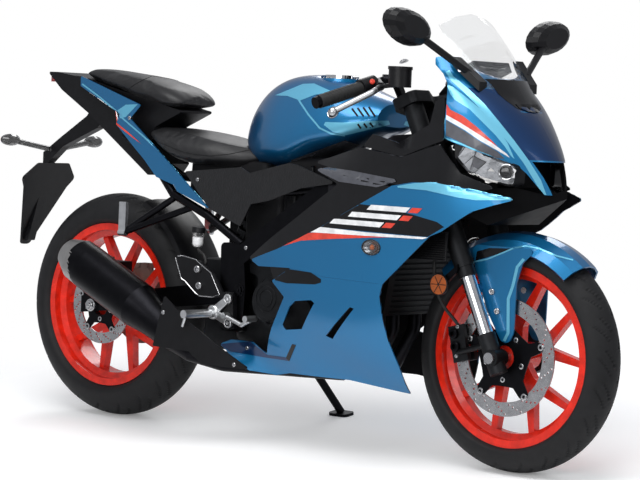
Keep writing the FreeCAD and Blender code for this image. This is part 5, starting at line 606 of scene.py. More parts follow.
def bolts_on(name, points, view, nodes, radius, material, body="chassis", mirror=True):
    """Bolts standing square to a surface at points of a view."""
    shape = Shape()
    for point in points:
        place, normal = cast(view, point, nodes)
        if place is not None:
            shape.bolt(place, normal, radius)
    if mirror:
        shape.both_sides()
    return shape.make(name, material, body)


def seam(name, points, view, nodes, width, material, lift=0.0):
    """A thin bead along a surface on both sides, for a joint line or a stitched edge."""
    shape = Shape()
    run = run_on([tuple(p) for p in dense(points, 12)], view, nodes, lift)
    if len(run) > 1:
        shape.tube(run, width, 6, smooth=1)
    return shape.both_sides().make(name, material, "chassis")


def dense(points, count):
    """Points of a view put more closely, with the same corners."""
    points = [Vector(p) for p in points]
    close = []
    for a, b in zip(points, points[1:]):
        close.extend(a.lerp(b, k / count) for k in range(count))
    return close + [points[-1]]


def paint_faces(node, material, test):
    """Gives the node's faces that pass a test another material."""
    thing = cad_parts[node]
    world = UPRIGHT @ thing.matrix_world
    thing.data.materials.append(material)
    index = len(thing.data.materials) - 1
    for face in thing.data.polygons:
        if test(world @ face.center):
            face.material_index = index


INSIDE_SLOPE = 0.2


def paint_insides(node, material):
    """Gives the node's faces that look towards the machine's middle another material."""
    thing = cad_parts[node]
    world = UPRIGHT @ thing.matrix_world
    turn = world.to_3x3().normalized()
    thing.data.materials.append(material)
    index = len(thing.data.materials) - 1
    for face in thing.data.polygons:
        place, normal = world @ face.center, turn @ face.normal
        if place.y * normal.y < 0 or (abs(normal.y) < INSIDE_SLOPE and normal.x < 0):
            face.material_index = index


# Paint, stripes, painted highlights and painted shade, drawn as outlines in the photograph's pixels or in the
# side view's millimetres

RIDGE_LINE = [
    (449.5, 70), (453, 76), (467.5, 88), (484.5, 104), (501, 124), (514.5, 141), (528.5, 160), (541, 180),
    (546.5, 195), (543, 195.5), (535, 182), (523.5, 163), (509.5, 144.5), (495.5, 126.5), (479, 107.5),
    (463, 91.5), (450, 79.5), (445.5, 72),
]
NOSE_FACE_START = 2
NOSE_FACE_END = 7
UPPER_FACET = [
    (446, 84), (453.7, 87.3), (469, 99.6), (485.3, 112.9), (497.6, 127.1), (507.8, 143.5), (514.5, 159),
    (511, 156), (504.7, 146.5), (495.5, 135.3), (483.3, 123), (469, 108.8), (454.7, 99.6), (450.6, 94.5),
]
NOSE_RED = [
    (446.6, 104), (450.6, 109.8), (462.9, 115.9), (477, 127), (491.4, 140.4), (497.6, 146.5), (491.4, 142.5),
    (477, 133.3), (460.8, 123), (446.4, 114.9),
]
NOSE_WHITE = [
    (446.4, 114.9), (460.8, 123), (477, 133.3), (491.4, 142.5), (506.7, 153.7), (509.8, 157.8), (497.6, 150.6),
    (481.2, 141.4), (464.9, 130.2), (446, 119.5),
]
NOSE_GREY = [
    (446, 120.2), (464.9, 131.2), (481.2, 142.2), (497.6, 151.6), (504.7, 158.8), (495.5, 157.8), (477, 150.6),
    (460.8, 142.4), (446, 135.8),
]
NOSE_EDGE = [
    (445, 89), (444, 110), (443.6, 134), (445.5, 138.2), (460, 143.5), (477, 150.9), (497, 158.8), (512, 165),
]
SCREEN_BAND_EDGE = [(484, 79), (491, 84.5), (497.5, 93.5), (506.7, 101.6), (516, 108.2), (526, 112)]
SCREEN_FOOT = [(-48, 922), (-42, 911), (-24, 904), (0, 902), (24, 904), (42, 911), (48, 922)]
COWL_FACET = [
    (397.5, 186), (415, 183), (434.7, 182.2), (454.3, 186.1), (516, 198.8), (516, 200.2), (475.4, 200.2),
    (457.1, 197.3), (426.3, 190.3), (398.2, 187.6),
]
COWL_BAND = [
    (352, 203), (378, 206.5), (412, 214.5), (437, 222), (444, 227), (427.5, 237), (400, 234.6), (360, 230.8),
    (316, 226.6),
]
STRIPE_WHITE = [(858, 578), (882, 589), (1053, 585), (1245, 584), (1229, 579), (861, 573)]
STRIPE_RED = [(851, 572), (1178, 581), (1060, 572), (930, 560), (826, 549), (764, 531)]
TAIL_FACET = [(117.5, 110.4), (126, 104.7), (138, 104.2), (126, 117), (120.3, 118.4)]
TAIL_EDGE = [
    (82.5, 84), (99.3, 96.6), (116.1, 110.6), (119, 115), (144.2, 136.8), (163.8, 155.1), (180.7, 170.5),
    (200.3, 191.5), (206, 200),
]
TAIL_WHITE_HIGHLIGHT = [(86, 92), (96, 101.5), (106.3, 110.8), (117, 119)]
TAIL_RED = [
    (95, 103), (106.3, 114.4), (127.3, 131.2), (141.4, 143.8), (133, 137.8), (116, 124.5), (106.3, 118),
]
DASH_SLANT = 14.0
DASH_HEIGHT = 13.0
DASHES = [(928, 1096, 600), (990, 1150, 621), (1052, 1178, 642)]
DASH_GAP = 6.0
DASH_TIP = 30.0
SIDE_CELL = 14


def dash(start, end, low):
    """A slanted dash of the side graphic."""
    high = low + DASH_HEIGHT
    return [(start, low), (end, low), (end + DASH_SLANT, high), (start + DASH_SLANT, high)]


def half_film(name, edge, nodes, material, lift):
    """A film on both halves of a front, from an edge line of the photograph to the middle."""
    places = [cast(from_eye, p, nodes)[0] for p in edge]
    side = [(p.y, p.z) for p in places if p is not None and p.y < 0]
    film(name, side + [(0, side[-1][1]), (0, side[0][1])], from_front, nodes, material, cell=9, lift=lift)


def stripes():
    """The coloured films on the cowls and the tail: stripes, painted highlights on lit facets and edges, and
    the nose's front face in painted shade.
    """
    nose = ("front_cowl",)
    nose_and_screen = ("front_cowl", "windscreen")
    sides = ("side_cowls",)
    # The nose's front face is the same blue as the rest; this darker film is painted shade.
    half_film("nose_face_painted_shade", RIDGE_LINE[NOSE_FACE_START:NOSE_FACE_END], nose_and_screen, SHADE_NAVY, 0.6)
    # The ridge, the upper facet and the edge line are painted highlights where the nose catches the light.
    film("nose_ridge_highlight", RIDGE_LINE, from_eye, nose, HIGHLIGHT_CYAN)
    film("nose_upper_facet_highlight", UPPER_FACET, from_eye, nose, HIGHLIGHT_CYAN)
    film("nose_red_stripe", NOSE_RED, from_eye, nose, RED_FILM)
    film("nose_white_stripe", NOSE_WHITE, from_eye, nose, WHITE_FILM)
    film("nose_grey_panel", NOSE_GREY, from_eye, nose, GREY_GLOSS)
    film("nose_edge_highlight", band(NOSE_EDGE, 1.5), from_eye, nose, HIGHLIGHT_CYAN, lift=0.9)
    half_film("screen_band", SCREEN_BAND_EDGE, nose_and_screen, BLACK_GLOSS, 1.3)
    film("screen_foot", SCREEN_FOOT, from_front, nose_and_screen, BLACK_SATIN, cell=6, lift=2.6, mirror=False)
    # The side cowl's top facet, lit from above, as a painted highlight.
    film("cowl_facet_highlight", COWL_FACET, from_eye, sides, HIGHLIGHT_CYAN, lift=1.4)
    film("cowl_band", COWL_BAND, from_eye, sides, BLACK_GLOSS, lift=0.4)
    film("stripe_white", STRIPE_WHITE, from_right, sides, WHITE_FILM, cell=SIDE_CELL, lift=0.9)
    film("stripe_red", STRIPE_RED, from_right, sides, RED_FILM, cell=SIDE_CELL, lift=0.7)
    for number, (start, end, low) in enumerate(DASHES, 1):
        label = str(number)
        bar = dash(start, end, low)
        tip = dash(end + DASH_GAP, end + DASH_GAP + DASH_TIP, low)
        film("dash_white_" + label, bar, from_right, sides, WHITE_FILM, cell=SIDE_CELL, lift=1.0)
        film("dash_red_" + label, tip, from_right, sides, RED_FILM, cell=SIDE_CELL, lift=1.0)
    tail = ("tail_cowl",)
    # The tail's small facet, its edge line and the white line along that edge are painted highlights; the red
    # stripe is a real stripe.
    film("tail_facet_highlight", TAIL_FACET, from_eye, tail, HIGHLIGHT_CYAN)
    film("tail_edge_highlight", band(TAIL_EDGE, 1.6), from_eye, tail, HIGHLIGHT_CYAN, lift=0.9)
    film("tail_white_highlight", band(TAIL_WHITE_HIGHLIGHT, 1.3), from_eye, tail, WHITE_FILM, lift=1.1)
    film("tail_red_stripe", TAIL_RED, from_eye, tail, RED_FILM, lift=0.8)


stripes()
for cowl in ("side_cowls", "lower_cowls", "front_cowl", "tail_cowl"):
    paint_insides(cowl, BLACK_MATT)


# Tyres, discs and chain

TREAD_STEPS = 1000
SECTION_STEPS = 44
SECTION_INSET = 52.0
SECTION_REACH = 130.0
SECTION_SWEEP = math.radians(122)
SIPE_COUNT = 22
SIPE_SKEW = 0.34
SIPE_HALF_WIDTH = 4.2
SIPE_DEPTH = 4.6
TREAD_SHARE = 0.86
RIB_SHARE = 0.07
SIPE_ROWS = ((0.0, RIB_SHARE, 0.62), (0.5, 0.30, TREAD_SHARE))
SIPE_FADE = 0.08


def tyre_section(node, centre_x, radius):
    """The tyre's own outline at its front, as distances from the axle and sideways places."""
    middle = Vector((centre_x + radius - SECTION_INSET, 0, radius))
    section = []
    for i in range(SECTION_STEPS + 1):
        angle = SECTION_SWEEP * (2 * i / SECTION_STEPS - 1)
        out = Vector((math.cos(angle), math.sin(angle), 0))
        place = surface(node).ray_cast(middle + out * SECTION_REACH, -out)[0]
        section.append((place.x - centre_x, place.y))
    return section


def sipe_depth(turn, share, radius):
    """How deep the tread is cut at a place, by its turn and its share of the half width."""
    if abs(share) > TREAD_SHARE or abs(share) < RIB_SHARE:
        return 0.0
    side = 1 if share > 0 else -1
    pitch = 2 * math.pi / SIPE_COUNT
    depth = 0.0
    for start, low, high in SIPE_ROWS:
        if not low <= abs(share) <= high:
            continue
        line = turn - SIPE_SKEW * abs(share) ** 0.8 - (start + 0.25 * side) * pitch
        away = abs((line + pitch / 2) % pitch - pitch / 2) * radius
        ends = min(abs(share) - low, high - abs(share)) / SIPE_FADE
        depth = max(depth, SIPE_DEPTH * min(1.0, ends) * max(0.0, 1 - (away / SIPE_HALF_WIDTH) ** 2))
    return depth


def tyre(node, body, centre_x, radius):
    """The tyre with its tread cut in."""
    section = tyre_section(node, centre_x, radius)
    widest = max(abs(y) for _, y in section)
    loops = []
    for i in range(TREAD_STEPS):
        turn = 2 * math.pi * i / TREAD_STEPS
        loop = []
        for reach, y in section:
            reach -= sipe_depth(turn, y / widest, radius) if reach > radius - SECTION_INSET else 0.0
            loop.append((centre_x + reach * math.cos(turn), y, radius + reach * math.sin(turn)))
        loops.append(loop)
    shape = Shape()
    shape.rings(loops + loops[:1], caps=False, around=False)
    thing = shape.make(node + "_tread", TYRE_RUBBER, body, crease=50)
    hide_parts(node)


def circle(centre_x, centre_z, radius, count, phase=0.0):
    points = []
    for i in range(count):
        angle = 2 * math.pi * i / count + phase
        points.append((centre_x + radius * math.cos(angle), centre_z + radius * math.sin(angle)))
    return points


def pierced_plate(name, outlines, y, thickness, material, body):
    """A flat plate in the side view: its first outline, with the others cut out of it."""
    work = bmesh.new()
    edges = []
    for outline in outlines:
        verts = [work.verts.new((x, y - thickness / 2, z)) for x, z in outline]
        edges.extend(work.edges.new((a, b)) for a, b in zip(verts, verts[1:] + verts[:1]))
    bmesh.ops.triangle_fill(work, edges=edges, use_beauty=True, use_dissolve=False)
    raised = bmesh.ops.extrude_face_region(work, geom=work.faces[:])["geom"]
    for item in raised:
        if isinstance(item, bmesh.types.BMVert):
            item.co.y += thickness
    work.verts.index_update()
    shape = Shape()
    shape.add([v.co for v in work.verts], [[v.index for v in f.verts] for f in work.faces])
    work.free()
    return shape.make(name, material, body, crease=30)


def ring_holes(centre_x, centre_z, groups, radii, step, radius):
    """Small holes in slanted rows round a ring."""
    holes = []
    for i in range(groups):
        for k, reach in enumerate(radii):
            angle = 2 * math.pi * (i + step * k) / groups
            x = centre_x + reach * math.cos(angle)
            z = centre_z + reach * math.sin(angle)
            holes.append(circle(x, z, radius, 10))
    return holes


CARRIER_ARMS = 5
CARRIER_PHASE = 0.3
CARRIER_THICKNESS = 3.6
CARRIER_OUT = 4.0
BAND_THICKNESS = 4.5
BAND_WAVES = 10
BAND_WAVE = 0.6
BAND_STEPS = 180
HOLE_SHARES = (0.18, 0.38, 0.60, 0.82)
STUD_OUT = 4.4
STUD_HEIGHT = 2.2
HUB_BORE = 30
HUB_PROFILE = [(48, -2), (48, 6), (36, 12), (31, 12), (31, -2)]


def carrier_outline(centre_x, centre_z, low, high):
    """A wheel disc's carrier: a ring with arms that reach out to the band."""
    rim, neck = low * 0.92, high * 0.95
    arm = ((-0.17, low), (-0.10, neck), (-0.06, high), (0.06, high), (0.10, neck), (0.17, low), (0.32, rim),
           (0.68, rim))
    points = []
    for i in range(CARRIER_ARMS):
        for share, reach in arm:
            angle = 2 * math.pi * (i + share) / CARRIER_ARMS + CARRIER_PHASE
            points.append((centre_x + reach * math.cos(angle), centre_z + reach * math.sin(angle)))
    return points


def brake_disc(node, body, x, z, y, outer, inner, side):
    """A drilled band on a dark carrier, held by bright studs."""
    edge = []
    for i in range(BAND_STEPS):
        wave = math.sin(2 * math.pi * i / BAND_STEPS * BAND_WAVES) * BAND_WAVE
        angle = 2 * math.pi * i / BAND_STEPS
        edge.append((x + (inner + wave) * math.cos(angle), z + (inner + wave) * math.sin(angle)))
    radii = [inner + (outer - inner) * share for share in HOLE_SHARES]
    outlines = [circle(x, z, outer - 0.5, 120), edge] + ring_holes(x, z, 18, radii, 0.22, 2.9)
    thing = pierced_plate(node + "_band", outlines, y, BAND_THICKNESS, STEEL, body)
    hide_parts(node)
    star = [carrier_outline(x, z, inner * 0.72, inner + 3), circle(x, z, HUB_BORE, 40)]
    pierced_plate(node + "_carrier", star, y + side * CARRIER_OUT, CARRIER_THICKNESS, BLACK_METAL, body)
    studs = Shape()
    for i in range(CARRIER_ARMS):
        for reach, size, shift in ((inner + 1, 8.5, 0.0), (inner * 0.5, 7.0, 0.5)):
            angle = 2 * math.pi * (i + shift) / CARRIER_ARMS + CARRIER_PHASE
            place = (x + reach * math.cos(angle), y + side * STUD_OUT, z + reach * math.sin(angle))
            studs.bolt(place, (0, side, 0), size, STUD_HEIGHT)
    studs.make(node + "_studs", STEEL, body)
    hub = Shape()
    hub.turned((x, y, z), (0, -side, 0), HUB_PROFILE, 48, caps=False)
    hub.make(node + "_hub", BLACK_METAL, body)


CHAIN_PITCH = 15.875
CHAIN_Y = 86.0
REAR_TEETH = 43
FRONT_TEETH = 14
SPROCKET = (640.0, 394.0)
LINK_RADIUS = 6.8
INNER_OFFSET = 4.3
OUTER_OFFSET = 6.4
LINK_THICKNESS = 1.6
ROLLER_RADIUS = 4.8
ROLLER_WIDTH = 6.8
PIN_RADIUS = 2.4
PIN_LENGTH = 14.6


def chain_path():
    """The chain's closed path round both sprockets, as places and running lengths."""
    rear = CHAIN_PITCH / 2 / math.sin(math.pi / REAR_TEETH)
    front = CHAIN_PITCH / 2 / math.sin(math.pi / FRONT_TEETH)
    run = Vector((SPROCKET[0], SPROCKET[1] - REAR_RADIUS))
    slope = math.atan2(run.y, run.x)
    spread = math.acos((rear - front) / run.length)
    points = []
    for i in range(121):
        angle = slope + spread + (2 * math.pi - 2 * spread) * i / 120
        points.append(Vector((rear * math.cos(angle), REAR_RADIUS + rear * math.sin(angle))))
    for i in range(61):
        angle = slope - spread + 2 * spread * i / 60
        points.append(Vector((SPROCKET[0] + front * math.cos(angle), SPROCKET[1] + front * math.sin(angle))))
    return points + points[:1]


def evenly(points, count):
    """Places at even steps along a closed run."""
    lengths = [0.0]
    for a, b in zip(points, points[1:]):
        lengths.append(lengths[-1] + (b - a).length)
    places = []
    index = 0
    for i in range(count):
        target = lengths[-1] * i / count
        while lengths[index + 1] < target:
            index += 1
        share = (target - lengths[index]) / (lengths[index + 1] - lengths[index])
        places.append(points[index].lerp(points[index + 1], share))
    return places


def chain():
    """The drive chain, link by link."""
    path = chain_path()
    total = sum((b - a).length for a, b in zip(path, path[1:]))
    count = 2 * round(total / CHAIN_PITCH / 2)
    pins = evenly(path, count)
    plates, rollers = Shape(), Shape()
    for i, pin in enumerate(pins):
        after = pins[(i + 1) % count]
        along = (after - pin).normalized()
        square = Vector((-along.y, along.x))
        outline = []
        for centre, start in ((pin, 90), (after, -90)):
            for k in range(7):
                angle = math.radians(start + 30 * k)
                out = along * math.cos(angle) + square * math.sin(angle)
                outline.append(centre + out * LINK_RADIUS)
        offset = OUTER_OFFSET if i % 2 else INNER_OFFSET
        half = LINK_THICKNESS / 2
        for y in (CHAIN_Y - offset - half, CHAIN_Y + offset - half):
            plates.slab([(p.x, y, p.y) for p in outline], (0, LINK_THICKNESS, 0))
        roller = [(ROLLER_RADIUS, 0), (ROLLER_RADIUS, ROLLER_WIDTH)]
        rivet = [(PIN_RADIUS, 0), (PIN_RADIUS, PIN_LENGTH)]
        rollers.turned((pin.x, CHAIN_Y - ROLLER_WIDTH / 2, pin.y), (0, 1, 0), roller, 10)
        rollers.turned((pin.x, CHAIN_Y - PIN_LENGTH / 2, pin.y), (0, 1, 0), rivet, 8)
    thing = plates.make("chain_plates", CHAIN_STEEL, "chassis")
    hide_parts("drive_chain")
    rollers.make("chain_rollers", CHAIN_STEEL, "chassis")
    front = Shape()
    outer = CHAIN_PITCH / 2 / math.sin(math.pi / FRONT_TEETH)
    profile = [(10, 0), (outer - 2, 0), (outer - 2, 6), (10, 6)]
    front.turned((SPROCKET[0], CHAIN_Y - 3, SPROCKET[1]), (0, 1, 0), profile, 42)
    front.make("front_sprocket", CHAIN_STEEL, "chassis")


tyre("front_tyre", "front_wheel", WHEELBASE, FRONT_RADIUS)
tyre("rear_tyre", "rear_wheel", 0.0, REAR_RADIUS)
brake_disc("front_disc", "front_wheel", WHEELBASE, FRONT_RADIUS, -58.0, 149.0, 113.0, -1)
brake_disc("rear_disc", "rear_wheel", 0.0, REAR_RADIUS, -80.0, 110.0, 80.0, -1)
chain()


# Lamps and mirrors

LAMP_SHADE = [(460.8, 167), (473, 156), (486, 162), (474, 173), (466, 171)]
LAMP_BLOCK = [(479, 177), (491, 168), (500, 178), (497, 183), (486, 181)]
LAMP_INNER_Y = 98.0
LAMP_REAR_X = 1294.0
LAMP_EYE = (506.0, 172.0)
LAMP_INSET = 7.0
LAMP_CRESCENT = [(497, 162), (508, 165.5), (516, 170), (516, 178), (512, 178), (510, 170.5), (504, 166)]
LAMP_BALL = [(17, -6), (16.5, -3.5), (14, -1.8), (9, -0.9), (1, -0.6)]
LAMP_RIM = [(17, -7), (20, -7), (20, -3.5), (18.5, -2.5), (17, -3.5)]


def inner_shell(node, name, material, inset):
    """A copy of a lens that lies a little inside it, as the lamp's bright bowl."""
    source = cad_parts[node]
    work = bmesh.new()
    work.from_mesh(source.data)
    bmesh.ops.remove_doubles(work, verts=work.verts[:], dist=1e-5)
    bmesh.ops.recalc_face_normals(work, faces=work.faces[:])
    work.normal_update()
    for vert in work.verts:
        vert.co -= vert.normal * inset / 1000
    mesh = bpy.data.meshes.new(name)
    work.to_mesh(mesh)
    work.free()
    mesh.transform(source.matrix_world)
    return finish_piece(name, mesh, material, "chassis", crease=20)


def lamps():
    """The headlamps' bowls, inner panels and projector lenses."""
    bowl = inner_shell("headlamps", "headlamp_bowl", REFLECTOR, LAMP_INSET)
    bowl.data.materials.append(BLACK_SATIN)
    for face in bowl.data.polygons:
        if abs((UPRIGHT @ face.center).y) < LAMP_INNER_Y:
            face.material_index = 1
    paint_faces("headlamps", BLACK_SATIN, lambda p: abs(p.y) < LAMP_INNER_Y or p.x < LAMP_REAR_X)
    lamp = ("headlamps",)
    film("lamp_shade", LAMP_SHADE, from_eye, lamp, GREY_GLOSS, lift=-5.0)
    film("lamp_block", LAMP_BLOCK, from_eye, lamp, BRUSHED, lift=-5.0)
    film("lamp_crescent", LAMP_CRESCENT, from_eye, lamp, WHITE_FILM, lift=-4.0)
    place, normal = cast(from_eye, LAMP_EYE, lamp)
    ball = Shape()
    ball.turned(place, normal, LAMP_BALL, 32)
    ball.both_sides().make("lamp_lens_ball", SMOKED, "chassis", crease=60)
    rim = Shape()
    rim.turned(place, normal, LAMP_RIM, 32, caps=False)
    rim.both_sides().make("lamp_lens_rim", CHROME, "chassis")
    seam("lamp_gasket", band(LAMP_SHADE, 0.1)[:5], from_eye, lamp, 0.8, BLACK_SATIN, lift=-4.5)


INDICATOR = (1070.0, 548.0)
INDICATOR_HALF = (27.0, 17.5)
INDICATOR_STEPS = 32
INDICATOR_BOWL = ((1.0, 2.2), (0.92, 2.0), (0.8, 4.5), (0.55, 7.5), (0.2, 8.5))
INDICATOR_RIM = ((1.0, 3.0), (1.1, 3.0), (1.12, 1.0), (1.05, -0.2), (1.0, 0.6))
INDICATOR_BULB = [(7, 0), (7, 2.5), (5, 5), (1, 6)]
BULB_DEPTH = 8.5


def oval_loop(share, y):
    """A ring of the indicator's oval outline, at a share of its size."""
    points = []
    for i in range(INDICATOR_STEPS):
        angle = 2 * math.pi * i / INDICATOR_STEPS
        x = INDICATOR[0] + INDICATOR_HALF[0] * share * math.cos(angle)
        z = INDICATOR[1] + INDICATOR_HALF[1] * share * math.sin(angle)
        points.append((x, y, z))
    return points


def indicators():
    """The front indicators' bowls, bulbs and rims."""
    face = cast(from_right, INDICATOR, ("front_indicators",))[0].y
    bowl = Shape()
    bowl.rings([oval_loop(share, face + deep) for share, deep in INDICATOR_BOWL], caps=False)
    bowl.both_sides().make("indicator_bowls", REFLECTOR, "chassis", crease=20)
    bulb = Shape()
    bulb.turned((INDICATOR[0], face + BULB_DEPTH, INDICATOR[1]), (0, -1, 0), INDICATOR_BULB, 20)
    bulb.both_sides().make("indicator_bulbs", AMBER, "chassis")
    ring = Shape()
    ring.rings([oval_loop(share, face + deep) for share, deep in INDICATOR_RIM], caps=False)
    ring.both_sides().make("indicator_rims", BLACK_SATIN, "chassis")


MIRROR_CENTRE = (301.0, 1099.0)
MIRROR_HALF = (74.0, 34.0)
MIRROR_RISE = math.radians(14)
MIRROR_BOLTS = [(1290, 962), (1262, 1000)]


def mirror_outline(share):
    """A mirror's outline from behind, at a share of its size."""
    outline = []
    for i in range(36):
        angle = 2 * math.pi * i / 36
        along = MIRROR_HALF[0] * share * math.cos(angle)
        over = MIRROR_HALF[1] * share * math.sin(angle) * (1 + 0.2 * math.cos(angle))
        y = MIRROR_CENTRE[0] + along * math.cos(MIRROR_RISE) - over * math.sin(MIRROR_RISE)
        z = MIRROR_CENTRE[1] + along * math.sin(MIRROR_RISE) + over * math.cos(MIRROR_RISE)
        outline.append((-y, z))
    return outline


def mirrors():
    """The mirrors' glass, rims and bolts."""
    film("mirror_faces", mirror_outline(0.9), from_rear, ("mirrors",), MIRROR_GLASS, cell=20, lift=0.8)
    rim = mirror_outline(0.93)
    seam("mirror_rims", rim + rim[:1], from_rear, ("mirrors",), 1.6, BLACK_SATIN)
    bolts_on("mirror_bolts", MIRROR_BOLTS, from_right, ("mirrors",), 5.0, STEEL)


lamps()
indicators()
mirrors()


# Seats

PAD_VOXEL = 0.005
PAD_INSET = 3.0
PAD_SWELL = 6.0
PAD_OUT = 0.4
PAD_FRAMES = 20
PAD_PRESSURE = 4.0


def evaluated(thing):
    """The object's mesh with its modifiers applied."""
    return bpy.data.meshes.new_from_object(thing.evaluated_get(bpy.context.evaluated_depsgraph_get()))


def swollen(thing, mesh):
    """The pad's mesh after its cover is blown up a little, each point held near its start."""
    start = [v.co.copy() for v in mesh.vertices]
    cloth = thing.modifiers.new("cover", "CLOTH")
    cloth.settings.use_pressure = True
    cloth.settings.uniform_pressure_force = PAD_PRESSURE
    cloth.settings.effector_weights.gravity = 0
    cloth.point_cache.frame_end = PAD_FRAMES
    for number in range(1, PAD_FRAMES + 1):
        bpy.context.scene.frame_set(number)
    result = evaluated(thing)
    for vert, old in zip(result.vertices, start):
        move = vert.co - old
        if move.length > PAD_SWELL / 1000:
            vert.co = old + move.normalized() * PAD_SWELL / 1000
    thing.modifiers.clear()
    bpy.context.scene.frame_set(1)
    return result


def pad(node, name):
    """A seat's cover over its foam: remeshed, blown up by a cloth simulation and kept in its space."""
    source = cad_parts[node]
    mesh = source.data.copy()
    mesh.transform(source.matrix_world)
    tree = BVHTree.FromPolygons([v.co for v in mesh.vertices], [list(p.vertices) for p in mesh.polygons])
    thing = bpy.data.objects.new(name, mesh)
    bpy.context.scene.collection.objects.link(thing)
    remesh = thing.modifiers.new("even", "REMESH")
    remesh.mode = "VOXEL"
    remesh.voxel_size = PAD_VOXEL
    mesh = evaluated(thing)
    thing.modifiers.clear()
    for _ in range(3):
        work = bmesh.new()
        work.from_mesh(mesh)
        bmesh.ops.smooth_vert(
            work, verts=work.verts[:], factor=0.5, use_axis_x=True, use_axis_y=True, use_axis_z=True
        )
        work.to_mesh(mesh)
        work.free()
    normals = [v.normal.copy() for v in mesh.vertices]
    for vert, normal in zip(mesh.vertices, normals):
        vert.co -= normal * PAD_INSET / 1000
    thing.data = mesh
    mesh = swollen(thing, mesh)
    thing.data = mesh
    for vert in mesh.vertices:
        place, normal, _, _ = tree.find_nearest(vert.co)
        if (vert.co - place).dot(normal) > PAD_OUT / 1000:
            vert.co = place + normal * PAD_OUT / 1000
    smooth = thing.modifiers.new("finer", "SUBSURF")
    smooth.levels = 1
    thing.data = evaluated(thing)
    thing.modifiers.clear()
    thing.data.shade_smooth()
    thing.data.materials.clear()
    thing.data.materials.append(SEAT)
    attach(thing, "chassis")
    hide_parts(node)
    PADS[node] = thing


PASSENGER_SEAM = [(152, 76), (143, 80), (134, 85), (128, 89.5), (124.6, 94.5)]
PASSENGER_SIDE = [(84, 72), (99, 80), (118, 89), (126, 93), (140, 99), (152, 102)]
RIDER_SIDE = [
    (149, 138), (163, 144), (179.3, 150.8), (195, 154.5), (210, 156), (230, 154), (250, 150), (260, 148),
]
SEAM_WIDTH = 0.9
SEAM_LIFT = 0.3


def seats():
    """Both padded seats with their seams."""
    pad("rider_seat", "rider_cushion")
    pad("passenger_seat", "passenger_cushion")
    rear = ("passenger_seat",)
    seam("passenger_cross_seam", PASSENGER_SEAM, from_eye, rear, SEAM_WIDTH, BLACK_MATT, lift=SEAM_LIFT)
    seam("passenger_side_seam", PASSENGER_SIDE, from_eye, rear, SEAM_WIDTH, BLACK_MATT, lift=SEAM_LIFT)
    seam("rider_side_seam", RIDER_SIDE, from_eye, ("rider_seat",), SEAM_WIDTH, BLACK_MATT, lift=SEAM_LIFT)


seats()


# Tank and cockpit


TANK_FACET = [(275, 95.5), (303, 84), (314.2, 83.6), (332, 91.6), (314.2, 95.1), (300.2, 100.7), (287.5, 96)]
TANK_RIDGE = [(298.8, 100), (308.6, 114.7), (319.8, 128), (331, 133.4), (345, 135.5)]
TANK_SIDE = [
    (325.4, 122), (342.2, 122.6), (370.3, 121), (388.5, 120.6), (390, 124.5), (368.9, 129.6), (346, 135),
    (333, 132), (324, 125),
]
TANK_SLOTS = [
    ((352, 108.6), (357.8, 116.4)), ((357.6, 108), (363.6, 116.4)), ((363.2, 107.4), (369.4, 116.4)),
    ((368.8, 107), (375, 116.4)), ((357.8, 124), (361, 128.4)), ((363.8, 123.4), (367, 127.6)),
    ((369.8, 122.8), (373, 126.8)),
]
DISC_PLACE = (333.0, 112.6)
DISC_PROFILE = [(14, -1), (14, 1.4), (1, 1.6)]
DISC_RING = [(14, -1), (16.5, -1), (16.5, 1.4), (15.5, 2.2), (14, 1.6)]
COCKPIT_STRIP = [
    (353.5, 134), (381.5, 132), (391.4, 142.8), (402.6, 142.8), (426.4, 133), (432.4, 98.5), (442.6, 99.3),
    (442.6, 136), (432, 136), (401.2, 155.8), (392.8, 155.4), (364.7, 147),
]
BLADE_UPPER = [(291, 159.4), (345, 139.4), (360, 144.6), (326, 158), (309, 164), (306, 161), (292, 161.4)]
BLADE_LOWER = [
    (311, 165.4), (352, 170.8), (395, 179.3), (396.6, 182), (377.3, 187.2), (339.4, 181.6), (322, 173),
]
CAP_MIDDLE = (770, 971)
CAP_BOLTS = 7
CAP_BOLT_REACH = 50
LOCK_PLACE = (752, 0, 979.4)
LOCK_PROFILE = [(15, 0), (15, 1.2), (13, 1.8), (5, 1.8), (4.5, 0.8)]


def tank():
    """The tank's facets and ridge as painted highlights, plain discs and cap, and the blades and strip beside
    it.
    """
    body = ("fuel_tank",)
    # The facets and the ridge are painted highlights where the tank's one blue catches the light.
    film("tank_facet_highlight", TANK_FACET, from_eye, body, HIGHLIGHT_CYAN)
    film("tank_ridge_highlight", band(TANK_RIDGE, 1.8), from_eye, body, HIGHLIGHT_CYAN, lift=0.8)
    film("tank_side_highlight", TANK_SIDE, from_eye, body, HIGHLIGHT_CYAN)
    for number, (start, end) in enumerate(TANK_SLOTS, 1):
        film("tank_slot_" + str(number), band([start, end], 1.9), from_eye, body, BLACK_MATT, lift=0.9)
    place, normal = cast(from_eye, DISC_PLACE, body)
    plain, ring = Shape(), Shape()
    plain.turned(place, normal, DISC_PROFILE, 36)
    ring.turned(place, normal, DISC_RING, 36, caps=False)
    plain.both_sides().make("tank_disc", BLACK_GLOSS, "chassis")
    ring.both_sides().make("tank_disc_ring", CHROME, "chassis")
    panels = ("upper_panels", "front_cowl", "flank_liners", "side_cowls", "fuel_tank")
    film("cockpit_strip", COCKPIT_STRIP, from_eye, ("upper_panels", "front_cowl"), GREY_GLOSS)
    film("blade_upper", BLADE_UPPER, from_eye, panels, GREY_GLOSS, lift=2.4)
    film("blade_lower", BLADE_LOWER, from_eye, panels, GREY_GLOSS, lift=2.4)
    cap = Shape()
    for x, y in circle(CAP_MIDDLE[0], 0, CAP_BOLT_REACH, CAP_BOLTS):
        cap.bolt((x, y, CAP_MIDDLE[1]), (0, 0, 1), 3.4, 2.6)
    cap.make("cap_bolts", STEEL, "chassis")
    flap = Shape()
    flap.turned(LOCK_PLACE, (0, 0, 1), LOCK_PROFILE, 28)
    flap.make("cap_lock", STEEL, "fuel_cap")


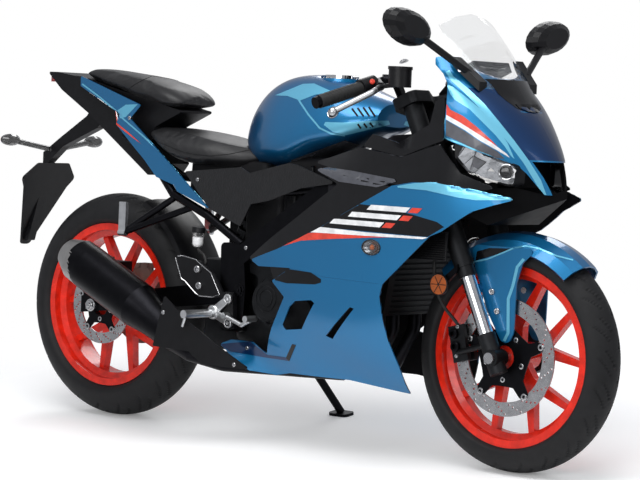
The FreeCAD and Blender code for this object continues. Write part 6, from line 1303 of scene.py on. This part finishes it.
LEVER_RUN = [Vector((1066, -236, 938)), Vector((1016, -332, 884))]
LEVER_REACH = 16
STOP_BUTTON = (372, 82)
BUTTON_PROFILE = [(7, -2), (7, 4), (5.5, 6), (1, 6.4)]
GRIP_INNER = (1006, 215, 946)
GRIP_OUTER = (976, 340, 907)
GRIP_RIBS = 9
RIB_START = 0.2
RIB_STEP = 0.075
RIB_PROFILE = [(16.6, -2.6), (17.6, -1.8), (17.6, 1.8), (16.6, 2.6)]
BAR_END_PROFILE = [(15, -3), (15, 5), (12, 8), (5, 8), (4, 6)]
FRONT_HOSE = [
    (1248, -74, 354), (1240, -84, 372), (1212, -100, 410), (1190, -108, 460), (1184, -108, 520),
    (1176, -98, 570), (1150, -84, 640), (1120, -84, 720),
]
FRONT_HOSE_RADIUS = 4.2
DIAL_GLASS = [
    (1192, -66), (1258, -66), (1262, -40), (1262, 40), (1258, 66), (1192, 66), (1188, 50), (1188, -50),
]
DIAL_SCREEN = [(1202, -52), (1250, -52), (1250, 30), (1202, 30)]
FORK_CAP_LOW = (1062, 97, 990)
FORK_CAP_HIGH = (1050, 97, 1018)


def near_lever(point):
    """Whether a place belongs to a hand lever."""
    point = Vector((point.x, -abs(point.y), point.z))
    along = LEVER_RUN[1] - LEVER_RUN[0]
    share = max(0.0, min(1.0, (point - LEVER_RUN[0]).dot(along) / along.length_squared))
    return (point - (LEVER_RUN[0] + along * share)).length < LEVER_REACH


def on_side(place, side):
    """A place of the left side, or its mirror image with side -1."""
    return Vector((place[0], side * place[1], place[2]))


def controls():
    """The bar controls' colours, buttons, dials and hose."""
    paint_faces("hand_controls", SILVER_CAST, near_lever)
    place, normal = cast(from_eye, STOP_BUTTON, ("hand_controls",))
    button = Shape()
    button.turned(place, normal, BUTTON_PROFILE, 16)
    button.make("stop_button", RED_FILM, "steering")
    ends, ribs, nuts = Shape(), Shape(), Shape()
    for side in (-1, 1):
        inner, outer = on_side(GRIP_INNER, side), on_side(GRIP_OUTER, side)
        along = (outer - inner).normalized()
        ends.turned(outer - along * 2, along, BAR_END_PROFILE, 24)
        for k in range(GRIP_RIBS):
            ribs.turned(inner.lerp(outer, RIB_START + RIB_STEP * k), along, RIB_PROFILE, 28, caps=False)
        high = on_side(FORK_CAP_HIGH, side)
        nuts.nut(high, high - on_side(FORK_CAP_LOW, side), 10, 5)
    ends.make("bar_ends", BLACK_METAL, "steering")
    ribs.make("grip_ribs", SOFT_RUBBER, "steering")
    hose = Shape()
    hose.tube(FRONT_HOSE, FRONT_HOSE_RADIUS)
    hose.make("front_brake_hose", SOFT_RUBBER, "steering")
    top = ("instrument",)
    film("dial_glass", DIAL_GLASS, from_top, top, BLACK_GLOSS, cell=30, mirror=False, lift=1.0)
    film("dial_screen", DIAL_SCREEN, from_top, top, GREY_GLOSS, cell=30, mirror=False, lift=1.6)
    nuts.make("fork_caps", STEEL, "steering")


tank()
controls()


# Fasteners, guards and small fittings

FENDER_RECESS = [
    (475.9, 258.6), (477, 251.4), (489.7, 248), (511, 248.6), (498.9, 253.8), (487.4, 257.4), (475.5, 260.6),
]
FENDER_LINE = [
    (474, 261.8), (487.4, 259.2), (503.5, 252.6), (512.7, 248.6), (525.3, 246), (539, 248.6), (556.3, 256),
    (573, 260.2),
]
FENDER_SIDE = [(524, 259), (517.4, 267), (513.0, 285.9), (508.4, 299), (508.2, 333), (504.2, 341)]
VENT_CHANNEL = [
    (219, 344), (250, 341.5), (267.6, 354.9), (286.2, 357.4), (292.6, 344), (296, 345), (289.4, 361),
    (267.6, 357.8), (230, 351.5),
]
VENT_DARK = [(286, 358), (292.2, 344), (296, 345), (289.4, 361)]
PANEL_BOLTS = [(246.5, 247.8), (198.2, 179.6), (130.2, 117.9), (369, 138.5)]
RIGHT_BOLTS = [(247.8, 348.2), (174.8, 356.5), (234.4, 364.7), (163.6, 312.4), (182.4, 307.4), (251, 317.5)]
FLANK_RECESS = [
    (259, 267.6), (268.8, 267.2), (291.8, 269.6), (310.9, 272.4), (321, 279.3), (321, 282.6), (315, 284.4),
    (286.7, 283.2), (275.2, 280.2),
]


def fender():
    """The front fender's recess, its edge lines as painted highlights, and bolts."""
    body = "steering"
    arch = ("front_fender",)
    film("fender_recess", FENDER_RECESS, from_eye, arch, BLACK_GLOSS, body)
    # The edge lines are painted highlights along the fender's edges.
    film("fender_highlight_line", band(FENDER_LINE, 1.5), from_eye, arch, HIGHLIGHT_CYAN, body, lift=0.9)
    film("fender_side_highlight", band(FENDER_SIDE, 3.0), from_eye, arch, HIGHLIGHT_CYAN, body, lift=0.7)
    bolts_on("fender_bolts", [(492.6, 291.7), (497.7, 311.2)], from_eye, arch, 8.0, STEEL, body)


PANEL_BOLT_NODES = (
    "side_cowls", "lower_cowls", "side_covers", "frame", "tail_cowl", "exhaust_cover", "upper_panels",
    "engine_covers", "flank_liners", "muffler", "tail_underside",
)
SLAT_COUNT = 13
SLAT_LOW = 526
SLAT_PITCH = 5.6
SLAT_SLANT = 2.0
SLAT_REAR = (1142, -168)
SLAT_FRONT = (1238, -142)
SLAT_RISE = Vector((0, 2.2, 3.2))
SLAT_BACK = [(1141, -164, 524), (1241, -137, 524), (1243, -137, 598), (1143, -164, 598)]


def flank():
    """The cowls' vents in painted shade, recess and bolts, and the slats beside the radiator."""
    cowls = ("side_cowls", "lower_cowls")
    # The vent channel and its deep end are painted shade: a darker blue and a black film over the cowl.
    film("vent_channel_shade", VENT_CHANNEL, from_eye, cowls, SHADE_NAVY)
    film("vent_deep_shade", VENT_DARK, from_eye, cowls, BLACK_GLOSS, lift=0.9)
    film("flank_recess", FLANK_RECESS, from_eye, cowls, BLACK_SATIN)
    bolts_on("panel_bolts", PANEL_BOLTS, from_eye, PANEL_BOLT_NODES, 5.5, STEEL)
    bolts_on("right_bolts", RIGHT_BOLTS, from_eye, PANEL_BOLT_NODES, 5.5, STEEL, mirror=False)
    panel = Shape()
    for k in range(SLAT_COUNT):
        low = SLAT_LOW + SLAT_PITCH * k
        slant = SLAT_SLANT * k / (SLAT_COUNT - 1)
        start = Vector((SLAT_REAR[0] + slant, SLAT_REAR[1], low))
        end = Vector((SLAT_FRONT[0] + slant, SLAT_FRONT[1], low))
        panel.slab([start, end, end + SLAT_RISE, start + SLAT_RISE], (0.8, 3.0, 0))
    panel.slab(SLAT_BACK, (0.4, 2.4, 0))
    panel.both_sides().make("radiator_side_ribs", BLACK_SATIN, "chassis")


CLUTCH = (678.0, 387.0)
CLUTCH_RINGS = (22, 34, 58)
CLUTCH_BOLT_REACH = 64
BRACKET_BOLTS = [(543, 375), (547, 311)]
GUARD_BOLTS = [(428, 446), (436, 402)]
PIVOT = (562, 399)
RESERVOIR = Vector((394, -125, 508))
RESERVOIR_AXIS = (0.05, 0, 1)
RESERVOIR_CUP = [(10, -6), (15, 0), (16, 4), (16, 34)]
RESERVOIR_FLUID = [(8, -4), (13.5, 1), (14.5, 5), (14.5, 22)]
RESERVOIR_LID = [(18, 0), (18, 12), (16, 15), (1, 15)]
LID_RISE = Vector((1.7, 0, 34))
REAR_HOSE = [
    (396, -125, 504), (404, -127, 492), (424, -132, 484), (436, -136, 464), (430, -140, 444), (446, -142, 420),
]
REAR_HOSE_RADIUS = 4.5


def foot_area():
    """The guards, bolts, rear brake reservoir and its hose round the footpegs."""
    plates = ("foot_controls", "foot_brackets")
    bolts_on("bracket_bolts", BRACKET_BOLTS, from_right, plates, 10.5, STEEL)
    bolts_on("guard_bolts", GUARD_BOLTS, from_right, plates, 10.0, STEEL)
    place, normal = cast(from_right, PIVOT, ("frame", "swingarm"))
    pivot = Shape()
    pivot.nut(place, normal, 14, 8)
    pivot.both_sides().make("pivot_nuts", BLACK_METAL, "chassis")
    cover = ("engine_covers",)
    rings = Shape()
    for radius in CLUTCH_RINGS:
        ring = circle(CLUTCH[0], CLUTCH[1], radius, 40)
        run = run_on(ring + ring[:1], from_right, cover, 0.2)
        if len(run) > 8:
            rings.tube(run, 1.8, 6, smooth=1)
    rings.make("clutch_rings", DARK_CAST, "chassis")
    ring = circle(CLUTCH[0], CLUTCH[1], CLUTCH_BOLT_REACH, 7, 0.4)
    bolts_on("clutch_bolts", ring, from_right, cover, 4.6, BLACK_METAL, mirror=False)
    cup, level, lid, hose = Shape(), Shape(), Shape(), Shape()
    cup.turned(RESERVOIR, RESERVOIR_AXIS, RESERVOIR_CUP, 24)
    cup.make("rear_reservoir", CLEAR_LENS, "chassis")
    level.turned(RESERVOIR, RESERVOIR_AXIS, RESERVOIR_FLUID, 24)
    level.make("rear_reservoir_fluid", WHITE_FILM, "chassis")
    lid.turned(RESERVOIR + LID_RISE, RESERVOIR_AXIS, RESERVOIR_LID, 24)
    lid.make("rear_reservoir_lid", BLACK_SATIN, "chassis")
    hose.tube(REAR_HOSE, REAR_HOSE_RADIUS)
    hose.make("rear_brake_hose", SOFT_RUBBER, "chassis")


AXLE_END_Y = 121
AXLE_END_PROFILE = [(14, -4), (14, 1.5), (12.5, 2.5), (8.5, 2.5), (7.5, -1)]
AXLE_NUT_SINK = 1.5


def axle_ends():
    """Nuts and collars at the axles' ends."""
    front, rear = Shape(), Shape()
    for side in (-1, 1):
        end = (WHEELBASE, side * AXLE_END_Y, FRONT_RADIUS)
        front.turned(end, (0, side, 0), AXLE_END_PROFILE, 28)
        start = Vector((0, -side * VIEW_RIGHT_Y, REAR_RADIUS))
        place = surface("rear_axle", "swingarm").ray_cast(start, Vector((0, -side, 0)))[0]
        rear.nut(place - Vector((0, side * AXLE_NUT_SINK, 0)), (0, side, 0), 14, 9)
    front.make("front_axle_ends", STEEL, "steering")
    rear.make("rear_axle_nuts", STEEL, "chassis")


GUARD_EDGE = [
    (173.4, 256), (182.7, 256), (196, 260), (211, 273), (219.7, 294.6), (212.7, 297), (196, 295.6),
    (182, 279), (174.4, 271), (172.4, 262), (173.4, 256),
]
PLATE_PLACE = (530, 345)
PLATE_FRONT_X = 340
PLATE_DEPTH = 12
ARM_ROOT = (494, 336)
ARM_ROOT_HALF = 13
ARM_END_HALF = 9
ARM_THICKNESS = 6
ARM_BOSS = [(13.5, 0), (13.5, 7), (12, 8.5), (9, 8.5), (9, 5)]
ROOT_BOSS = [(19, 0), (19, 8), (16, 11), (12, 12)]


def bracket_arms():
    """The bright cast arms that carry the right footpeg, and the left one's mirror image."""
    plates = ("foot_brackets", "foot_controls")
    face = cast(from_right, PLATE_PLACE, plates)[0].y
    inner = abs(face) - PLATE_DEPTH
    paint_faces("foot_brackets", BLACK_SATIN, lambda p: abs(p.y) > inner and p.x > PLATE_FRONT_X)
    arms = Shape()
    root = Vector((ARM_ROOT[0], face - 3, ARM_ROOT[1]))
    for x, z in BRACKET_BOLTS:
        end = Vector((x, face - 1, z))
        wide = Vector((-(end.z - root.z), 0, end.x - root.x)).normalized()
        outline = [root + wide * ARM_ROOT_HALF, end + wide * ARM_END_HALF]
        outline += [end - wide * ARM_END_HALF, root - wide * ARM_ROOT_HALF]
        arms.slab(outline, (0, -ARM_THICKNESS, 0))
        arms.turned(end, (0, -1, 0), ARM_BOSS, 28)
    arms.turned(root, (0, -1, 0), ROOT_BOSS, 28)
    arms.both_sides().make("bracket_arms", SILVER_CAST, "chassis", bevel=1.2)
    run = run_on([tuple(p) for p in dense(GUARD_EDGE, 8)], from_eye, plates, 0.6)
    edge = Shape()
    edge.tube(run, 1.8, 6, smooth=1)
    edge.both_sides().make("guard_edges", STEEL, "chassis")


BOX_RIMS = ((0.0, 6.0), (0.03, 1.5), (0.10, 0.0), (0.90, 0.0), (0.97, 1.5), (1.0, 6.0))


def rounded_box(shape, low, high, corner, taper):
    """A box with rounded upright edges and softened top and bottom rims."""
    loops = []
    for share, inset in BOX_RIMS:
        z = low[2] + (high[2] - low[2]) * share
        inset += taper * share
        loop = []
        for sx, sy, start in ((1, 1, 0), (-1, 1, 90), (-1, -1, 180), (1, -1, 270)):
            x = (high[0] - inset - corner) if sx > 0 else (low[0] + inset + corner)
            y = (high[1] - inset - corner) if sy > 0 else (low[1] + inset + corner)
            for k in range(5):
                angle = math.radians(start + 22.5 * k)
                loop.append((x + corner * math.cos(angle), y + corner * math.sin(angle), z))
        loops.append(loop)
    shape.rings(loops)


AIRBOX = [((640, -88, 560), (1000, 88, 762), 30, 8)]
AIRBOX += [((690 + 56 * k, -92, 590), (704 + 56 * k, 92, 740), 6, 0) for k in range(5)]
BATTERY_TRAY = [
    ((300, -76, 628), (590, 76, 742), 22, 4),
    ((508, -72, 470), (640, 72, 660), 16, 2),
    ((352, 42, 440), (500, 74, 680), 12, 2),
]
CRANKCASE_REAR = [((505, -96, 262), (652, 96, 470), 26, 6), ((560, -84, 205), (700, 84, 300), 24, 0)]
CRANKCASE_REAR += [((500, -70 + 40 * k, 280), (512, -62 + 40 * k, 450), 3, 0) for k in range(4)]
CRANKCASE_REAR += [((352, -56, 226), (540, 56, 342), 22, 6), ((345, -60, 392), (520, 60, 470), 22, 4)]
NOSE_DUCT = [((1290, -66, 694), (1338, 66, 752), 14, 4)]
HUGGER_SECTION = [
    (318, -79), (331, -76), (337, -62), (340, -30), (340, 30), (337, 62), (331, 76), (318, 79), (317, 77),
    (328, 74), (334, 60), (337, 30), (337, -30), (334, -60), (328, -74), (317, -77),
]
HUGGER_START = 16
HUGGER_SWEEP = 48
HUGGER_STEPS = 24


def box_piece(name, boxes, material):
    """One piece from several rounded boxes."""
    shape = Shape()
    for box in boxes:
        rounded_box(shape, *box)
    shape.make(name, material, "chassis")


def inner_works():
    """What fills the machine's middle: airbox, tray below the seat, crankcase's rear, hugger and duct."""
    box_piece("airbox", AIRBOX, BLACK_SATIN)
    box_piece("battery_tray", BATTERY_TRAY, BLACK_MATT)
    box_piece("crankcase_rear", CRANKCASE_REAR, DARK_CAST)
    hugger = Shape()
    loops = []
    for i in range(HUGGER_STEPS + 1):
        angle = math.radians(HUGGER_START + HUGGER_SWEEP * i / HUGGER_STEPS)
        rise, reach_x = math.sin(angle), math.cos(angle)
        loops.append([(reach * reach_x, y, REAR_RADIUS + reach * rise) for reach, y in HUGGER_SECTION])
    hugger.rings(loops)
    hugger.make("rear_hugger", BLACK_SATIN, "chassis")
    box_piece("nose_duct", NOSE_DUCT, BLACK_MATT)


CALIPER_CAPS = [(1236, 340), (1243, 308)]
CALIPER_BOLTS = [(1246, 358), (1246, 284)]
REFLECTOR_PLACE = (1222, 464)
REFLECTOR_RADIUS = 27
REFLECTOR_DEPTH = 3.0
REFLECTOR_RIM = [(26.2, 0), (27.6, 0), (27.6, 6.5), (26.2, 7.4), (25, 6.4)]
RIM_SINK = 6
SPOKE_REACH = 23
SPOKE_LIFT = Vector((0, 0.2, 0))


def caliper_details():
    """The front caliper's caps and bolts, and the fork reflectors' rims and ribs."""
    body = "steering"
    caliper = ("front_caliper",)
    bolts_on("caliper_caps", CALIPER_CAPS, from_right, caliper, 13.0, BLACK_METAL, body, mirror=False)
    bolts_on("caliper_bolts", CALIPER_BOLTS, from_right, caliper, 5.0, STEEL, body, mirror=False)
    centre = Vector((REFLECTOR_PLACE[0], 0, REFLECTOR_PLACE[1]))
    place, _ = cast(from_right, REFLECTOR_PLACE, ("reflectors",))
    edge = abs(place.y) - REFLECTOR_DEPTH

    def housing(p):
        return abs(p.y) < edge or (Vector((p.x, 0, p.z)) - centre).length > REFLECTOR_RADIUS

    paint_faces("reflectors", BLACK_METAL, housing)
    rims = Shape()
    rims.turned(centre + Vector((0, place.y + RIM_SINK, 0)), (0, -1, 0), REFLECTOR_RIM, 36, caps=False)
    for k in range(3):
        angle = math.pi * k / 3
        reach = Vector((math.cos(angle), 0, math.sin(angle))) * SPOKE_REACH
        rims.tube([place + reach - SPOKE_LIFT, place - reach - SPOKE_LIFT], 0.9, 6, smooth=1)
    rims.both_sides().make("reflector_rims", BLACK_SATIN, body)


LAMP_HALF = 90
LAMP_LOW_Z = 860
MUFFLER_END_X = 46


def rear_faces():
    """The tail lamp's red lens and the muffler's bright end."""
    paint_faces("rear_lamps", RED_LENS, lambda p: p.z > LAMP_LOW_Z and abs(p.y) < LAMP_HALF)
    paint_faces("muffler", BRUSHED, lambda p: p.x < MUFFLER_END_X)


fender()
flank()
foot_area()
axle_ends()
bracket_arms()
inner_works()
caliper_details()
rear_faces()


# The studio


LIGHTS = [
    ("key_top", (0.6, -1.0, 3.4), (0, 0, 0.5), (3.2, 1.6), 80),
    ("side_right", (1.2, -3.6, 1.9), (0.1, 0, 0.6), (2.6, 1.2), 40),
    ("front", (3.6, -0.6, 1.7), (0.5, 0, 0.6), (1.4, 1.2), 8),
    ("back_left", (-1.4, 3.2, 2.6), (0, 0, 0.6), (2.4, 1.2), 40),
]
WORLD_STRENGTH = 0.45
FLOOR_HALF = 8
FLOOR_GLOW = 0.16
FADE_START = 1.2
FADE_END = 2.0


def light_panel(name, place, aim, size, power):
    """A rectangular lamp that looks at a place."""
    lamp = bpy.data.lights.new(name, "AREA")
    lamp.shape = "RECTANGLE"
    lamp.size, lamp.size_y = size
    lamp.energy = power
    thing = bpy.data.objects.new(name, lamp)
    thing.location = place
    thing.rotation_euler = (Vector(aim) - Vector(place)).to_track_quat("-Z", "Y").to_euler()
    bpy.context.scene.collection.objects.link(thing)


def studio():
    """A white world, a pale floor that fades into it, and the lights."""
    world = bpy.data.worlds.new("studio")
    bpy.context.scene.world = world
    world.use_nodes = True
    nodes, links = world.node_tree.nodes, world.node_tree.links
    back = nodes["Background"]
    back.inputs["Color"].default_value = (0.93, 0.95, 1.0, 1)
    back.inputs["Strength"].default_value = WORLD_STRENGTH
    white = nodes.new("ShaderNodeBackground")
    white.inputs["Color"].default_value = (1, 1, 1, 1)
    white.inputs["Strength"].default_value = 1.0
    path = nodes.new("ShaderNodeLightPath")
    either = nodes.new("ShaderNodeMath")
    either.operation = "MAXIMUM"
    links.new(path.outputs["Is Camera Ray"], either.inputs[0])
    links.new(path.outputs["Is Transmission Ray"], either.inputs[1])
    mix = nodes.new("ShaderNodeMixShader")
    links.new(either.outputs[0], mix.inputs[0])
    links.new(back.outputs[0], mix.inputs[1])
    links.new(white.outputs[0], mix.inputs[2])
    links.new(mix.outputs[0], nodes["World Output"].inputs["Surface"])

    mesh = bpy.data.meshes.new("floor")
    corners = [(x * FLOOR_HALF, y * FLOOR_HALF, 0) for x, y in ((-1, -1), (1, -1), (1, 1), (-1, 1))]
    mesh.from_pydata(corners, [], [(0, 1, 2, 3)])
    floor = bpy.data.objects.new("floor", mesh)
    bpy.context.scene.collection.objects.link(floor)
    mat = bpy.data.materials.new("floor_white")
    mat.use_nodes = True
    nodes, links = mat.node_tree.nodes, mat.node_tree.links
    bsdf = nodes["Principled BSDF"]
    bsdf.inputs["Base Color"].default_value = (0.96, 0.96, 0.96, 1)
    bsdf.inputs["Roughness"].default_value = 0.9
    bsdf.inputs["Specular IOR Level"].default_value = 0.1
    seen = nodes.new("ShaderNodeLightPath")
    lift = nodes.new("ShaderNodeMath")
    lift.operation = "MULTIPLY"
    lift.inputs[1].default_value = FLOOR_GLOW
    links.new(seen.outputs["Is Camera Ray"], lift.inputs[0])
    links.new(lift.outputs[0], bsdf.inputs["Emission Strength"])
    bsdf.inputs["Emission Color"].default_value = (1, 1, 1, 1)
    clear = nodes.new("ShaderNodeBsdfTransparent")
    coords = nodes.new("ShaderNodeTexCoord")
    length = nodes.new("ShaderNodeVectorMath")
    length.operation = "LENGTH"
    links.new(coords.outputs["Object"], length.inputs[0])
    fade = nodes.new("ShaderNodeMapRange")
    fade.inputs["From Min"].default_value = FADE_START
    fade.inputs["From Max"].default_value = FADE_END
    links.new(length.outputs["Value"], fade.inputs["Value"])
    mix = nodes.new("ShaderNodeMixShader")
    links.new(fade.outputs["Result"], mix.inputs[0])
    links.new(bsdf.outputs[0], mix.inputs[1])
    links.new(clear.outputs[0], mix.inputs[2])
    links.new(mix.outputs[0], nodes["Material Output"].inputs["Surface"])
    mesh.materials.append(mat)

    for light in LIGHTS:
        light_panel(*light)
    bpy.context.scene.view_settings.view_transform = "Standard"


def camera():
    """The photograph's camera, leaned over with the machine."""
    side, rise, back = eye_axes()
    turn = REST.to_3x3() * 1000
    lens_data = bpy.data.cameras.new("camera")
    lens_data.lens = LENS
    lens_data.sensor_width = SENSOR
    lens_data.clip_end = 100.0
    thing = bpy.data.objects.new("camera", lens_data)
    axes = [turn @ side, turn @ rise, turn @ back]
    matrix = Matrix((axes[0], axes[1], axes[2])).transposed().to_4x4()
    matrix.translation = REST @ EYE
    thing.matrix_world = matrix
    bpy.context.scene.collection.objects.link(thing)
    bpy.context.scene.camera = thing


studio()
camera()
